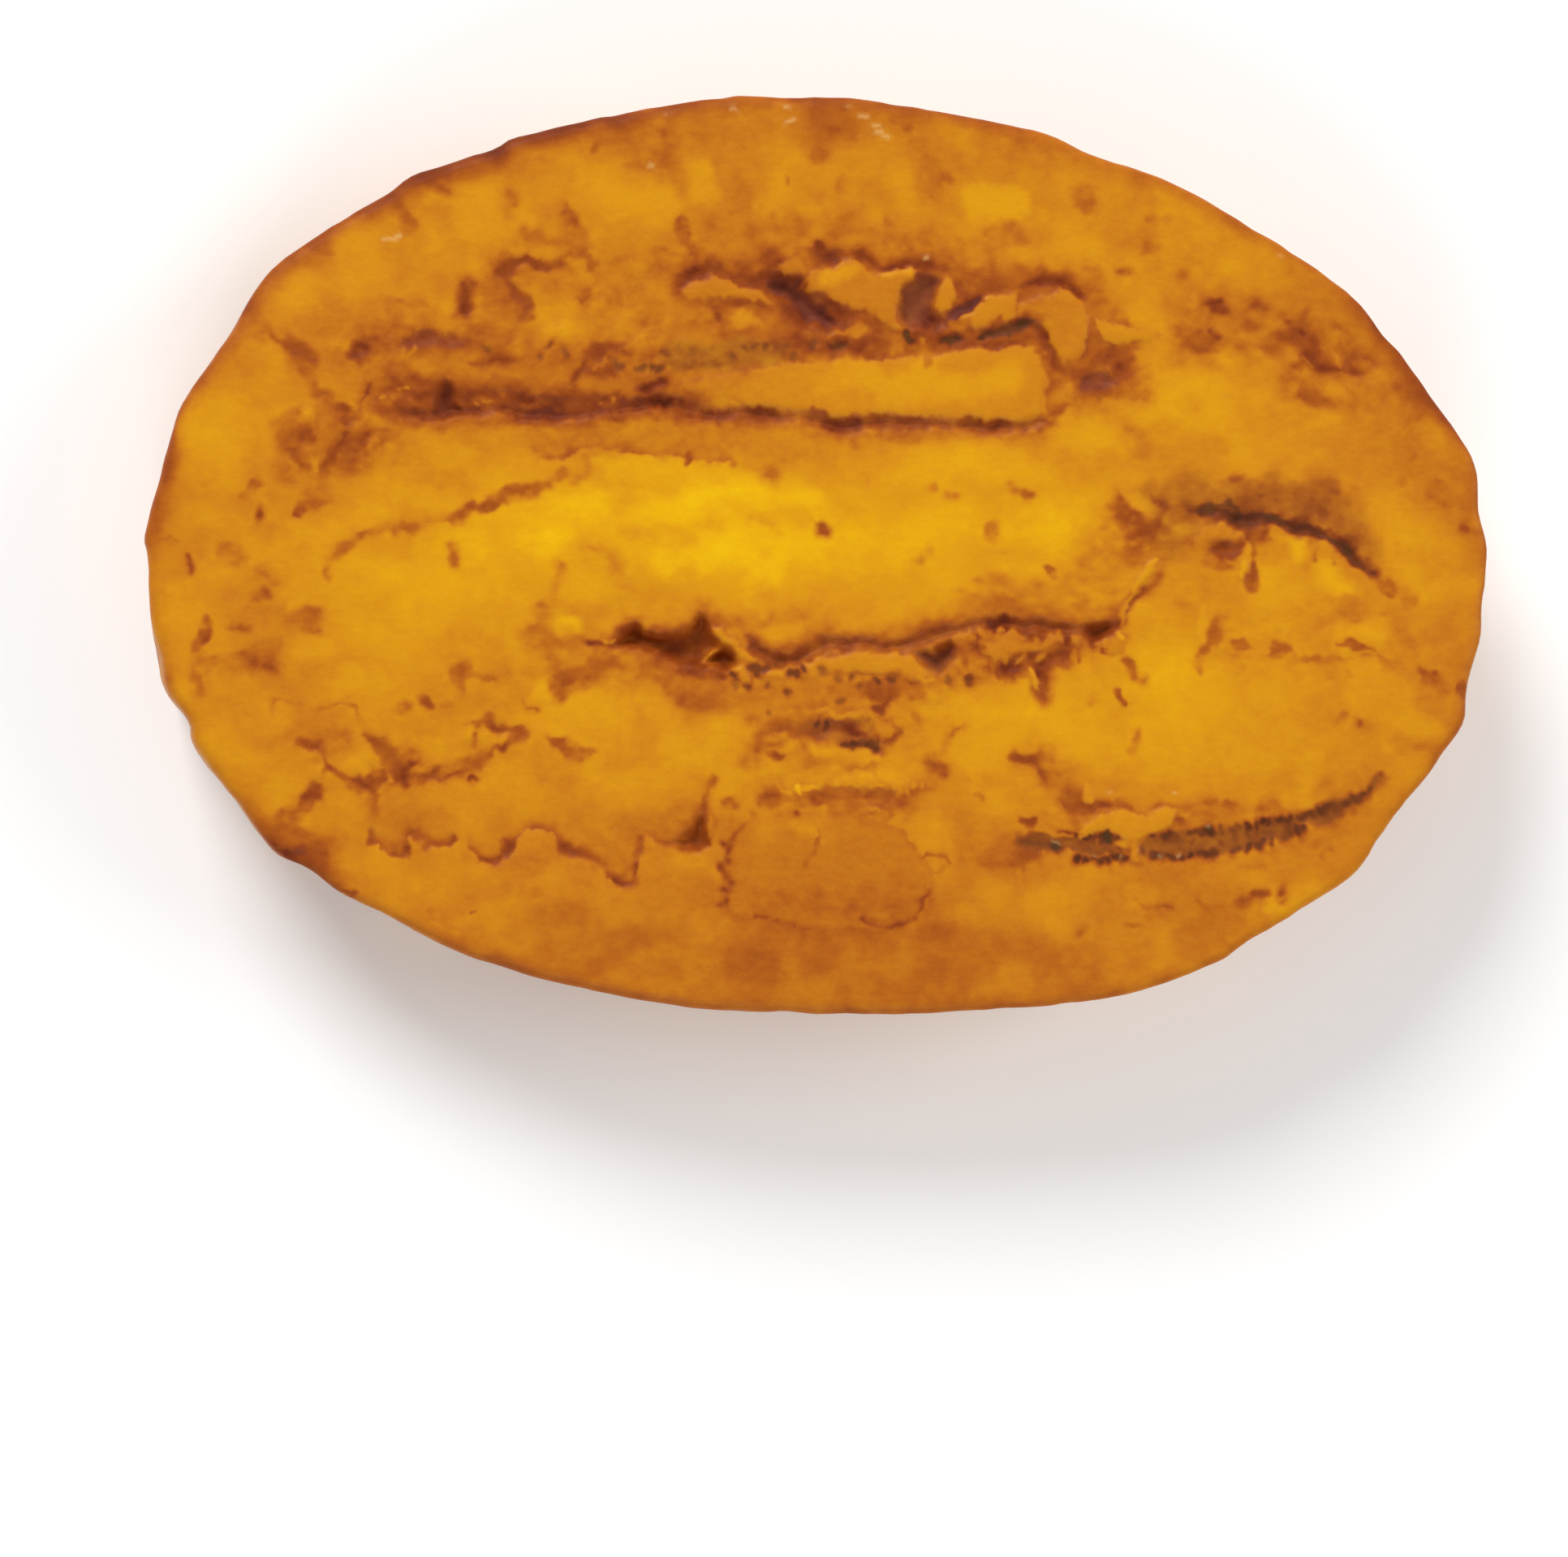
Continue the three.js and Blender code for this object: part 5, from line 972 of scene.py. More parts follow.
def draw_lower_left():
    """Cracks, a hole and the scalloped edge of a torn layer."""
    stain(0.52, 0.6, [(-23.4, -7.3), (-21.2, -7.2), (-20.6, -8.2), (-21.4, -8.8), (-23, -8.2)])
    stain(0.58, 0.15, [(-23.4, -6.7), (-22, -6.85), (-21.2, -6.75), (-20.7, -6.9), (-20.4, -7.5),
        (-20.1, -8)], 0.11)
    stain(0.62, 0.2, [(-18.9, -6.95), (-18.4, -6.85)], 0.13)
    stain(0.68, 0.18, [(-17.5, -6.55), (-17.35, -6.8)], 0.13)
    stain(0.6, 0.2, [(-16.8, -6.8), (-16.5, -6.75)], 0.1)
    pit(0.68, 0.1, [(-16.3, -5.1), (-16, -5.3), (-15.9, -5.9)], 0.22)
    stain(0.6, 0.2, [(-16, -5.2), (-15, -5.5), (-14.3, -5.5)], 0.13)
    stain(0.5, 0.4, [(-14.3, -5.5), (-12.6, -5.2)], 0.15)
    stain(0.55, 0.5, [(-20, -8.2), (-19, -8.9), (-18.2, -9.4), (-17, -9.6), (-15.5, -9.4)], 0.35)
    pit(0.74, 0.05, [(-23, -8.4, 0.03), (-22.4, -8.65), (-21.95, -8.9), (-21.9, -9.3), (-21.8, -9.75, 0.14),
        (-21.4, -9.9), (-21, -10.1), (-20.5, -10.25), (-20, -10.6), (-19.8, -10.4)], 0.075)
    stain(0.66, 0.2, [(-22.3, -10), (-21.8, -9.7), (-21.2, -9.95)], 0.14)
    stain(0.62, 0.3, [(-19.6, -8.7), (-18.8, -8.9), (-18.5, -9.5), (-18.9, -9.7), (-19.4, -9.4)])
    pit(0.7, 0.1, [(-20.3, -8.05, 0.04), (-19.8, -8.4), (-19.5, -8.8, 0.2), (-19, -9.1), (-18.65, -9.5)],
        0.11)
    pit(0.85, 0.2, [(-18.1, -9.4, 0.05), (-18.4, -9.75), (-18.5, -10.1)], 0.19)
    pit(0.7, 0.1, [(-18.7, -9.95), (-18.2, -10.05), (-17.6, -10), (-17.2, -9.9), (-16.95, -9.6, 0.08)], 0.13)
    pit(0.72, 0.05, [(-17.2, -10.05), (-16.6, -10), (-16, -9.85), (-15.2, -9.4), (-14.3, -8.7), (-14, -8.75),
        (-13.7, -8.4), (-13.3, -8.15), (-12.9, -8.05)], 0.075)
    stain(0.6, 0.25, [(-16, -9.6), (-15.2, -9.2), (-14.4, -8.6)], 0.14)
    dots(0.98, 0.15, [(-15.45, -9.95)])
    stain(0.6, 0.15, [(-15.8, -7.6), (-15.1, -7.6), (-14.5, -7.3)], 0.12)
    pit(0.7, 0.08, [(-14.6, -7.65), (-14.2, -7.9), (-13.6, -8), (-12.9, -8)], 0.1)
    stain(0.62, 0.2, [(-15.3, -8), (-15.3, -8.7)], 0.08)
    pit(0.76, 0.08, [(-19.8, -10.2), (-19.35, -10.05)], 0.14)
    stain(0.61, 0.25, [(-19.95, -10.3), (-19.85, -11), (-19.9, -12.5)], 0.14)
    fade(0.58, 0.1, 0.5, [(-19.6, -10.3), (-17.8, -10.15), (-16, -10)])
    pit(0.72, 0.15, [(-23.2, -11.3), (-23.1, -10.8), (-22.6, -10.4), (-22.3, -10.45), (-22.35, -10.9),
        (-22.9, -11.45)])
    stain(0.64, 0.3, [(-23.2, -11.4), (-23.8, -11.6), (-24.1, -12.2)], 0.2)
    stain(0.6, 0.4, [(-24.3, -12.4), (-23, -12.7), (-22, -13)], 0.3)
    stain(0.68, 0.3, [(-23, -13), (-22, -13.2), (-21.9, -13.8), (-22.8, -14)])
    pit(0.86, 0.15, [(-24.3, -12.9), (-23.7, -13.1), (-23, -13.2), (-22.8, -13.6), (-23.1, -14),
        (-23.7, -13.7)], cool=0.3)
    pit(0.76, 0.1, [(-22.9, -14.1), (-22.1, -14.6)], 0.2)
    stain(0.66, 0.2, [(-21.6, -14.9), (-20.8, -15.3)], 0.16)
    pit(0.66, 0.1, [(-11.9, -8.3, 0.1), (-11.4, -8.5), (-11, -8.85, 0.25), (-10.2, -8.95, 0.12)], 0.2)
    stain(0.5, 0.2, [(-8.1, -6.8), (-7.8, -7.3)], 0.14)
    stain(0.5, 1, [(-11, -12.6), (-8.6, -13.6), (-7.4, -12.6), (-5.6, -12.4), (-5.4, -10.8)])
    stain(0.48, 0.7, [(-14.6, -14.8), (-12, -14.3), (-9.6, -15), (-6, -14), (-6, -14.8), (-12, -15.6)])
    first_scallops = [(-20.05, -12.4), (-20, -12.9), (-19.6, -13.2), (-19.2, -13.4), (-18.7, -13.5),
        (-18.4, -13.1), (-18.35, -12.6), (-17.9, -12.3), (-17.7, -12.7), (-17.3, -12.95), (-16.9, -13.05),
        (-16.3, -13), (-16.15, -12.6)]
    scallops = [(-15.65, -12.4), (-15.5, -13.1), (-15.2, -13.5), (-14.9, -13.85), (-14.4, -13.9),
        (-14.1, -13.6), (-13.75, -13.5), (-13.6, -13.1), (-13.7, -12.8), (-13.3, -12.5), (-12.8, -12.35),
        (-12.3, -12.3), (-11.9, -12.5), (-11.5, -12.8), (-11.3, -13.1), (-10.9, -13.35), (-10.3, -13.55),
        (-9.9, -13.8), (-9.5, -14.1), (-9.3, -14.5), (-9.1, -14.75), (-8.7, -14.85), (-8.3, -14.7),
        (-8.25, -14.2), (-8.1, -13.7), (-7.85, -13.3), (-7.9, -12.8), (-7.6, -12.6), (-7, -12.85),
        (-6.5, -13.05), (-6, -13.25), (-5.4, -13.3), (-4.9, -13.05)]
    # Each scallop is darker in the lowered strip above its edge.
    for points in (first_scallops, scallops):
        fade(0.57, 1.2, 0.12, points, drop=0.1)
        fade(0.69, 0.4, 0.08, points)
    for tone, width, points in (
            (0.76, 0.12, [(-19, -13.4), (-18.6, -13.4), (-18.4, -13.1)]),
            (0.7, 0.12, [(-17.4, -12.9), (-17, -13)]), (0.78, 0.13, [(-16.4, -12.95), (-16.2, -12.8)]),
            (0.86, 0.14, [(-14.9, -13.75), (-14.5, -13.8), (-14.2, -13.55)]),
            (0.84, 0.16, [(-14, -13.4), (-13.85, -13.1)]),
            (0.77, 0.13, [(-11.4, -13.05), (-10.9, -13.25), (-10.3, -13.45)]),
            (0.72, 0.12, [(-10.2, -13.5), (-9.6, -13.9)]),
            (0.84, 0.13, [(-9.1, -14.65), (-8.7, -14.75), (-8.35, -14.65)]),
            (0.76, 0.13, [(-8.2, -13.5), (-7.95, -13.2), (-7.95, -12.8)]),
            (0.68, 0.12, [(-18.1, -12.4), (-17.7, -12.6)]), (0.7, 0.12, [(-20, -12.5), (-19.95, -12.9)])):
        pit(tone, 0.2, points, width, skirt=0.3)
    pit(0.7, 0.6, [(-6.9, -12.95), (-6.2, -12.75), (-5.7, -12.3), (-5.5, -11.8), (-5.1, -11.6), (-4.95, -12),
        (-4.95, -12.7), (-4.8, -13), (-5.2, -13.1), (-5.4, -13.3), (-5.8, -13.1), (-6.1, -13.25)], skirt=0.5)
    pit(0.7, 0.1, [(-4.6, -9.95, 0.06), (-4.8, -10.4), (-5, -11), (-5.1, -11.6)], 0.09, skirt=0.35)
    flap(0.47, 0.06, [(-4.85, -11.7), (-4.75, -12.2), (-4.9, -12.7)], 0.09)
    stain(0.56, 0.12, [(-11.2, -14.6), (-10.3, -14.7), (-9.4, -14.7)], 0.05)
    stain(0.64, 0.08, [(-15.5, -16.1), (-15.25, -16.1)], 0.06)
    clear(0.36, 0.15, [(-17.2, -16.6), (-16.6, -16.9), (-16, -17)], 0.07)
    crumble(0.04, 0.03, 0.38, 20, [(-24, -8), (-20.4, -8), (-12.6, -7.2), (-12.6, -8.6), (-16, -10.2),
        (-22.6, -10.4)])
    stain(0.56, 0.15, [(-18.1, -15.8), (-17.5, -15.95), (-17, -15.9)], 0.06)


def draw_right_chamber():
    """The curved crack on the right, with its red hole and the notches below it."""
    stain(0.55, 0.7, [(14.5, 3), (17, 3.4), (22, 3), (24, 2), (24.6, 0.6), (24.7, -0.6), (24, 0), (22.5, 1),
        (20.5, 1.5), (18, 1.4), (15.4, 0.4)], olive=0.12)
    stain(0.67, 0.45, [(16.6, 2.2), (18, 2.4), (22, 2), (23.2, 1.5), (24.1, 0.6)], 0.28, olive=0.2)
    stain(0.61, 0.8, [(17, 2.5), (19, 2.7), (21.5, 2.5), (23.2, 1.9), (24.3, 0.8)], 0.3, olive=0.15)
    stain(0.61, 0.5, [(13.7, 0.7), (14.6, 1), (15.1, 0.3), (14.8, -0.5), (14.2, -0.3)])
    stain(0.68, 0.35, [(13, 2.1), (13.4, 2.6), (14.5, 1.7), (15.2, 1.9), (15.5, 2.4), (15.4, 1.2), (15, 0.4),
        (13.8, 0.9)])
    stain(0.74, 0.25, [(14, 1), (14.5, 1.2), (15.1, 1.4)], 0.2)
    flap(0.31, 0.14, [(14.3, -1.6, 0.06), (14.5, -1.1), (14.75, -0.7), (15.05, -0.25, 0.06)], 0.17)
    stain(0.73, 0.2, [(15.2, 2.5), (15.4, 2.2)], 0.16)
    stain(0.55, 0.5, [(15.6, 1.6), (16, 0.8), (15.8, 0)], 0.4, olive=0.1)
    clear(0.34, 0.25, [(14.3, 2.4), (14.7, 2.2)], 0.25)
    stain(0.75, 0.3, [(18.6, 1.4), (20.3, 1.1), (20.4, 0.5), (19.7, 0.2), (19, 0.6), (18.9, 1)])
    pit(0.92, 0.5, [(16.8, 1.85, 0.08), (17.4, 1.95), (18, 1.8), (18.6, 1.6), (19.3, 1.5), (20, 1.45),
        (20.8, 1.3), (21.5, 1.2), (22.1, 1), (22.8, 0.7), (23.4, 0.3), (23.8, 0), (24.2, -0.4),
        (24.7, -0.85, 0.08)], 0.17, cool=0.15, olive=0.25, skirt=0.4)
    stain(0.86, 0.15, [(17.2, 2), (17.8, 2.1), (18.5, 2.1), (18.9, 1.8)], 0.17, olive=0.45)
    dots(0.84, 0.12, [(17.6, 2.2), (18.4, 2.3)], olive=0.5)
    for points in ([(20, 1.55), (20.8, 1.35)], [(22.9, 0.7), (23.2, 0.45)], [(23.7, 0.15), (23.9, -0.05)]):
        stain(0.84, 0.15, points, 0.1, olive=0.55)
    stain(0.86, 0.15, [(22.2, 1.2), (23, 0.9), (23.7, 0.4)], 0.17)
    flap(0.47, 0.12, [(16.6, 0.4), (16.9, 0.9), (17.4, 1.2), (18, 1.35), (18.4, 1.2), (18.5, 0.9),
        (18.9, 0.6), (18.2, 0.5), (17.5, 0.6), (17.1, 0.4)])
    pit(0.77, 0.2, [(17.4, 0.1), (17.7, 0.4), (18.3, 0.5), (19, 0.45), (18.8, 0.05), (18.4, -0.3),
        (17.8, -0.2)])
    stain(0.83, 0.15, [(17.7, 0.1), (18.2, 0.25)], 0.13)
    pit(0.7, 0.12, [(19.5, 0.5, 0.16), (19.45, -0.2), (19.4, -0.9), (19.4, -1.4, 0.14)], 0.13)
    flap(0.24, 0.14, [(18.95, 0), (18.97, -0.5), (18.9, -1)], 0.13)
    stain(0.56, 0.3, [(17.2, -0.5), (18.4, -0.6)], 0.15)
    clear(0.13, 0.45, [(21.15, 0.6), (21.5, 0.1), (21.5, -0.2)], 0.35)
    clear(0.17, 0.6, [(22.4, -0.3), (22.8, -0.1), (23.2, -0.8), (24, -1.4), (23.9, -1.8), (23.3, -1.9),
        (22.6, -1.5)])
    stain(0.64, 0.15, [(22.25, 0.6), (22.3, -0.2)], 0.11)
    stain(0.54, 0.12, [(23.1, 0), (23.15, -0.5)], 0.08)
    stain(0.62, 0.2, [(24.9, -1.1), (25.6, -1.6)], 0.15)
    stain(0.53, 0.3, [(26.2, -1.8), (26.5, -1.9)], 0.17)
    stain(0.55, 0.2, [(25.2, -2.75), (25.4, -2.85)], 0.12)
    stain(0.5, 0.4, [(23.7, -2.2), (24.4, -2.6)], 0.3)
    stain(0.5, 0.9, [(25.6, -2.8), (27.5, -3.4), (28.6, -4.6), (27.2, -5.4), (25.8, -5.2), (25.4, -4.2)])
    stain(0.5, 0.3, [(16.4, -2.2), (17, -2.6)], 0.3)
    clear(0.3, 0.2, [(17.3, -2.4), (17.1, -3.3), (17, -4.4)], 0.22)
    stain(0.5, 0.15, [(18.2, -4.4), (20, -4.7), (22, -4.8), (25, -4.6), (25.8, -5.2), (27, -5.5)], 0.1)
    pit(0.64, 0.1, [(17.9, -2.9), (17.8, -3.5), (17.4, -4.2)], 0.2)
    stain(0.58, 0.15, [(18.5, -3.9), (19.1, -3.6), (19.4, -4.3), (18.6, -4.2)])
    stain(0.62, 0.15, [(20.4, -3.95), (21, -4.1), (21.4, -4.5), (20.1, -4.65)])
    stain(0.6, 0.12, [(21.9, -4.75), (22.3, -4.75)], 0.13)
    stain(0.62, 0.15, [(23.1, -4.2), (23.9, -3.75), (25, -4.45), (24.2, -4.4)])
    clear(0.3, 0.15, [(24.1, -3.2), (24.8, -3.6), (25.3, -4)], 0.2)
    pit(0.72, 0.05, [(27, -5.4), (27.5, -5.5)], 0.14)
    stain(0.56, 0.3, [(27.5, -5.6), (27.8, -5.9)], 0.15)
    stain(0.68, 0.2, [(28.85, 1.1), (29, 1)], 0.2)
    stain(0.52, 0.5, [(28.4, 1.5), (29.4, 0.8)], 0.2)
    dots(0.68, 0.15, [(24.15, -7.6)])
    stain(0.52, 0.3, [(23.4, -7.2)], 0.2)
    stain(0.5, 0.7, [(24.5, -7.6), (26.5, -8.6), (27.6, -9.2)], 0.4)
    stain(0.68, 0.2, [(29, -6.1)], 0.25)
    stain(0.55, 0.12, [(23.7, -5.3), (23.8, -5.4)], 0.1)
    stain(0.5, 0.2, [(17, -4.6), (17.2, -5.2)], 0.08)
    crumble(0.04, 0.04, 0.38, 65, [(13.4, 0.2), (16, 0.4), (20, 1), (24, -1), (24.6, 1), (22, 3), (16, 3.2),
        (13.4, 2.4)])
    crumble(0.04, 0.04, 0.38, 30, [(17.4, -2.6), (25.6, -2.8), (26, -5), (17.4, -5)])


def draw_upper_right():
    """Smudges near the upper right edge."""
    stain(0.53, 1.1, [(16, 11.6), (19, 11.6), (22, 11.2), (24.6, 10), (26.4, 8), (27.6, 6.4), (25.5, 6.6),
        (22, 6.4), (20.6, 8), (18, 9), (16, 9)])
    clear(0.36, 0.5, [(18.6, 8.6), (19.6, 8.2)], 0.35)
    stain(0.64, 0.35, [(16.4, 11.3), (17.3, 11.15), (18.1, 10.95)], 0.22)
    stain(0.8, 0.25, [(17.3, 11.15), (17.8, 11.1), (18.1, 10.9)], 0.13)
    stain(0.66, 0.2, [(19.5, 11.15), (19.9, 11)], 0.12)
    stain(0.64, 0.35, [(15.9, 9.95), (16.6, 9.8), (17.2, 9.3)], 0.33)
    stain(0.76, 0.15, [(17.6, 9.95), (17.9, 9.6)], 0.07)
    stain(0.58, 0.35, [(18.5, 10.2), (19.6, 10.3)], 0.25)
    stain(0.7, 0.35, [(20.4, 9.8), (21, 10.3), (21.8, 10.5), (22, 9.9), (22.7, 9.3), (21.9, 8.9),
        (20.7, 9.5)])
    stain(0.77, 0.2, [(21.3, 10.3), (21.8, 9.9)], 0.16)
    stain(0.72, 0.3, [(21.4, 9.2), (22.2, 9.3), (22.9, 8.8), (23.3, 8.1), (22.6, 8.1), (21.8, 8.6)])
    stain(0.68, 0.35, [(23.4, 9.2), (24.3, 9), (24.5, 8.3), (23.9, 7.9), (23.4, 8.3)])
    stain(0.84, 0.22, [(21.8, 8.9, 0.06), (22.1, 8.7), (22.4, 8.55), (22.8, 8.35), (23.2, 8.2)], 0.16)
    stain(0.7, 0.15, [(21.15, 8.45), (21.5, 8.3)], 0.1)
    flap(0.57, 0.04, [(21.7, 8.75), (22.2, 8.4)], 0.07)
    stain(0.66, 0.45, [(23.4, 9.2), (24.1, 8.8), (24.6, 8.3)], 0.4)
    stain(0.76, 0.2, [(23.4, 8.3), (23.8, 8.1), (24.1, 8.05)], 0.14)
    flap(0.55, 0.04, [(23.35, 8.6), (23.3, 8.1)], 0.05)
    stain(0.6, 0.3, [(20.7, 8.3), (21, 7.7)], 0.28)
    stain(0.65, 0.4, [(21.9, 7.1), (22.4, 6.8)], 0.3)
    stain(0.6, 0.15, [(23.3, 7.8), (23.7, 7.4), (24.1, 6.9)], 0.12)
    clear(0.38, 0.25, [(22.9, 7.4), (23.4, 7.2)], 0.15, cover=0.6)
    stain(0.57, 0.4, [(25, 8.8), (25.6, 7.8), (26.4, 6.8)], 0.25)
    stain(0.6, 0.5, [(26.2, 7.6), (27.2, 6.6)], 0.3)
    stain(0.57, 0.3, [(26.1, 6), (26.3, 5), (26.6, 4.2)], 0.2)
    stain(0.6, 0.25, [(26.3, 3.2)], 0.2)
    stain(0.55, 0.3, [(27.6, 2.8), (28.2, 2.4)], 0.25)
    dots(0.7, 0.17, [(18.7, 3.3)])
    stain(0.48, 0.3, [(18.1, 4.6)], 0.25)
    stain(0.5, 0.3, [(24.1, 2.8), (24.4, 2.4)], 0.22)
    stain(0.5, 0.3, [(22.3, 3.5)], 0.2)
    stain(0.48, 0.6, [(13.8, 5.6), (14.5, 4.2)], 0.4)
    crumble(0.05, 0.04, 0.38, -35, [(16, 9), (20, 8), (25, 6.2), (26.6, 7.4), (23, 11), (16.4, 12)])


def draw_top():
    """Soft patches along the upper edge, and painted highlights: oily glints near it."""
    for tone, soft, points in (
            (0.34, 0.35, [(-5.9, 17.5), (-4.8, 17.6), (-4.6, 15.9), (-5.6, 15.6)]),
            (0.33, 0.4, [(-9.8, 16.4), (-6.5, 16.4), (-6.2, 15.4), (-7, 14.7), (-9.5, 14.9)]),
            (0.36, 0.5, [(-16.6, 16.4), (-15, 17.3), (-14.2, 16.5), (-14.1, 14.6), (-15.9, 14)]),
            (0.37, 0.8, [(-21.6, 13.4), (-20, 14.4), (-19.4, 12.6), (-20.6, 11.6)]),
            (0.34, 0.7, [(-24.2, 11.6), (-23, 12.3), (-22.4, 11.2), (-23.4, 10.6)]),
            (0.27, 0.3, [(6.4, 16.2), (7.4, 16.5), (9.6, 16.2), (9.5, 15.1), (8, 14.8), (6.6, 15.1)]),
            (0.36, 0.5, [(3.2, 17.3), (4.2, 17.4), (4.3, 15.4), (3.4, 15.4)]),
            (0.41, 0.5, [(5.6, 18.8), (7, 18.9), (6.8, 17.8)]),
            (0.34, 0.8, [(11, 14.8), (12.4, 14.4), (12.6, 13), (11.2, 13.2)]),
            (0.38, 0.5, [(15.2, 16.2), (16.2, 15.8), (15.6, 15.3)]),
            (0.4, 0.7, [(12.6, 12.4), (14, 11.6), (13.4, 11.1)]),
            (0.4, 0.5, [(20.2, 13.2), (21.2, 12.2), (20.2, 12.2)]),
            (0.36, 0.6, [(-2.3, 17), (-1.2, 17.6), (-0.8, 16), (-2.2, 15.4)])):
        clear(tone, soft, points)
    for tone, soft, width, points in (
            (0.72, 0.4, 0.28, [(-11.1, 15.6), (-10.95, 15)]),
            (0.56, 0.4, 0.3, [(-13.8, 16.1), (-13.6, 15.5)]),
            (0.6, 0.4, 0.3, [(-18.7, 15.5), (-18.2, 14.9)]),
            (0.64, 0.3, 0.2, [(-8.5, 17.2), (-7.6, 17.1), (-6.9, 17.3)]),
            (0.6, 0.3, 0.25, [(-6.6, 19.2), (-6.6, 17.6)]), (0.6, 0.2, 0.15, [(-9.9, 18.1)]),
            (0.54, 0.8, 0.5, [(-9.2, 18.8), (-7.5, 18.4)]), (0.56, 0.5, 0.35, [(-3.7, 16.4), (-3.4, 15.9)]),
            (0.58, 0.2, 0.15, [(-1.4, 16.8), (-1.3, 16.4)]), (0.64, 0.7, 0.5, [(0.6, 19.9), (1.1, 19.3)]),
            (0.58, 0.4, 0.3, [(0, 18)]), (0.62, 0.3, 0.25, [(3.4, 19.3), (3.9, 19.1)]),
            (0.62, 0.2, 0.13, [(5.3, 17.3), (5.9, 16.8)]), (0.56, 0.6, 0.4, [(9.4, 18.4), (10.2, 18.1)]),
            (0.6, 0.4, 0.3, [(12, 16.1), (12.2, 15.6)]),
            (0.6, 0.35, 0.25, [(3, 15.1), (3.2, 14.5), (3.9, 13.9)]),
            (0.56, 0.2, 0.12, [(14.4, 15.3), (15, 15), (15.8, 14.8)]), (0.56, 0.35, 0.3, [(15, 13.8)]),
            (0.6, 0.25, 0.2, [(13.5, 12.6), (13.9, 12.55)]), (0.57, 0.5, 0.4, [(16.3, 12.3), (16.8, 11.8)]),
            (0.56, 0.2, 0.14, [(1.1, 16.6), (1.15, 16.2)]), (0.53, 0.6, 0.4, [(7, 14.2), (9.6, 14)]),
            (0.55, 0.6, 0.3, [(4.4, 18), (5, 16.8), (5.3, 15.8)]),
            (0.6, 0.5, 0.4, [(-17.2, 16.8), (-16.4, 16.3)]), (0.56, 0.6, 0.35, [(-22.6, 12.9), (-22, 13.5)]),
            (0.52, 0.6, 0.5, [(-21.3, 10.6), (-17.5, 11)]), (0.54, 0.5, 0.3, [(-12.6, 14), (-10.5, 14.1)]),
            (0.55, 0.8, 0.4, [(-4.5, 14.5), (2, 15)])):
        stain(tone, soft, points, width)
    # Painted highlights: oily glints, as short whitish flecks in the colour.
    for x, y, length in (
            (-7.6, 19.75, 0.3), (-7.2, 19.7, 0.25), (-6.85, 19.65, 0.3), (-2.7, 20.35, 0.25),
            (-2.3, 20.4, 0.3), (-3.75, 19.9, 0.15), (-1.4, 19.95, 0.12), (-1.2, 19.3, 0.3),
            (-7.5, 17.3, 0.15), (1.45, 20.1, 0.3), (2.15, 19.6, 0.25), (2.65, 19.05, 0.2), (2.8, 18.75, 0.3),
            (3.05, 18.55, 0.2), (4.95, 13.2, 0.15), (-19.2, 14.1, 0.4), (-18.8, 14.3, 0.3),
            (20.7, 13.4, 0.15)):
        glint(x, y, length, 0.07)


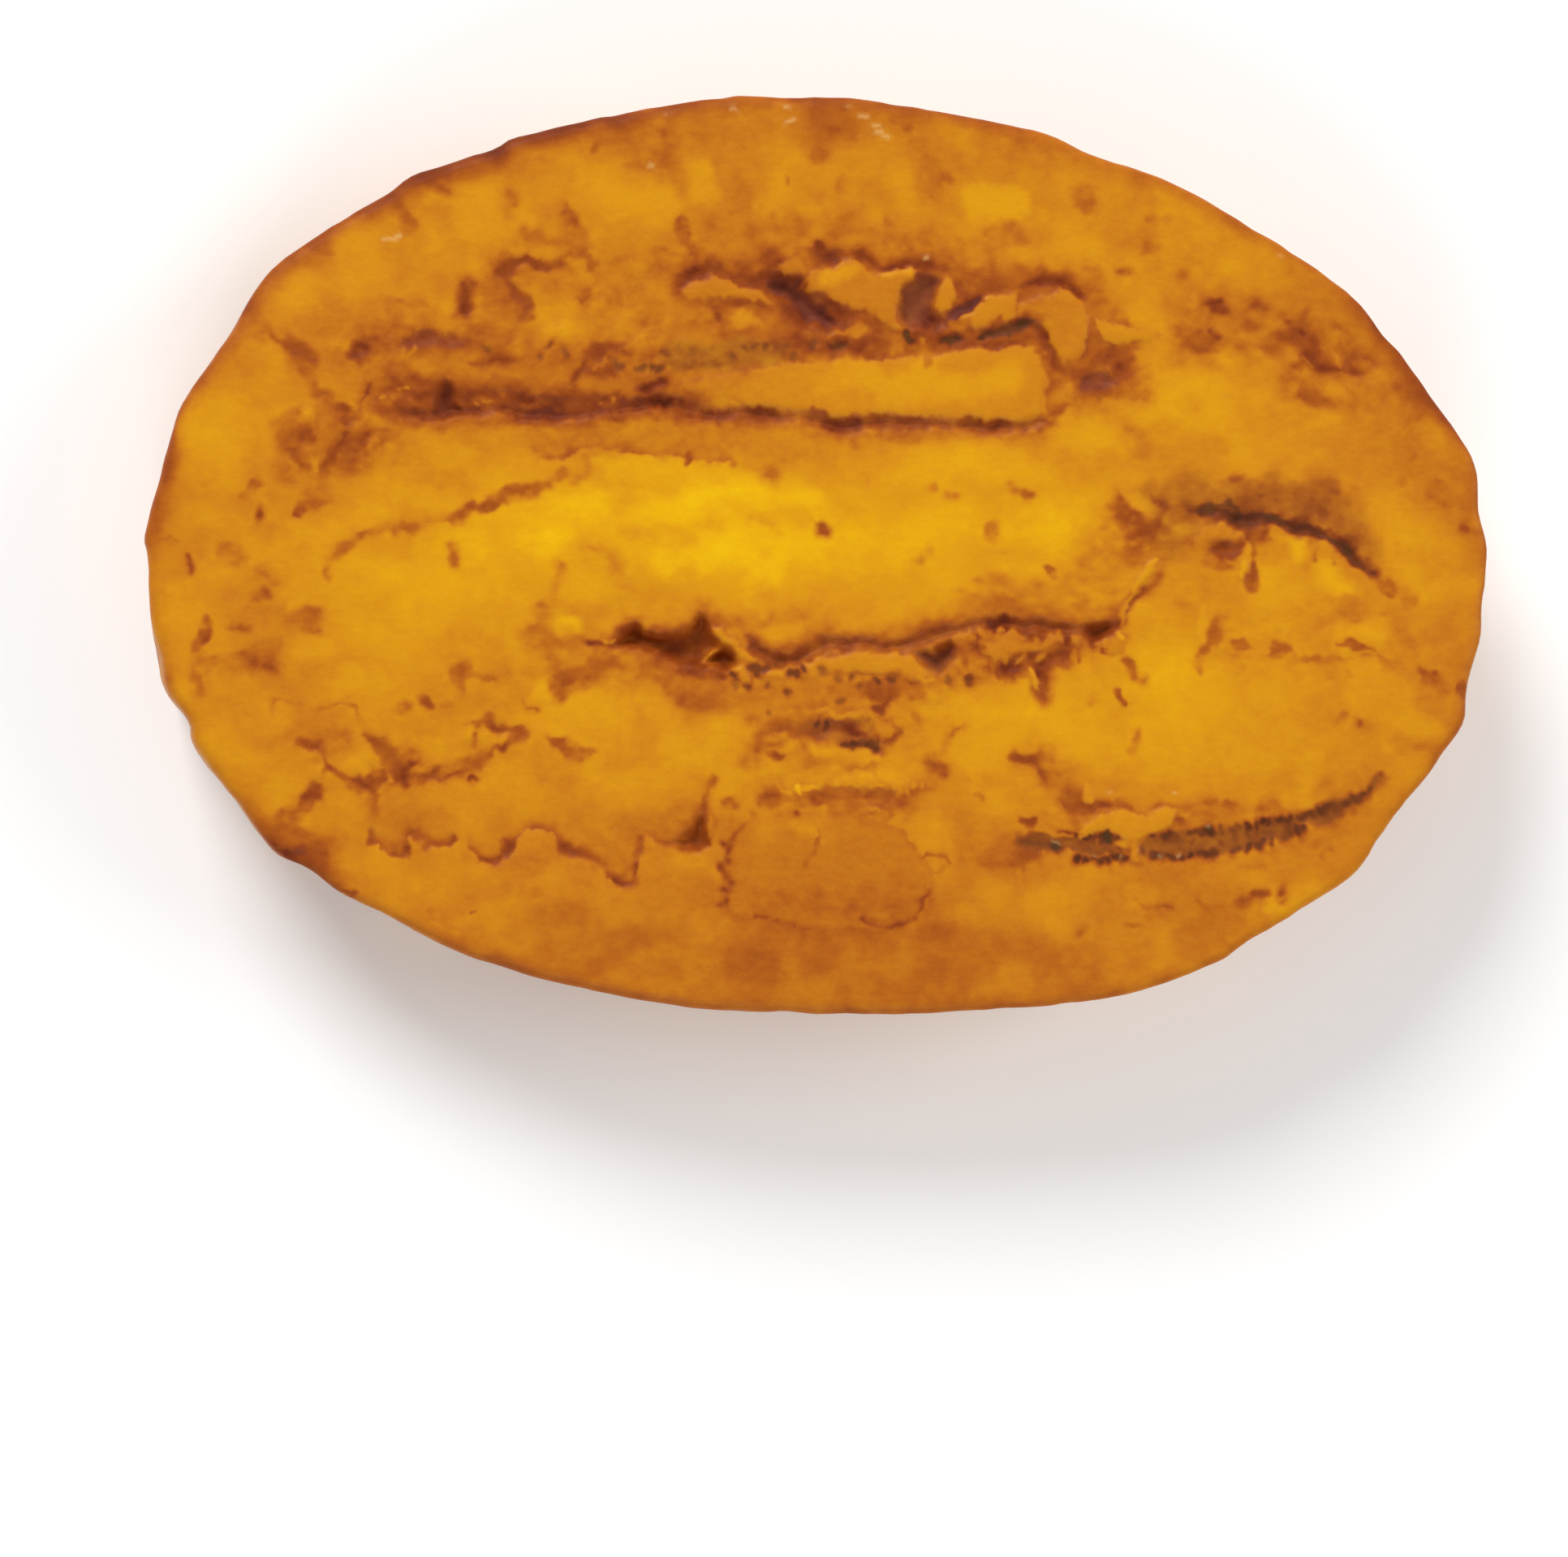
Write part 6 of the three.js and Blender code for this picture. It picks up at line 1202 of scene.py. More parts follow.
def draw_lower_right():
    """The double row of seeds along the lower right, the torn place above it, small marks below and painted
    glints on the seeds.
    """
    stain(0.55, 0.5, [(8.6, -8.9), (10.4, -8.7), (12.3, -11.2), (11.4, -12.2), (10.2, -10.8), (9.8, -9.8)])
    stain(0.65, 0.2, [(8.6, -9, 0.06), (9.2, -9.1), (9.7, -9.15), (10, -8.8, 0.12)], 0.16)
    stain(0.66, 0.2, [(9.8, -9.4), (10.1, -9.8), (10.3, -10.2)], 0.18)
    pit(0.63, 0.08, [(11, -10.1), (11.5, -10.3), (12, -10.9), (12, -11.6), (11.5, -12.1), (11.3, -11.6),
        (10.8, -11), (11.1, -10.6)])
    pit(0.72, 0.1, [(12, -11.4), (12.6, -11.2), (13.1, -11.2)], 0.22)
    stain(0.64, 0.2, [(13.4, -11.1), (13.9, -11.3)], 0.14)
    stain(0.6, 0.3, [(15.2, -11.3), (16.4, -11.2), (17.6, -11), (18.4, -11.2)], 0.14)
    stain(0.68, 0.15, [(18.2, -11.1), (18.6, -11.3)], 0.12)
    stain(0.6, 0.35, [(16.4, -12), (18.2, -11.7), (20.4, -11.4)], 0.2)
    stain(0.72, 0.2, [(16, -12), (16.2, -12.3)], 0.17)
    pit(0.7, 0.1, [(9.1, -11.9), (9.4, -12.1), (9.7, -11.9)], 0.13)
    pit(0.76, 0.1, [(10.8, -12.4), (11.4, -12.4)], 0.16)
    stain(0.66, 0.45, [(7.8, -13.2), (8.8, -12.9), (9.8, -13.5), (8.6, -13.9)])
    stain(0.52, 0.8, [(15, -14.1), (19, -13.9), (22, -12.9), (24.4, -11.6)], 0.3)
    stain(0.6, 0.12, [(9.2, -13.9), (9.3, -14.4)], 0.06)
    for points, width in (
            ([(8.9, -12.75, 0.2), (10, -12.9), (11.2, -13), (12.4, -13.15), (13.9, -13.25)], 0.42),
            ([(14.5, -13.2), (15.6, -13.05), (17, -12.95), (18.4, -12.8), (19.8, -12.5), (21.2, -12.1, 0.4),
            (22.4, -11.7, 0.28), (23.6, -11.2, 0.2), (24.4, -10.7, 0.17), (25.1, -9.9, 0.08)], 0.5)):
        pit(0.7, 0.1, points, width, olive=0.28, skirt=0.3)
    stain(0.68, 0.25, [(22, -11.7), (23.4, -11.3), (24.2, -10.9), (24.9, -10.2)], 0.12, olive=0.35)
    for points in ([(12, -12.95), (13.6, -13.15)], [(19.2, -12.55), (21, -12.2)]):
        clear(0.6, 0.2, points, 0.12, cover=0.5)
    clear(0.55, 0.3, [(16.6, -12.8), (17.8, -12.75), (18.8, -12.6)], 0.2, cover=0.7)
    pit(0.8, 0.1, [(9.1, -12.8), (10, -12.95), (10.6, -13.1)], 0.09, olive=0.5, skirt=0.2)
    for tone, radius, pitch, points in (
            (0.95, 0.12, 0.26, [(11.6, -12.65), (12.4, -12.6), (13.5, -12.75)]),
            (0.97, 0.14, 0.34, [(11.7, -13.55), (12.8, -13.65), (13.9, -13.5)]),
            (0.96, 0.15, 0.3, [(15.1, -12.6), (15.5, -12.55), (16, -12.65)]),
            (0.86, 0.12, 0.34, [(18.2, -12.3), (19.2, -12.15)]),
            (0.96, 0.16, 0.28, [(19.3, -12.05), (20.3, -11.95)]),
            (0.92, 0.15, 0.26, [(20.7, -11.85), (21.6, -11.8), (22.3, -11.5), (23, -11.25)]),
            (0.94, 0.14, 0.32, [(14.6, -13.35), (15.5, -13.5)]),
            (0.95, 0.14, 0.38, [(15.9, -13.55), (17, -13.4), (18, -13.3)]),
            (0.95, 0.14, 0.38, [(18.5, -13.25), (19.6, -13), (20.6, -12.75)]),
            (0.9, 0.14, 0.32, [(20.9, -12.6), (21.9, -12.15)]),
            (0.84, 0.12, 0.3, [(23.2, -11.4), (24.2, -10.9), (24.8, -10.3)]),
            (0.76, 0.08, 0.6, [(15, -12.95), (18.5, -12.85)]),
            (0.78, 0.1, 0.4, [(18.8, -12.6), (21.4, -12.2)]),
            (0.78, 0.1, 0.4, [(12, -13.2), (13.8, -13.2)])):
        seeds(tone, radius, pitch, points)
    dots(1, 0.17, [(10.68, -13.1), (12.95, -12.75)], olive=0.6)
    dots(1, 0.16, [(16.75, -12.42), (17.1, -12.4), (17.5, -12.3)], olive=0.35)
    # Painted highlights: oily glints on the seeds, as whitish flecks in the colour.
    glint(10.6, -12.95, 0.08, 0.07)
    for x, y in ((15.3, -13.5), (13.5, -13.55), (16.1, -13.4), (12.4, -13.5), (17.4, -12.25)):
        glint(x, y, 0.04, 0.035)
    flap(0.45, 0.1, [(14, -12.75), (14.4, -12.8), (14.4, -13.9), (14, -13.9)])
    flap(0.39, 0.12, [(11.6, -12.4), (12, -11.9), (12.6, -11.6), (13.6, -11.4), (14.6, -11.7), (15.2, -11.3),
        (15.9, -11.4), (15.9, -11.9), (15.3, -12.3), (14.3, -12.8), (12.6, -12.4), (12, -12.6)])
    flap(0.31, 0.1, [(11.7, -12.65), (12.2, -12.5)], 0.11)
    flap(0.41, 0.08, [(12, -10.2), (12.2, -10.9), (12.4, -10.6)], 0.15)
    # Painted highlights: oily glints on two flaps.
    glint(13.05, -10.65, 0.08, 0.06)
    glint(15.85, -10.65, 0.08, 0.05)
    pit(0.69, 0.05, [(14.1, -15.4, 0.05), (14.6, -15.8), (15.1, -15.8), (15.5, -15.6), (15.9, -15.85)], 0.08,
        skirt=0.3)
    stain(0.6, 0.35, [(14.8, -16), (15.6, -16)], 0.1)
    stain(0.57, 0.12, [(17, -15.6), (17.3, -15.8)], 0.11)
    pit(0.72, 0.05, [(19, -15.5), (19.4, -15.35), (19.9, -15.15)], 0.14, skirt=0.35)
    dots(0.72, 0.12, [(20.75, -15.05), (20.85, -15.5)])
    stain(0.58, 0.15, [(13.9, -16.6), (14.5, -16.6)], 0.1)
    stain(0.56, 0.1, [(18.3, -17.4), (18.5, -17.8)], 0.08)
    dots(0.66, 0.1, [(22.5, -13.4), (22.9, -13.2), (11.75, -16.95)])
    stain(0.5, 0.3, [(19.6, -15.6), (19.9, -16.4)], 0.3)
    stain(0.5, 0.4, [(23.2, -9.6), (22.4, -10.4)], 0.2)
    crumble(0.05, 0.04, 0.33, -40, [(8.6, -8.6), (10.4, -8.6), (13.2, -11), (13, -12), (10, -12.4),
        (8.6, -10)])


# Waves of the finished face: amount, how much finer across the fibres, wavelength and seed.
WAVES = ((0.20, 1.5, 12, 11), (0.06, 1.4, 4.2, 12))
ROUGHNESS = ((1.0, 0.9, 13), (0.6, 0.4, 14))
SMOOTH_RELIEF, BURNT_RELIEF = 0.015, 0.05


def draw_face():
    """Plain flesh, then the marks region by region, then the waves of the surface."""
    draw_plain_flesh()
    for draw in (draw_top, draw_upper_right, draw_left_end, draw_left_chamber, draw_upper_left,
                 draw_upper_chamber, draw_middle, draw_tongue, draw_middle_chamber, draw_lower_middle,
                 draw_lower_left, draw_right_chamber, draw_lower_right):
        draw()
    x, y = FACE.x, FACE.y
    height = blur(FACE.layer["height"], 2, 2)
    for amount, finer, wavelength, seed in WAVES:
        height += amount * noise(x, y * finer, wavelength, seed)
    rough = SMOOTH_RELIEF + BURNT_RELIEF * smoothstep(0.55, 0.8, FACE.layer["toast"])
    FACE.layer["height"] = height + rough * noises(x, y, *ROUGHNESS)
    return FACE


# ---------------------------------------------------------------- the outline

RIPPLE = ((1.0, 1.6, 51), (0.7, 0.7, 52))
RIPPLE_DEPTH = 0.05
NORMAL_SPAN = 24         # steps along the outline on each side that a normal is taken over
CURVE_STEPS = 24         # steps between two points of the outline


def closed_curve(points, steps):
    """A smooth closed curve through points, evenly spaced along its length."""
    p = np.array(points, float)
    a, b, c, d = (np.roll(p, shift, 0)[:, None, :] for shift in (1, 0, -1, -2))
    t = np.linspace(0, 1, CURVE_STEPS, endpoint=False)[None, :, None]
    bend, twist = 2 * a - 5 * b + 4 * c - d, 3 * b - a - 3 * c + d
    curve = 0.5 * (2 * b + (c - a) * t + bend * t ** 2 + twist * t ** 3).reshape(-1, 2)
    closed = np.concatenate([curve, curve[:1]])
    return places_on(closed, lambda length: np.linspace(0, length, steps, endpoint=False))


class Outline:
    """The outline of the face as a closed, slightly rippled curve."""

    STEPS = 4096

    def __init__(self, points):
        curve = closed_curve(points, self.STEPS)
        tangent = np.roll(curve, -NORMAL_SPAN, 0) - np.roll(curve, NORMAL_SPAN, 0)
        normal = np.stack([tangent[:, 1], -tangent[:, 0]], 1)
        self.normals = normal / np.hypot(*normal.T)[:, None]
        self.points = curve + self.normals * RIPPLE_DEPTH * noises(*curve.T, *RIPPLE)[:, None]
        angles = np.arctan2(self.points[:, 1], self.points[:, 0])
        order = np.argsort(angles)
        self.angles, self.radii = angles[order], np.hypot(*self.points.T)[order]

    def at(self, share, inset=0.0):
        """Places on the outline, moved inwards by the inset, and the normals there."""
        u = (share % 1.0) * self.STEPS
        i = np.floor(u).astype(int) % self.STEPS
        t = (u - np.floor(u))[:, None]
        j = (i + 1) % self.STEPS
        point = self.points[i] * (1 - t) + self.points[j] * t
        normal = self.normals[i] * (1 - t) + self.normals[j] * t
        return point - normal * np.reshape(inset, (-1, 1)), normal

    def round(self, x, y, values):
        """Values spread evenly round the outline, read in the direction of each place."""
        return np.interp(np.arctan2(y, x), self.angles, values, period=2 * np.pi)

    def depth_inside(self, x, y):
        """Roughly how far a place lies inside the outline."""
        slant = 0.95     # the outline isn't square to the line from the middle
        return slant * (self.round(x, y, self.radii) - np.hypot(x, y))


# ---------------------------------------------------------------- meshing a face

RING_SCALES = (1.0, 0.95, 0.82, 0.58, 0.28)


def ring_mesh(outline, inset):
    """Rings of vertices that halve in number towards the middle, joined by triangles."""
    places, shares, rings, triangles = [], [], [], []
    for level, scale in enumerate(RING_SCALES):
        count = RIM_POINTS // 2 ** level
        share = np.arange(count) / count
        xy, _ = outline.at(share, inset)
        rings.append(np.arange(count) + sum(len(r) for r in rings))
        places.append(xy * scale)
        shares.append(share if level == 0 else np.full(count, np.nan))
    for outer, inner in zip(rings, rings[1:]):
        n = len(inner)
        for i in range(n):
            first, middle, last = outer[2 * i], outer[2 * i + 1], outer[(2 * i + 2) % (2 * n)]
            start, end = inner[i], inner[(i + 1) % n]
            triangles += [(first, middle, start), (middle, end, start), (middle, last, end)]
    centre = sum(len(r) for r in rings)
    places.append(np.zeros((1, 2)))
    shares.append(np.full(1, np.nan))
    last = rings[-1]
    triangles += [(last[i], last[(i + 1) % len(last)], centre) for i in range(len(last))]
    return np.concatenate(places), np.concatenate(shares), np.array(triangles)


def longest_first(places, triangles):
    """Turns each triangle so that its longest edge comes first."""
    p = places[triangles]
    lengths = np.stack([np.hypot(*(p[:, i] - p[:, (i + 1) % 3]).T) for i in range(3)], 1)
    turn = (np.argmax(lengths, 1)[:, None] + np.arange(3)) % 3
    return np.take_along_axis(triangles, turn, 1)


def edge_numbers(triangles):
    """Numbers the edges. Returns each edge's ends, and each triangle's three edges."""
    ends = np.concatenate([triangles[:, [0, 1]], triangles[:, [1, 2]], triangles[:, [2, 0]]])
    ends = np.sort(ends, 1).astype(np.int64)
    code = ends[:, 0] * (ends.max() + 1) + ends[:, 1]
    _, first, number = np.unique(code, return_index=True, return_inverse=True)
    return ends[first], number.reshape(3, -1).T


def mark_long_edges(places, ends, edges, wanted):
    """Marks the edges that are longer than wanted, and the longest edge of each triangle with one."""
    a, b = places[ends[:, 0]], places[ends[:, 1]]
    middle = (a + b) / 2
    marked = np.hypot(*(a - b).T) > wanted(middle[:, 0], middle[:, 1])
    while True:
        more = (marked[edges[:, 1]] | marked[edges[:, 2]]) & ~marked[edges[:, 0]]
        if not more.any():
            return marked, middle
        marked[edges[more, 0]] = True


def split_marked(triangles, new):
    """Splits triangles at the new vertices on their edges, the longest edge first."""
    v0, v1, v2 = triangles.T
    m0, m1, m2 = new.T
    split, far, near = m0 >= 0, m1 >= 0, m2 >= 0
    pieces = (((v0, m0, v2), split & ~near), ((v0, m0, m2), split & near), ((m2, m0, v2), split & near),
              ((m0, v1, v2), split & ~far), ((m0, v1, m1), split & far), ((m0, m1, v2), split & far))
    return np.concatenate([triangles[~split]] + [np.stack(corners, 1)[chosen] for corners, chosen in pieces])


def refine(outline, inset, wanted):
    """A ring mesh whose long edges are split until each is as short as wanted(x, y) asks. A split
    triangle always splits its longest edge, so the triangles stay well shaped."""
    places, shares, triangles = ring_mesh(outline, inset)
    triangles = longest_first(places, triangles)
    while True:
        ends, edges = edge_numbers(triangles)
        marked, middle = mark_long_edges(places, ends, edges, wanted)
        if not marked.any():
            return places, shares, triangles
        share_a, share_b = shares[ends[:, 0]], shares[ends[:, 1]]
        wraps = np.abs(share_a - share_b) > 0.5
        share = ((share_a + share_b + wraps) / 2) % 1.0
        on_rim = ~np.isnan(share)
        if on_rim.any():
            middle[on_rim], _ = outline.at(share[on_rim], inset)
        new = np.full(len(ends), -1)
        new[marked] = len(places) + np.arange(marked.sum())
        places = np.concatenate([places, middle[marked]])
        shares = np.concatenate([shares, share[marked]])
        triangles = longest_first(places, split_marked(triangles, new[edges]))


def strip(upper, upper_shares, lower, lower_shares):
    """Triangles between two rings of vertices, one above the other, of any two counts."""
    triangles = []
    i = j = 0
    n, m = len(upper), len(lower)
    ahead = np.append(upper_shares[1:], 1 + upper_shares[0])
    behind = np.append(lower_shares[1:], 1 + lower_shares[0])
    while i < n or j < m:
        if j == m or (i < n and ahead[i] <= behind[j]):
            triangles.append((upper[i], lower[j % m], upper[(i + 1) % n]))
            i += 1
        else:
            triangles.append((upper[i % n], lower[j], lower[(j + 1) % m]))
            j += 1
    return np.array(triangles)


# ---------------------------------------------------------------- browning and form of the sides

# How much an error in each layer shows, against one in the tone.
LAYER_WEIGHTS = (("height", 1.1), ("toast", 1.0), ("cool", 0.6), ("olive", 0.7), ("painted_glint", 0.5))
FLATTEST = 1e-3

RIM_TONE = ((0.06, 1.1, 61), (0.05, 0.5, 63))
RIM_WANDER, RIM_WIDTH = (0.12, 0.8, 62), (0.5, 1.4, 64)
RIM_FADE = 2.2           # the browned line fades out over this many times its reach

SIDE_TONE = 0.36
SIDE_SPREAD = 160        # the way round the slice, for the pattern of its side
SIDE_CLOUDS, SIDE_STREAKS, STREAK_HEIGHT = (0.1, 5.0, 71), (0.08, 1.1, 72), 2.5
BLOTCHES = ((1.0, 3.2, 73), (0.5, 1.5, 74), (0.2, 0.9, 75))
BLOTCH_TONE, BLOTCH_EDGE = 0.34, (0.35, 1.05)
SIDE_EDGE_TONE = 0.2     # added along the side's edges, within these distances of them
BASE_EDGE, TOP_EDGE = (1.3, 0.2), (1.2, 0.2)
TOP_BLEND = 2.2          # the face's browning runs this far down the side

# Dents of the side: amount, wavelength, seed, and how far the noise drifts in x and y from top to base.
DENTS = ((0.2, 5, 21, 2, 0), (0.1, 1.6, 22, 0, 4), (0.04, 0.7, 23, 9, 5))
DENTS_EVEN_OUT = 0.7     # from this share of the way down they stay as deep as they are there
TUCK_CURVE = 1.2         # above 1, the side draws in more and more towards the underside

BASE_WARP_X, BASE_WARP_Y = (1.2, 6, 81), (0.8, 6, 82)
BASE_DARKER, BASE_DENTS, BASE_DENT_EDGE = 0.1, 0.35, (0.0, 2.0)


def edge_limits(face):
    """How long the mesh's edges may be at each place, by how sharply relief and browning bend. The
    middle of an edge is off by an eighth of the bend times the square of its length."""
    bend = np.full(face.x.shape, FLATTEST)
    for name, weight in LAYER_WEIGHTS:
        dy, dx = np.gradient(blur(face.layer[name], 1, 1), CELL)
        (dyy, dyx), (dxy, dxx) = np.gradient(dy, CELL), np.gradient(dx, CELL)
        bend = np.maximum(bend, weight * np.sqrt(dxx ** 2 + dyy ** 2 + 2 * dxy * dyx))
    return np.sqrt(8 * TONE_ERROR / blur(bend, 2, 1))


def rim_browning(x, y, inside):
    """The tone of the line that runs round the edge, and how much of it shows this far inside it."""
    angle = np.degrees(np.arctan2(y, x)) % 360
    directions, tones, reaches = np.array(RIM, float).T
    tone = np.interp(angle, directions, tones) + noises(x, y, *RIM_TONE)
    reach = np.interp(angle, directions, reaches) * (1 + noises(x, y, RIM_WIDTH))
    return tone, smoothstep(RIM_FADE * reach, 0.0, inside + noises(x, y, RIM_WANDER))


def face_browning(face, x, y, inside):
    """The tone of the face with the browned line round its edge."""
    toast = face.sample("toast", x, y)
    tone, cover = rim_browning(x, y, inside)
    return toast + np.maximum(tone - toast, 0) * cover


def side_browning(outline, x, y, z):
    """The tone of the side: yellow orange with brown blotches, darker at both edges."""
    way = outline.round(x, y, np.linspace(0, SIDE_SPREAD, outline.STEPS))
    toast = SIDE_TONE + noises(way, z, SIDE_CLOUDS) + noises(way, z / STREAK_HEIGHT, SIDE_STREAKS)
    toast += BLOTCH_TONE * smoothstep(*BLOTCH_EDGE, noises(way, z, *BLOTCHES))
    near_edge = smoothstep(*BASE_EDGE, z) + smoothstep(*TOP_EDGE, THICKNESS - z)
    return toast + SIDE_EDGE_TONE * np.clip(near_edge, 0, 1)


def side_ring(face, outline, shares, inset, z, follow):
    """A ring of vertices round the side at a height z, which follows the face's relief by a share, and
    the vertices' marks."""
    xy, normal = outline.at(shares)
    x, y = xy.T
    down = 1 - z / THICKNESS
    dent = sum(amount * noise(x + drift_x * down, y + drift_y * down, wavelength, seed)
               for amount, wavelength, seed, drift_x, drift_y in DENTS)
    swell = BULGE * math.sin(math.pi * down) - TUCK * down ** TUCK_CURVE
    out = swell + dent * math.sin(math.pi * min(down, DENTS_EVEN_OUT)) - inset
    x, y = (xy + normal * out[:, None]).T
    height = z + follow * face.sample("height", x, y)
    near_top = smoothstep(RIM_RADIUS + TOP_BLEND, RIM_RADIUS - 0.1, THICKNESS - z)
    toast = side_browning(outline, x, y, z)
    toast = toast + (face_browning(face, x, y, inset) - toast) * near_top
    none = np.zeros(len(x))
    return np.column_stack([x - LEAN * down, y, height]), np.column_stack([toast, none, none, none])


# ---------------------------------------------------------------- the slice


class Shell:
    """Vertices, their marks and triangles, put together piece by piece."""

    def __init__(self):
        self.points, self.marks, self.triangles = [], [], []
        self.count = 0

    def add(self, points, marks):
        """Adds vertices and returns their numbers."""
        self.points.append(points)
        self.marks.append(marks)
        numbers = self.count + np.arange(len(points))
        self.count += len(points)
        return numbers


def rim_vertices(shares):
    """The vertices on the rim of a refined mesh, in order."""
    ring = np.flatnonzero(~np.isnan(shares))
    return ring[np.argsort(shares[ring])]


def add_top(shell, face, outline):
    """The browned face. Returns its rim and how far round each vertex of it lies."""
    def wanted(x, y):
        return np.clip(face.sample("edge", x, y), TOP_FINE, TOP_COARSE)

    places, shares, triangles = refine(outline, RIM_RADIUS, wanted)
    x, y = places.T
    toast = face_browning(face, x, y, outline.depth_inside(x, y))
    marks = [toast] + [face.sample(name, x, y) for name in ("cool", "painted_glint", "olive")]
    shell.add(np.column_stack([x, y, THICKNESS + face.sample("height", x, y)]), np.column_stack(marks))
    shell.triangles.append(triangles)
    rim = rim_vertices(shares)
    return rim, shares[rim]


def base_mesh(face, outline):
    """The flat underside, seen from above, coarser than the face."""
    def wanted(x, y):
        return np.clip(2 * face.sample("edge", x, y), BASE_FINE, BASE_COARSE)

    return refine(outline, TUCK + BASE_RADIUS, wanted)


def add_base(shell, face, outline, places):
    """The underside's vertices: the face's browning again, warped and darker, over shallow dents."""
    x, y = places.T
    warped = x + noises(x, y, BASE_WARP_X), y + noises(x, y, BASE_WARP_Y)
    inside = outline.depth_inside(x, y) - TUCK - BASE_RADIUS
    hollow = np.minimum(face.sample("height", *warped), 0)
    dents = -BASE_DENTS * hollow * smoothstep(*BASE_DENT_EDGE, inside)
    toast = BASE_DARKER + face_browning(face, *warped, inside)
    cool, olive = face.sample("cool", *warped), face.sample("olive", *warped)
    marks = np.column_stack([toast, cool, np.zeros(len(x)), olive])
    return shell.add(np.column_stack([x - LEAN, y, dents]), marks)


def side_rows(rim_shares, base_shares):
    """The rings of the side from top to base: inset, height, how far it follows the face, places."""
    rows = []
    for i in range(1, RIM_ROWS + 1):
        angle = i / RIM_ROWS * math.pi / 2
        fall = 1 - math.cos(angle)
        rows.append((RIM_RADIUS * (1 - math.sin(angle)), THICKNESS - RIM_RADIUS * fall, 1 - fall, rim_shares))
    even = np.arange(SIDE_POINTS) / SIDE_POINTS
    for i in range(1, SIDE_ROWS + 1):
        z = THICKNESS - RIM_RADIUS + (BASE_RADIUS - THICKNESS + RIM_RADIUS) * i / SIDE_ROWS
        rows.append((0.0, z, 0.0, even))
    for i in range(1, BASE_ROWS):
        angle = i / BASE_ROWS * math.pi / 2
        inset, z = BASE_RADIUS * (1 - math.cos(angle)), BASE_RADIUS * (1 - math.sin(angle))
        rows.append((inset, z, 0.0, base_shares))
    return rows


def build_slice(face):
    """The whole slice as one closed mesh: points, triangles and marks."""
    outline = Outline(OUTLINE)
    face.layer["edge"] = edge_limits(face)
    shell = Shell()
    ring, shares = add_top(shell, face, outline)
    base_places, base_shares, base_triangles = base_mesh(face, outline)
    base_rim = rim_vertices(base_shares)
    for inset, z, follow, row_shares in side_rows(shares, base_shares[base_rim]):
        row = shell.add(*side_ring(face, outline, row_shares, inset, z, follow))
        shell.triangles.append(strip(ring, shares, row, row_shares))
        ring, shares = row, row_shares
    base = add_base(shell, face, outline, base_places)
    shell.triangles.append(strip(ring, shares, base[base_rim], base_shares[base_rim]))
    shell.triangles.append(base[base_triangles[:, ::-1]])
    return np.concatenate(shell.points), np.concatenate(shell.triangles), np.concatenate(shell.marks)


def add_object(name, data):
    added = bpy.data.objects.new(name, data)
    bpy.context.scene.collection.objects.link(added)
    return added


def slice_object(name, points, triangles, marks):
    """The slice as an object in metres, centred on the CAD solid and standing where it stands. Returns
    the shift in millimetres too."""
    low, high = points.min(0), points.max(0)
    box_low, box_high = np.array(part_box(NODE)) / MM
    shift = (box_low + box_high - low - high) / 2
    shift[2] = box_low[2] - low[2]
    mesh = bpy.data.meshes.new(name)
    mesh.from_pydata(((points + shift) * MM).tolist(), [], triangles.tolist())
    mesh.attributes.new("marks", "FLOAT_COLOR", "POINT")
    mesh.attributes["marks"].data.foreach_set("color", marks.astype(np.float32).ravel())
    mesh.polygons.foreach_set("use_smooth", np.ones(len(mesh.polygons), bool))
    mesh.update()
    return add_object(name, mesh), shift


# ---------------------------------------------------------------- materials


def linear(red, green, blue):
    """A colour given as it looks on screen, 0 to 255, as linear light."""
    parts = (((c / 255 + 0.055) / 1.055) ** 2.4 if c > 10 else c / 255 / 12.92 for c in (red, green, blue))
    return (*parts, 1.0)


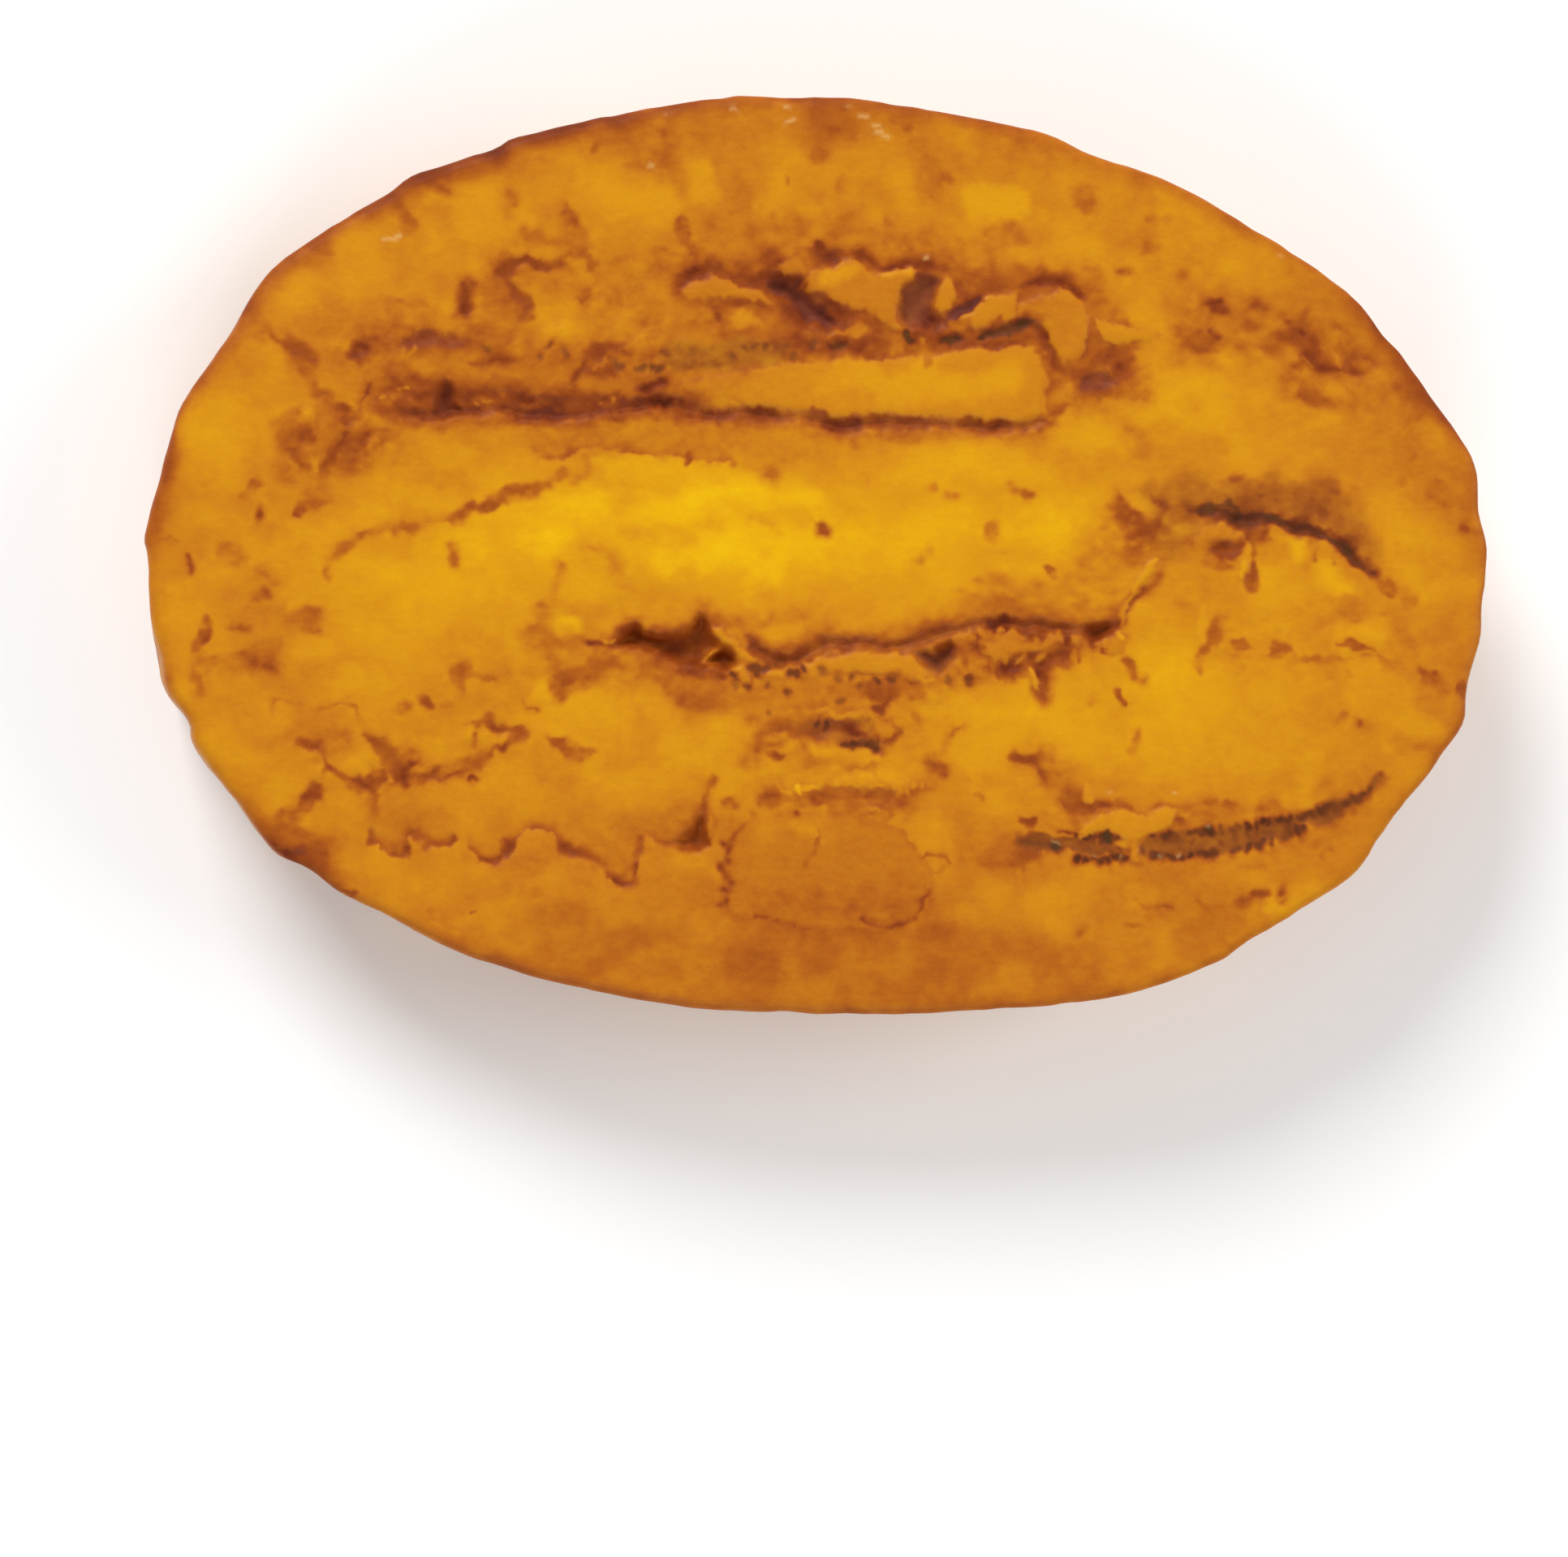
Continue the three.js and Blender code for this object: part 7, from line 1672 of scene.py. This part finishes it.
class Nodes:
    """A short way to write a material's node tree."""

    def __init__(self, name):
        self.material = bpy.data.materials.new(name)
        self.material.use_nodes = True
        self.tree = self.material.node_tree
        self.tree.nodes.clear()

    def add(self, kind, inputs=None, **settings):
        node = self.tree.nodes.new(kind)
        for key, value in settings.items():
            setattr(node, key, value)
        for key, value in (inputs or {}).items():
            if isinstance(value, bpy.types.NodeSocket):
                self.tree.links.new(value, node.inputs[key])
            else:
                node.inputs[key].default_value = value
        return node

    def math(self, operation, a, b, clamp=False):
        return self.add("ShaderNodeMath", {0: a, 1: b}, operation=operation, use_clamp=clamp).outputs[0]

    def scaled(self, value, amount, base=0.0, clamp=False):
        """The value times an amount, plus a base."""
        return self.math("ADD", self.math("MULTIPLY", value, amount), base, clamp)

    def noise(self, wavelength, detail=2.0, stretch=(1, 1, 1)):
        """Noise round 0, from about -0.5 to 0.5, with its wavelength in millimetres."""
        coordinates = self.add("ShaderNodeTexCoord").outputs["Object"]
        mapping = self.add("ShaderNodeMapping", {"Vector": coordinates, "Scale": stretch})
        settings = {"Scale": 1 / (wavelength * MM), "Detail": detail, "Roughness": 0.55}
        texture = self.add("ShaderNodeTexNoise", {"Vector": mapping.outputs[0], **settings})
        return self.math("SUBTRACT", texture.outputs["Fac"], 0.5)

    def mix(self, factor, a, b):
        """Two colours mixed. The node's sockets 6 and 7 are its two colours."""
        return self.add("ShaderNodeMix", {0: factor, 6: a, 7: b}, data_type="RGBA").outputs[2]

    def ramp(self, factor, colours):
        """A colour ramp, of positions and colours."""
        node = self.add("ShaderNodeValToRGB", {"Fac": factor})
        elements = node.color_ramp.elements
        while len(elements) < len(colours):
            elements.new(0.5)
        for element, (position, colour) in zip(elements, colours):
            element.position, element.color = position, colour
        return node.outputs["Color"]

    def finish(self, inputs):
        """The shader, on the material's output. Returns the material."""
        shader = self.add("ShaderNodeBsdfPrincipled", inputs)
        self.add("ShaderNodeOutputMaterial", {"Surface": shader.outputs[0]})
        return self.material


TOAST_RAMP = [
    (0.00, (246, 193, 12)), (0.08, (239, 180, 14)), (0.21, (230, 163, 18)), (0.35, (220, 147, 22)),
    (0.48, (206, 126, 25)), (0.59, (188, 103, 25)), (0.71, (162, 78, 24)), (0.85, (131, 55, 20)),
    (1.00, (92, 34, 13)),
]
COOL_BROWN = (113, 59, 52)
OLIVE_BROWN = (72, 60, 30)
# The colour of painted highlights: oily glints put into the base colour.
PAINTED_GLINT_COLOUR = (238, 208, 140)
FLESH_LIGHTNESS = 0.845
PAINTED_GLINT_STRENGTH = 0.7

ALONG_FIBRES, ANY_WAY = (1, 1.5, 1), (1, 1, 1)
# Fine mottling of the tone: amount, wavelength, detail, stretch.
FINE_MOTTLES = ((0.10, 1.3, 2.0, ALONG_FIBRES), (0.10, 0.45, 2.0, ALONG_FIBRES), (0.04, 0.14, 1.0, ANY_WAY))
BUMP_DEPTH, BUMP_STRENGTH, FINE_BUMP = 0.05 * MM, 0.5, 0.35
SMOOTHEST, BURNT_ROUGHER, ROUGH_SWING = 0.3, 0.25, 0.3
FLESH_SHADER = {
    "IOR": 1.4, "Specular IOR Level": 0.1, "Subsurface Weight": 0.1, "Subsurface Scale": 0.6 * MM,
    "Subsurface Radius": (1.0, 0.45, 0.08),
}

FLOOR_SHADES = (246, 246, 246), (250, 250, 250)
FLOOR_CLOUDS, FLOOR_SWING = 40, 0.02
FLOOR_SHADER = {"Roughness": 0.7, "Specular IOR Level": 0.2}


def flesh_material():
    """Fried flesh, coloured by the marks of the face, with fine mottling, bumps, a light gloss and painted
    highlights of oil.
    """
    nodes = Nodes("fried_flesh")
    marks = nodes.add("ShaderNodeAttribute", attribute_name="marks")
    toast, cool, painted_glint = nodes.add("ShaderNodeSeparateColor", {"Color": marks.outputs["Color"]}).outputs[:3]
    tone = toast
    for amount, wavelength, detail, stretch in FINE_MOTTLES:
        tone = nodes.scaled(nodes.noise(wavelength, detail, stretch), amount, tone)
    tone = nodes.math("ADD", tone, 0.0, clamp=True)
    browns = [(position, [c * FLESH_LIGHTNESS for c in linear(*colour)[:3]] + [1.0])
              for position, colour in TOAST_RAMP]
    colour = nodes.mix(cool, nodes.ramp(tone, browns), linear(*COOL_BROWN))
    colour = nodes.mix(marks.outputs["Alpha"], colour, linear(*OLIVE_BROWN))
    # Painted highlights: the glint layer mixes a whitish oily glint colour into the base colour.
    colour = nodes.mix(nodes.math("MULTIPLY", painted_glint, PAINTED_GLINT_STRENGTH), colour, linear(*PAINTED_GLINT_COLOUR))

    height = nodes.scaled(nodes.noise(0.16), FINE_BUMP, nodes.noise(0.5, 3.0, ALONG_FIBRES))
    bump = nodes.add("ShaderNodeBump", {"Height": height, "Distance": BUMP_DEPTH, "Strength": BUMP_STRENGTH})
    rough = nodes.scaled(toast, BURNT_ROUGHER, SMOOTHEST)
    rough = nodes.scaled(nodes.noise(0.8), ROUGH_SWING, rough, clamp=True)
    return nodes.finish({"Base Color": colour, "Roughness": rough, "Normal": bump.outputs[0], **FLESH_SHADER})


def floor_material():
    nodes = Nodes("pale_floor")
    swing = nodes.scaled(nodes.noise(FLOOR_CLOUDS, 3.0), FLOOR_SWING, 0.5)
    dark, light = FLOOR_SHADES
    return nodes.finish({"Base Color": nodes.mix(swing, linear(*dark), linear(*light)), **FLOOR_SHADER})


# ---------------------------------------------------------------- the scene

face_map = draw_face()
slice_piece, shift = slice_object("fried_slice", *build_slice(face_map))
slice_piece.data.materials.append(flesh_material())
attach(slice_piece, "root")
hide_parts(NODE)

FLOOR_SIZE = 4.0
FLOOR_GAP = 0.02 * MM   # keeps the floor and the flat underside out of one plane
bpy.ops.mesh.primitive_plane_add(size=FLOOR_SIZE, location=(0, 0, CAD_BOX[0][2] - FLOOR_GAP))
floor = bpy.context.object
floor.name = "floor"
floor.data.materials.append(floor_material())

# The camera hangs over a place below the slice's middle, where the photograph's own middle is.
IMAGE_WIDTH = 1932
IMAGE_HEIGHT = 1918
PIXELS_PER_MM = 27.58
FACE_CENTRE_PIXEL = (1007.5, 682.0)
CAMERA_HEIGHT = 185.0
SENSOR = 36.0

camera_x = (IMAGE_WIDTH / 2 - FACE_CENTRE_PIXEL[0]) / PIXELS_PER_MM + shift[0]
camera_y = (FACE_CENTRE_PIXEL[1] - IMAGE_HEIGHT / 2) / PIXELS_PER_MM + shift[1]
camera_data = bpy.data.cameras.new("camera")
camera_data.sensor_width = SENSOR
camera_data.lens = SENSOR * CAMERA_HEIGHT / (IMAGE_WIDTH / PIXELS_PER_MM)
camera_data.clip_start = 0.01
camera = add_object("camera", camera_data)
camera.location = Vector((camera_x, camera_y, CAMERA_HEIGHT + THICKNESS)) * MM
bpy.context.scene.camera = camera

# Soft round lights aimed at the slice: name, place and size in metres, power in watts.
LIGHTS = (
    ("key", (-0.25, 0.55, 0.45), 0.35, 4.4),
    ("fill_right", (0.6, 0.1, 0.4), 0.4, 1.9),
    ("fill_front", (-0.1, -0.6, 0.45), 0.4, 1.8),
)
SKY_STRENGTH = 0.38

for name, place, size, power in LIGHTS:
    light = bpy.data.lights.new(name, "AREA")
    light.shape = "DISK"
    light.size = size
    light.energy = power
    lamp = add_object(name, light)
    lamp.location = place
    lamp.rotation_euler = (-Vector(place)).to_track_quat("-Z", "Y").to_euler()

world = bpy.data.worlds.new("studio")
world.use_nodes = True
background = world.node_tree.nodes["Background"]
background.inputs["Color"].default_value = (1, 1, 1, 1)
background.inputs["Strength"].default_value = SKY_STRENGTH
bpy.context.scene.world = world
bpy.context.scene.view_settings.view_transform = "Standard"
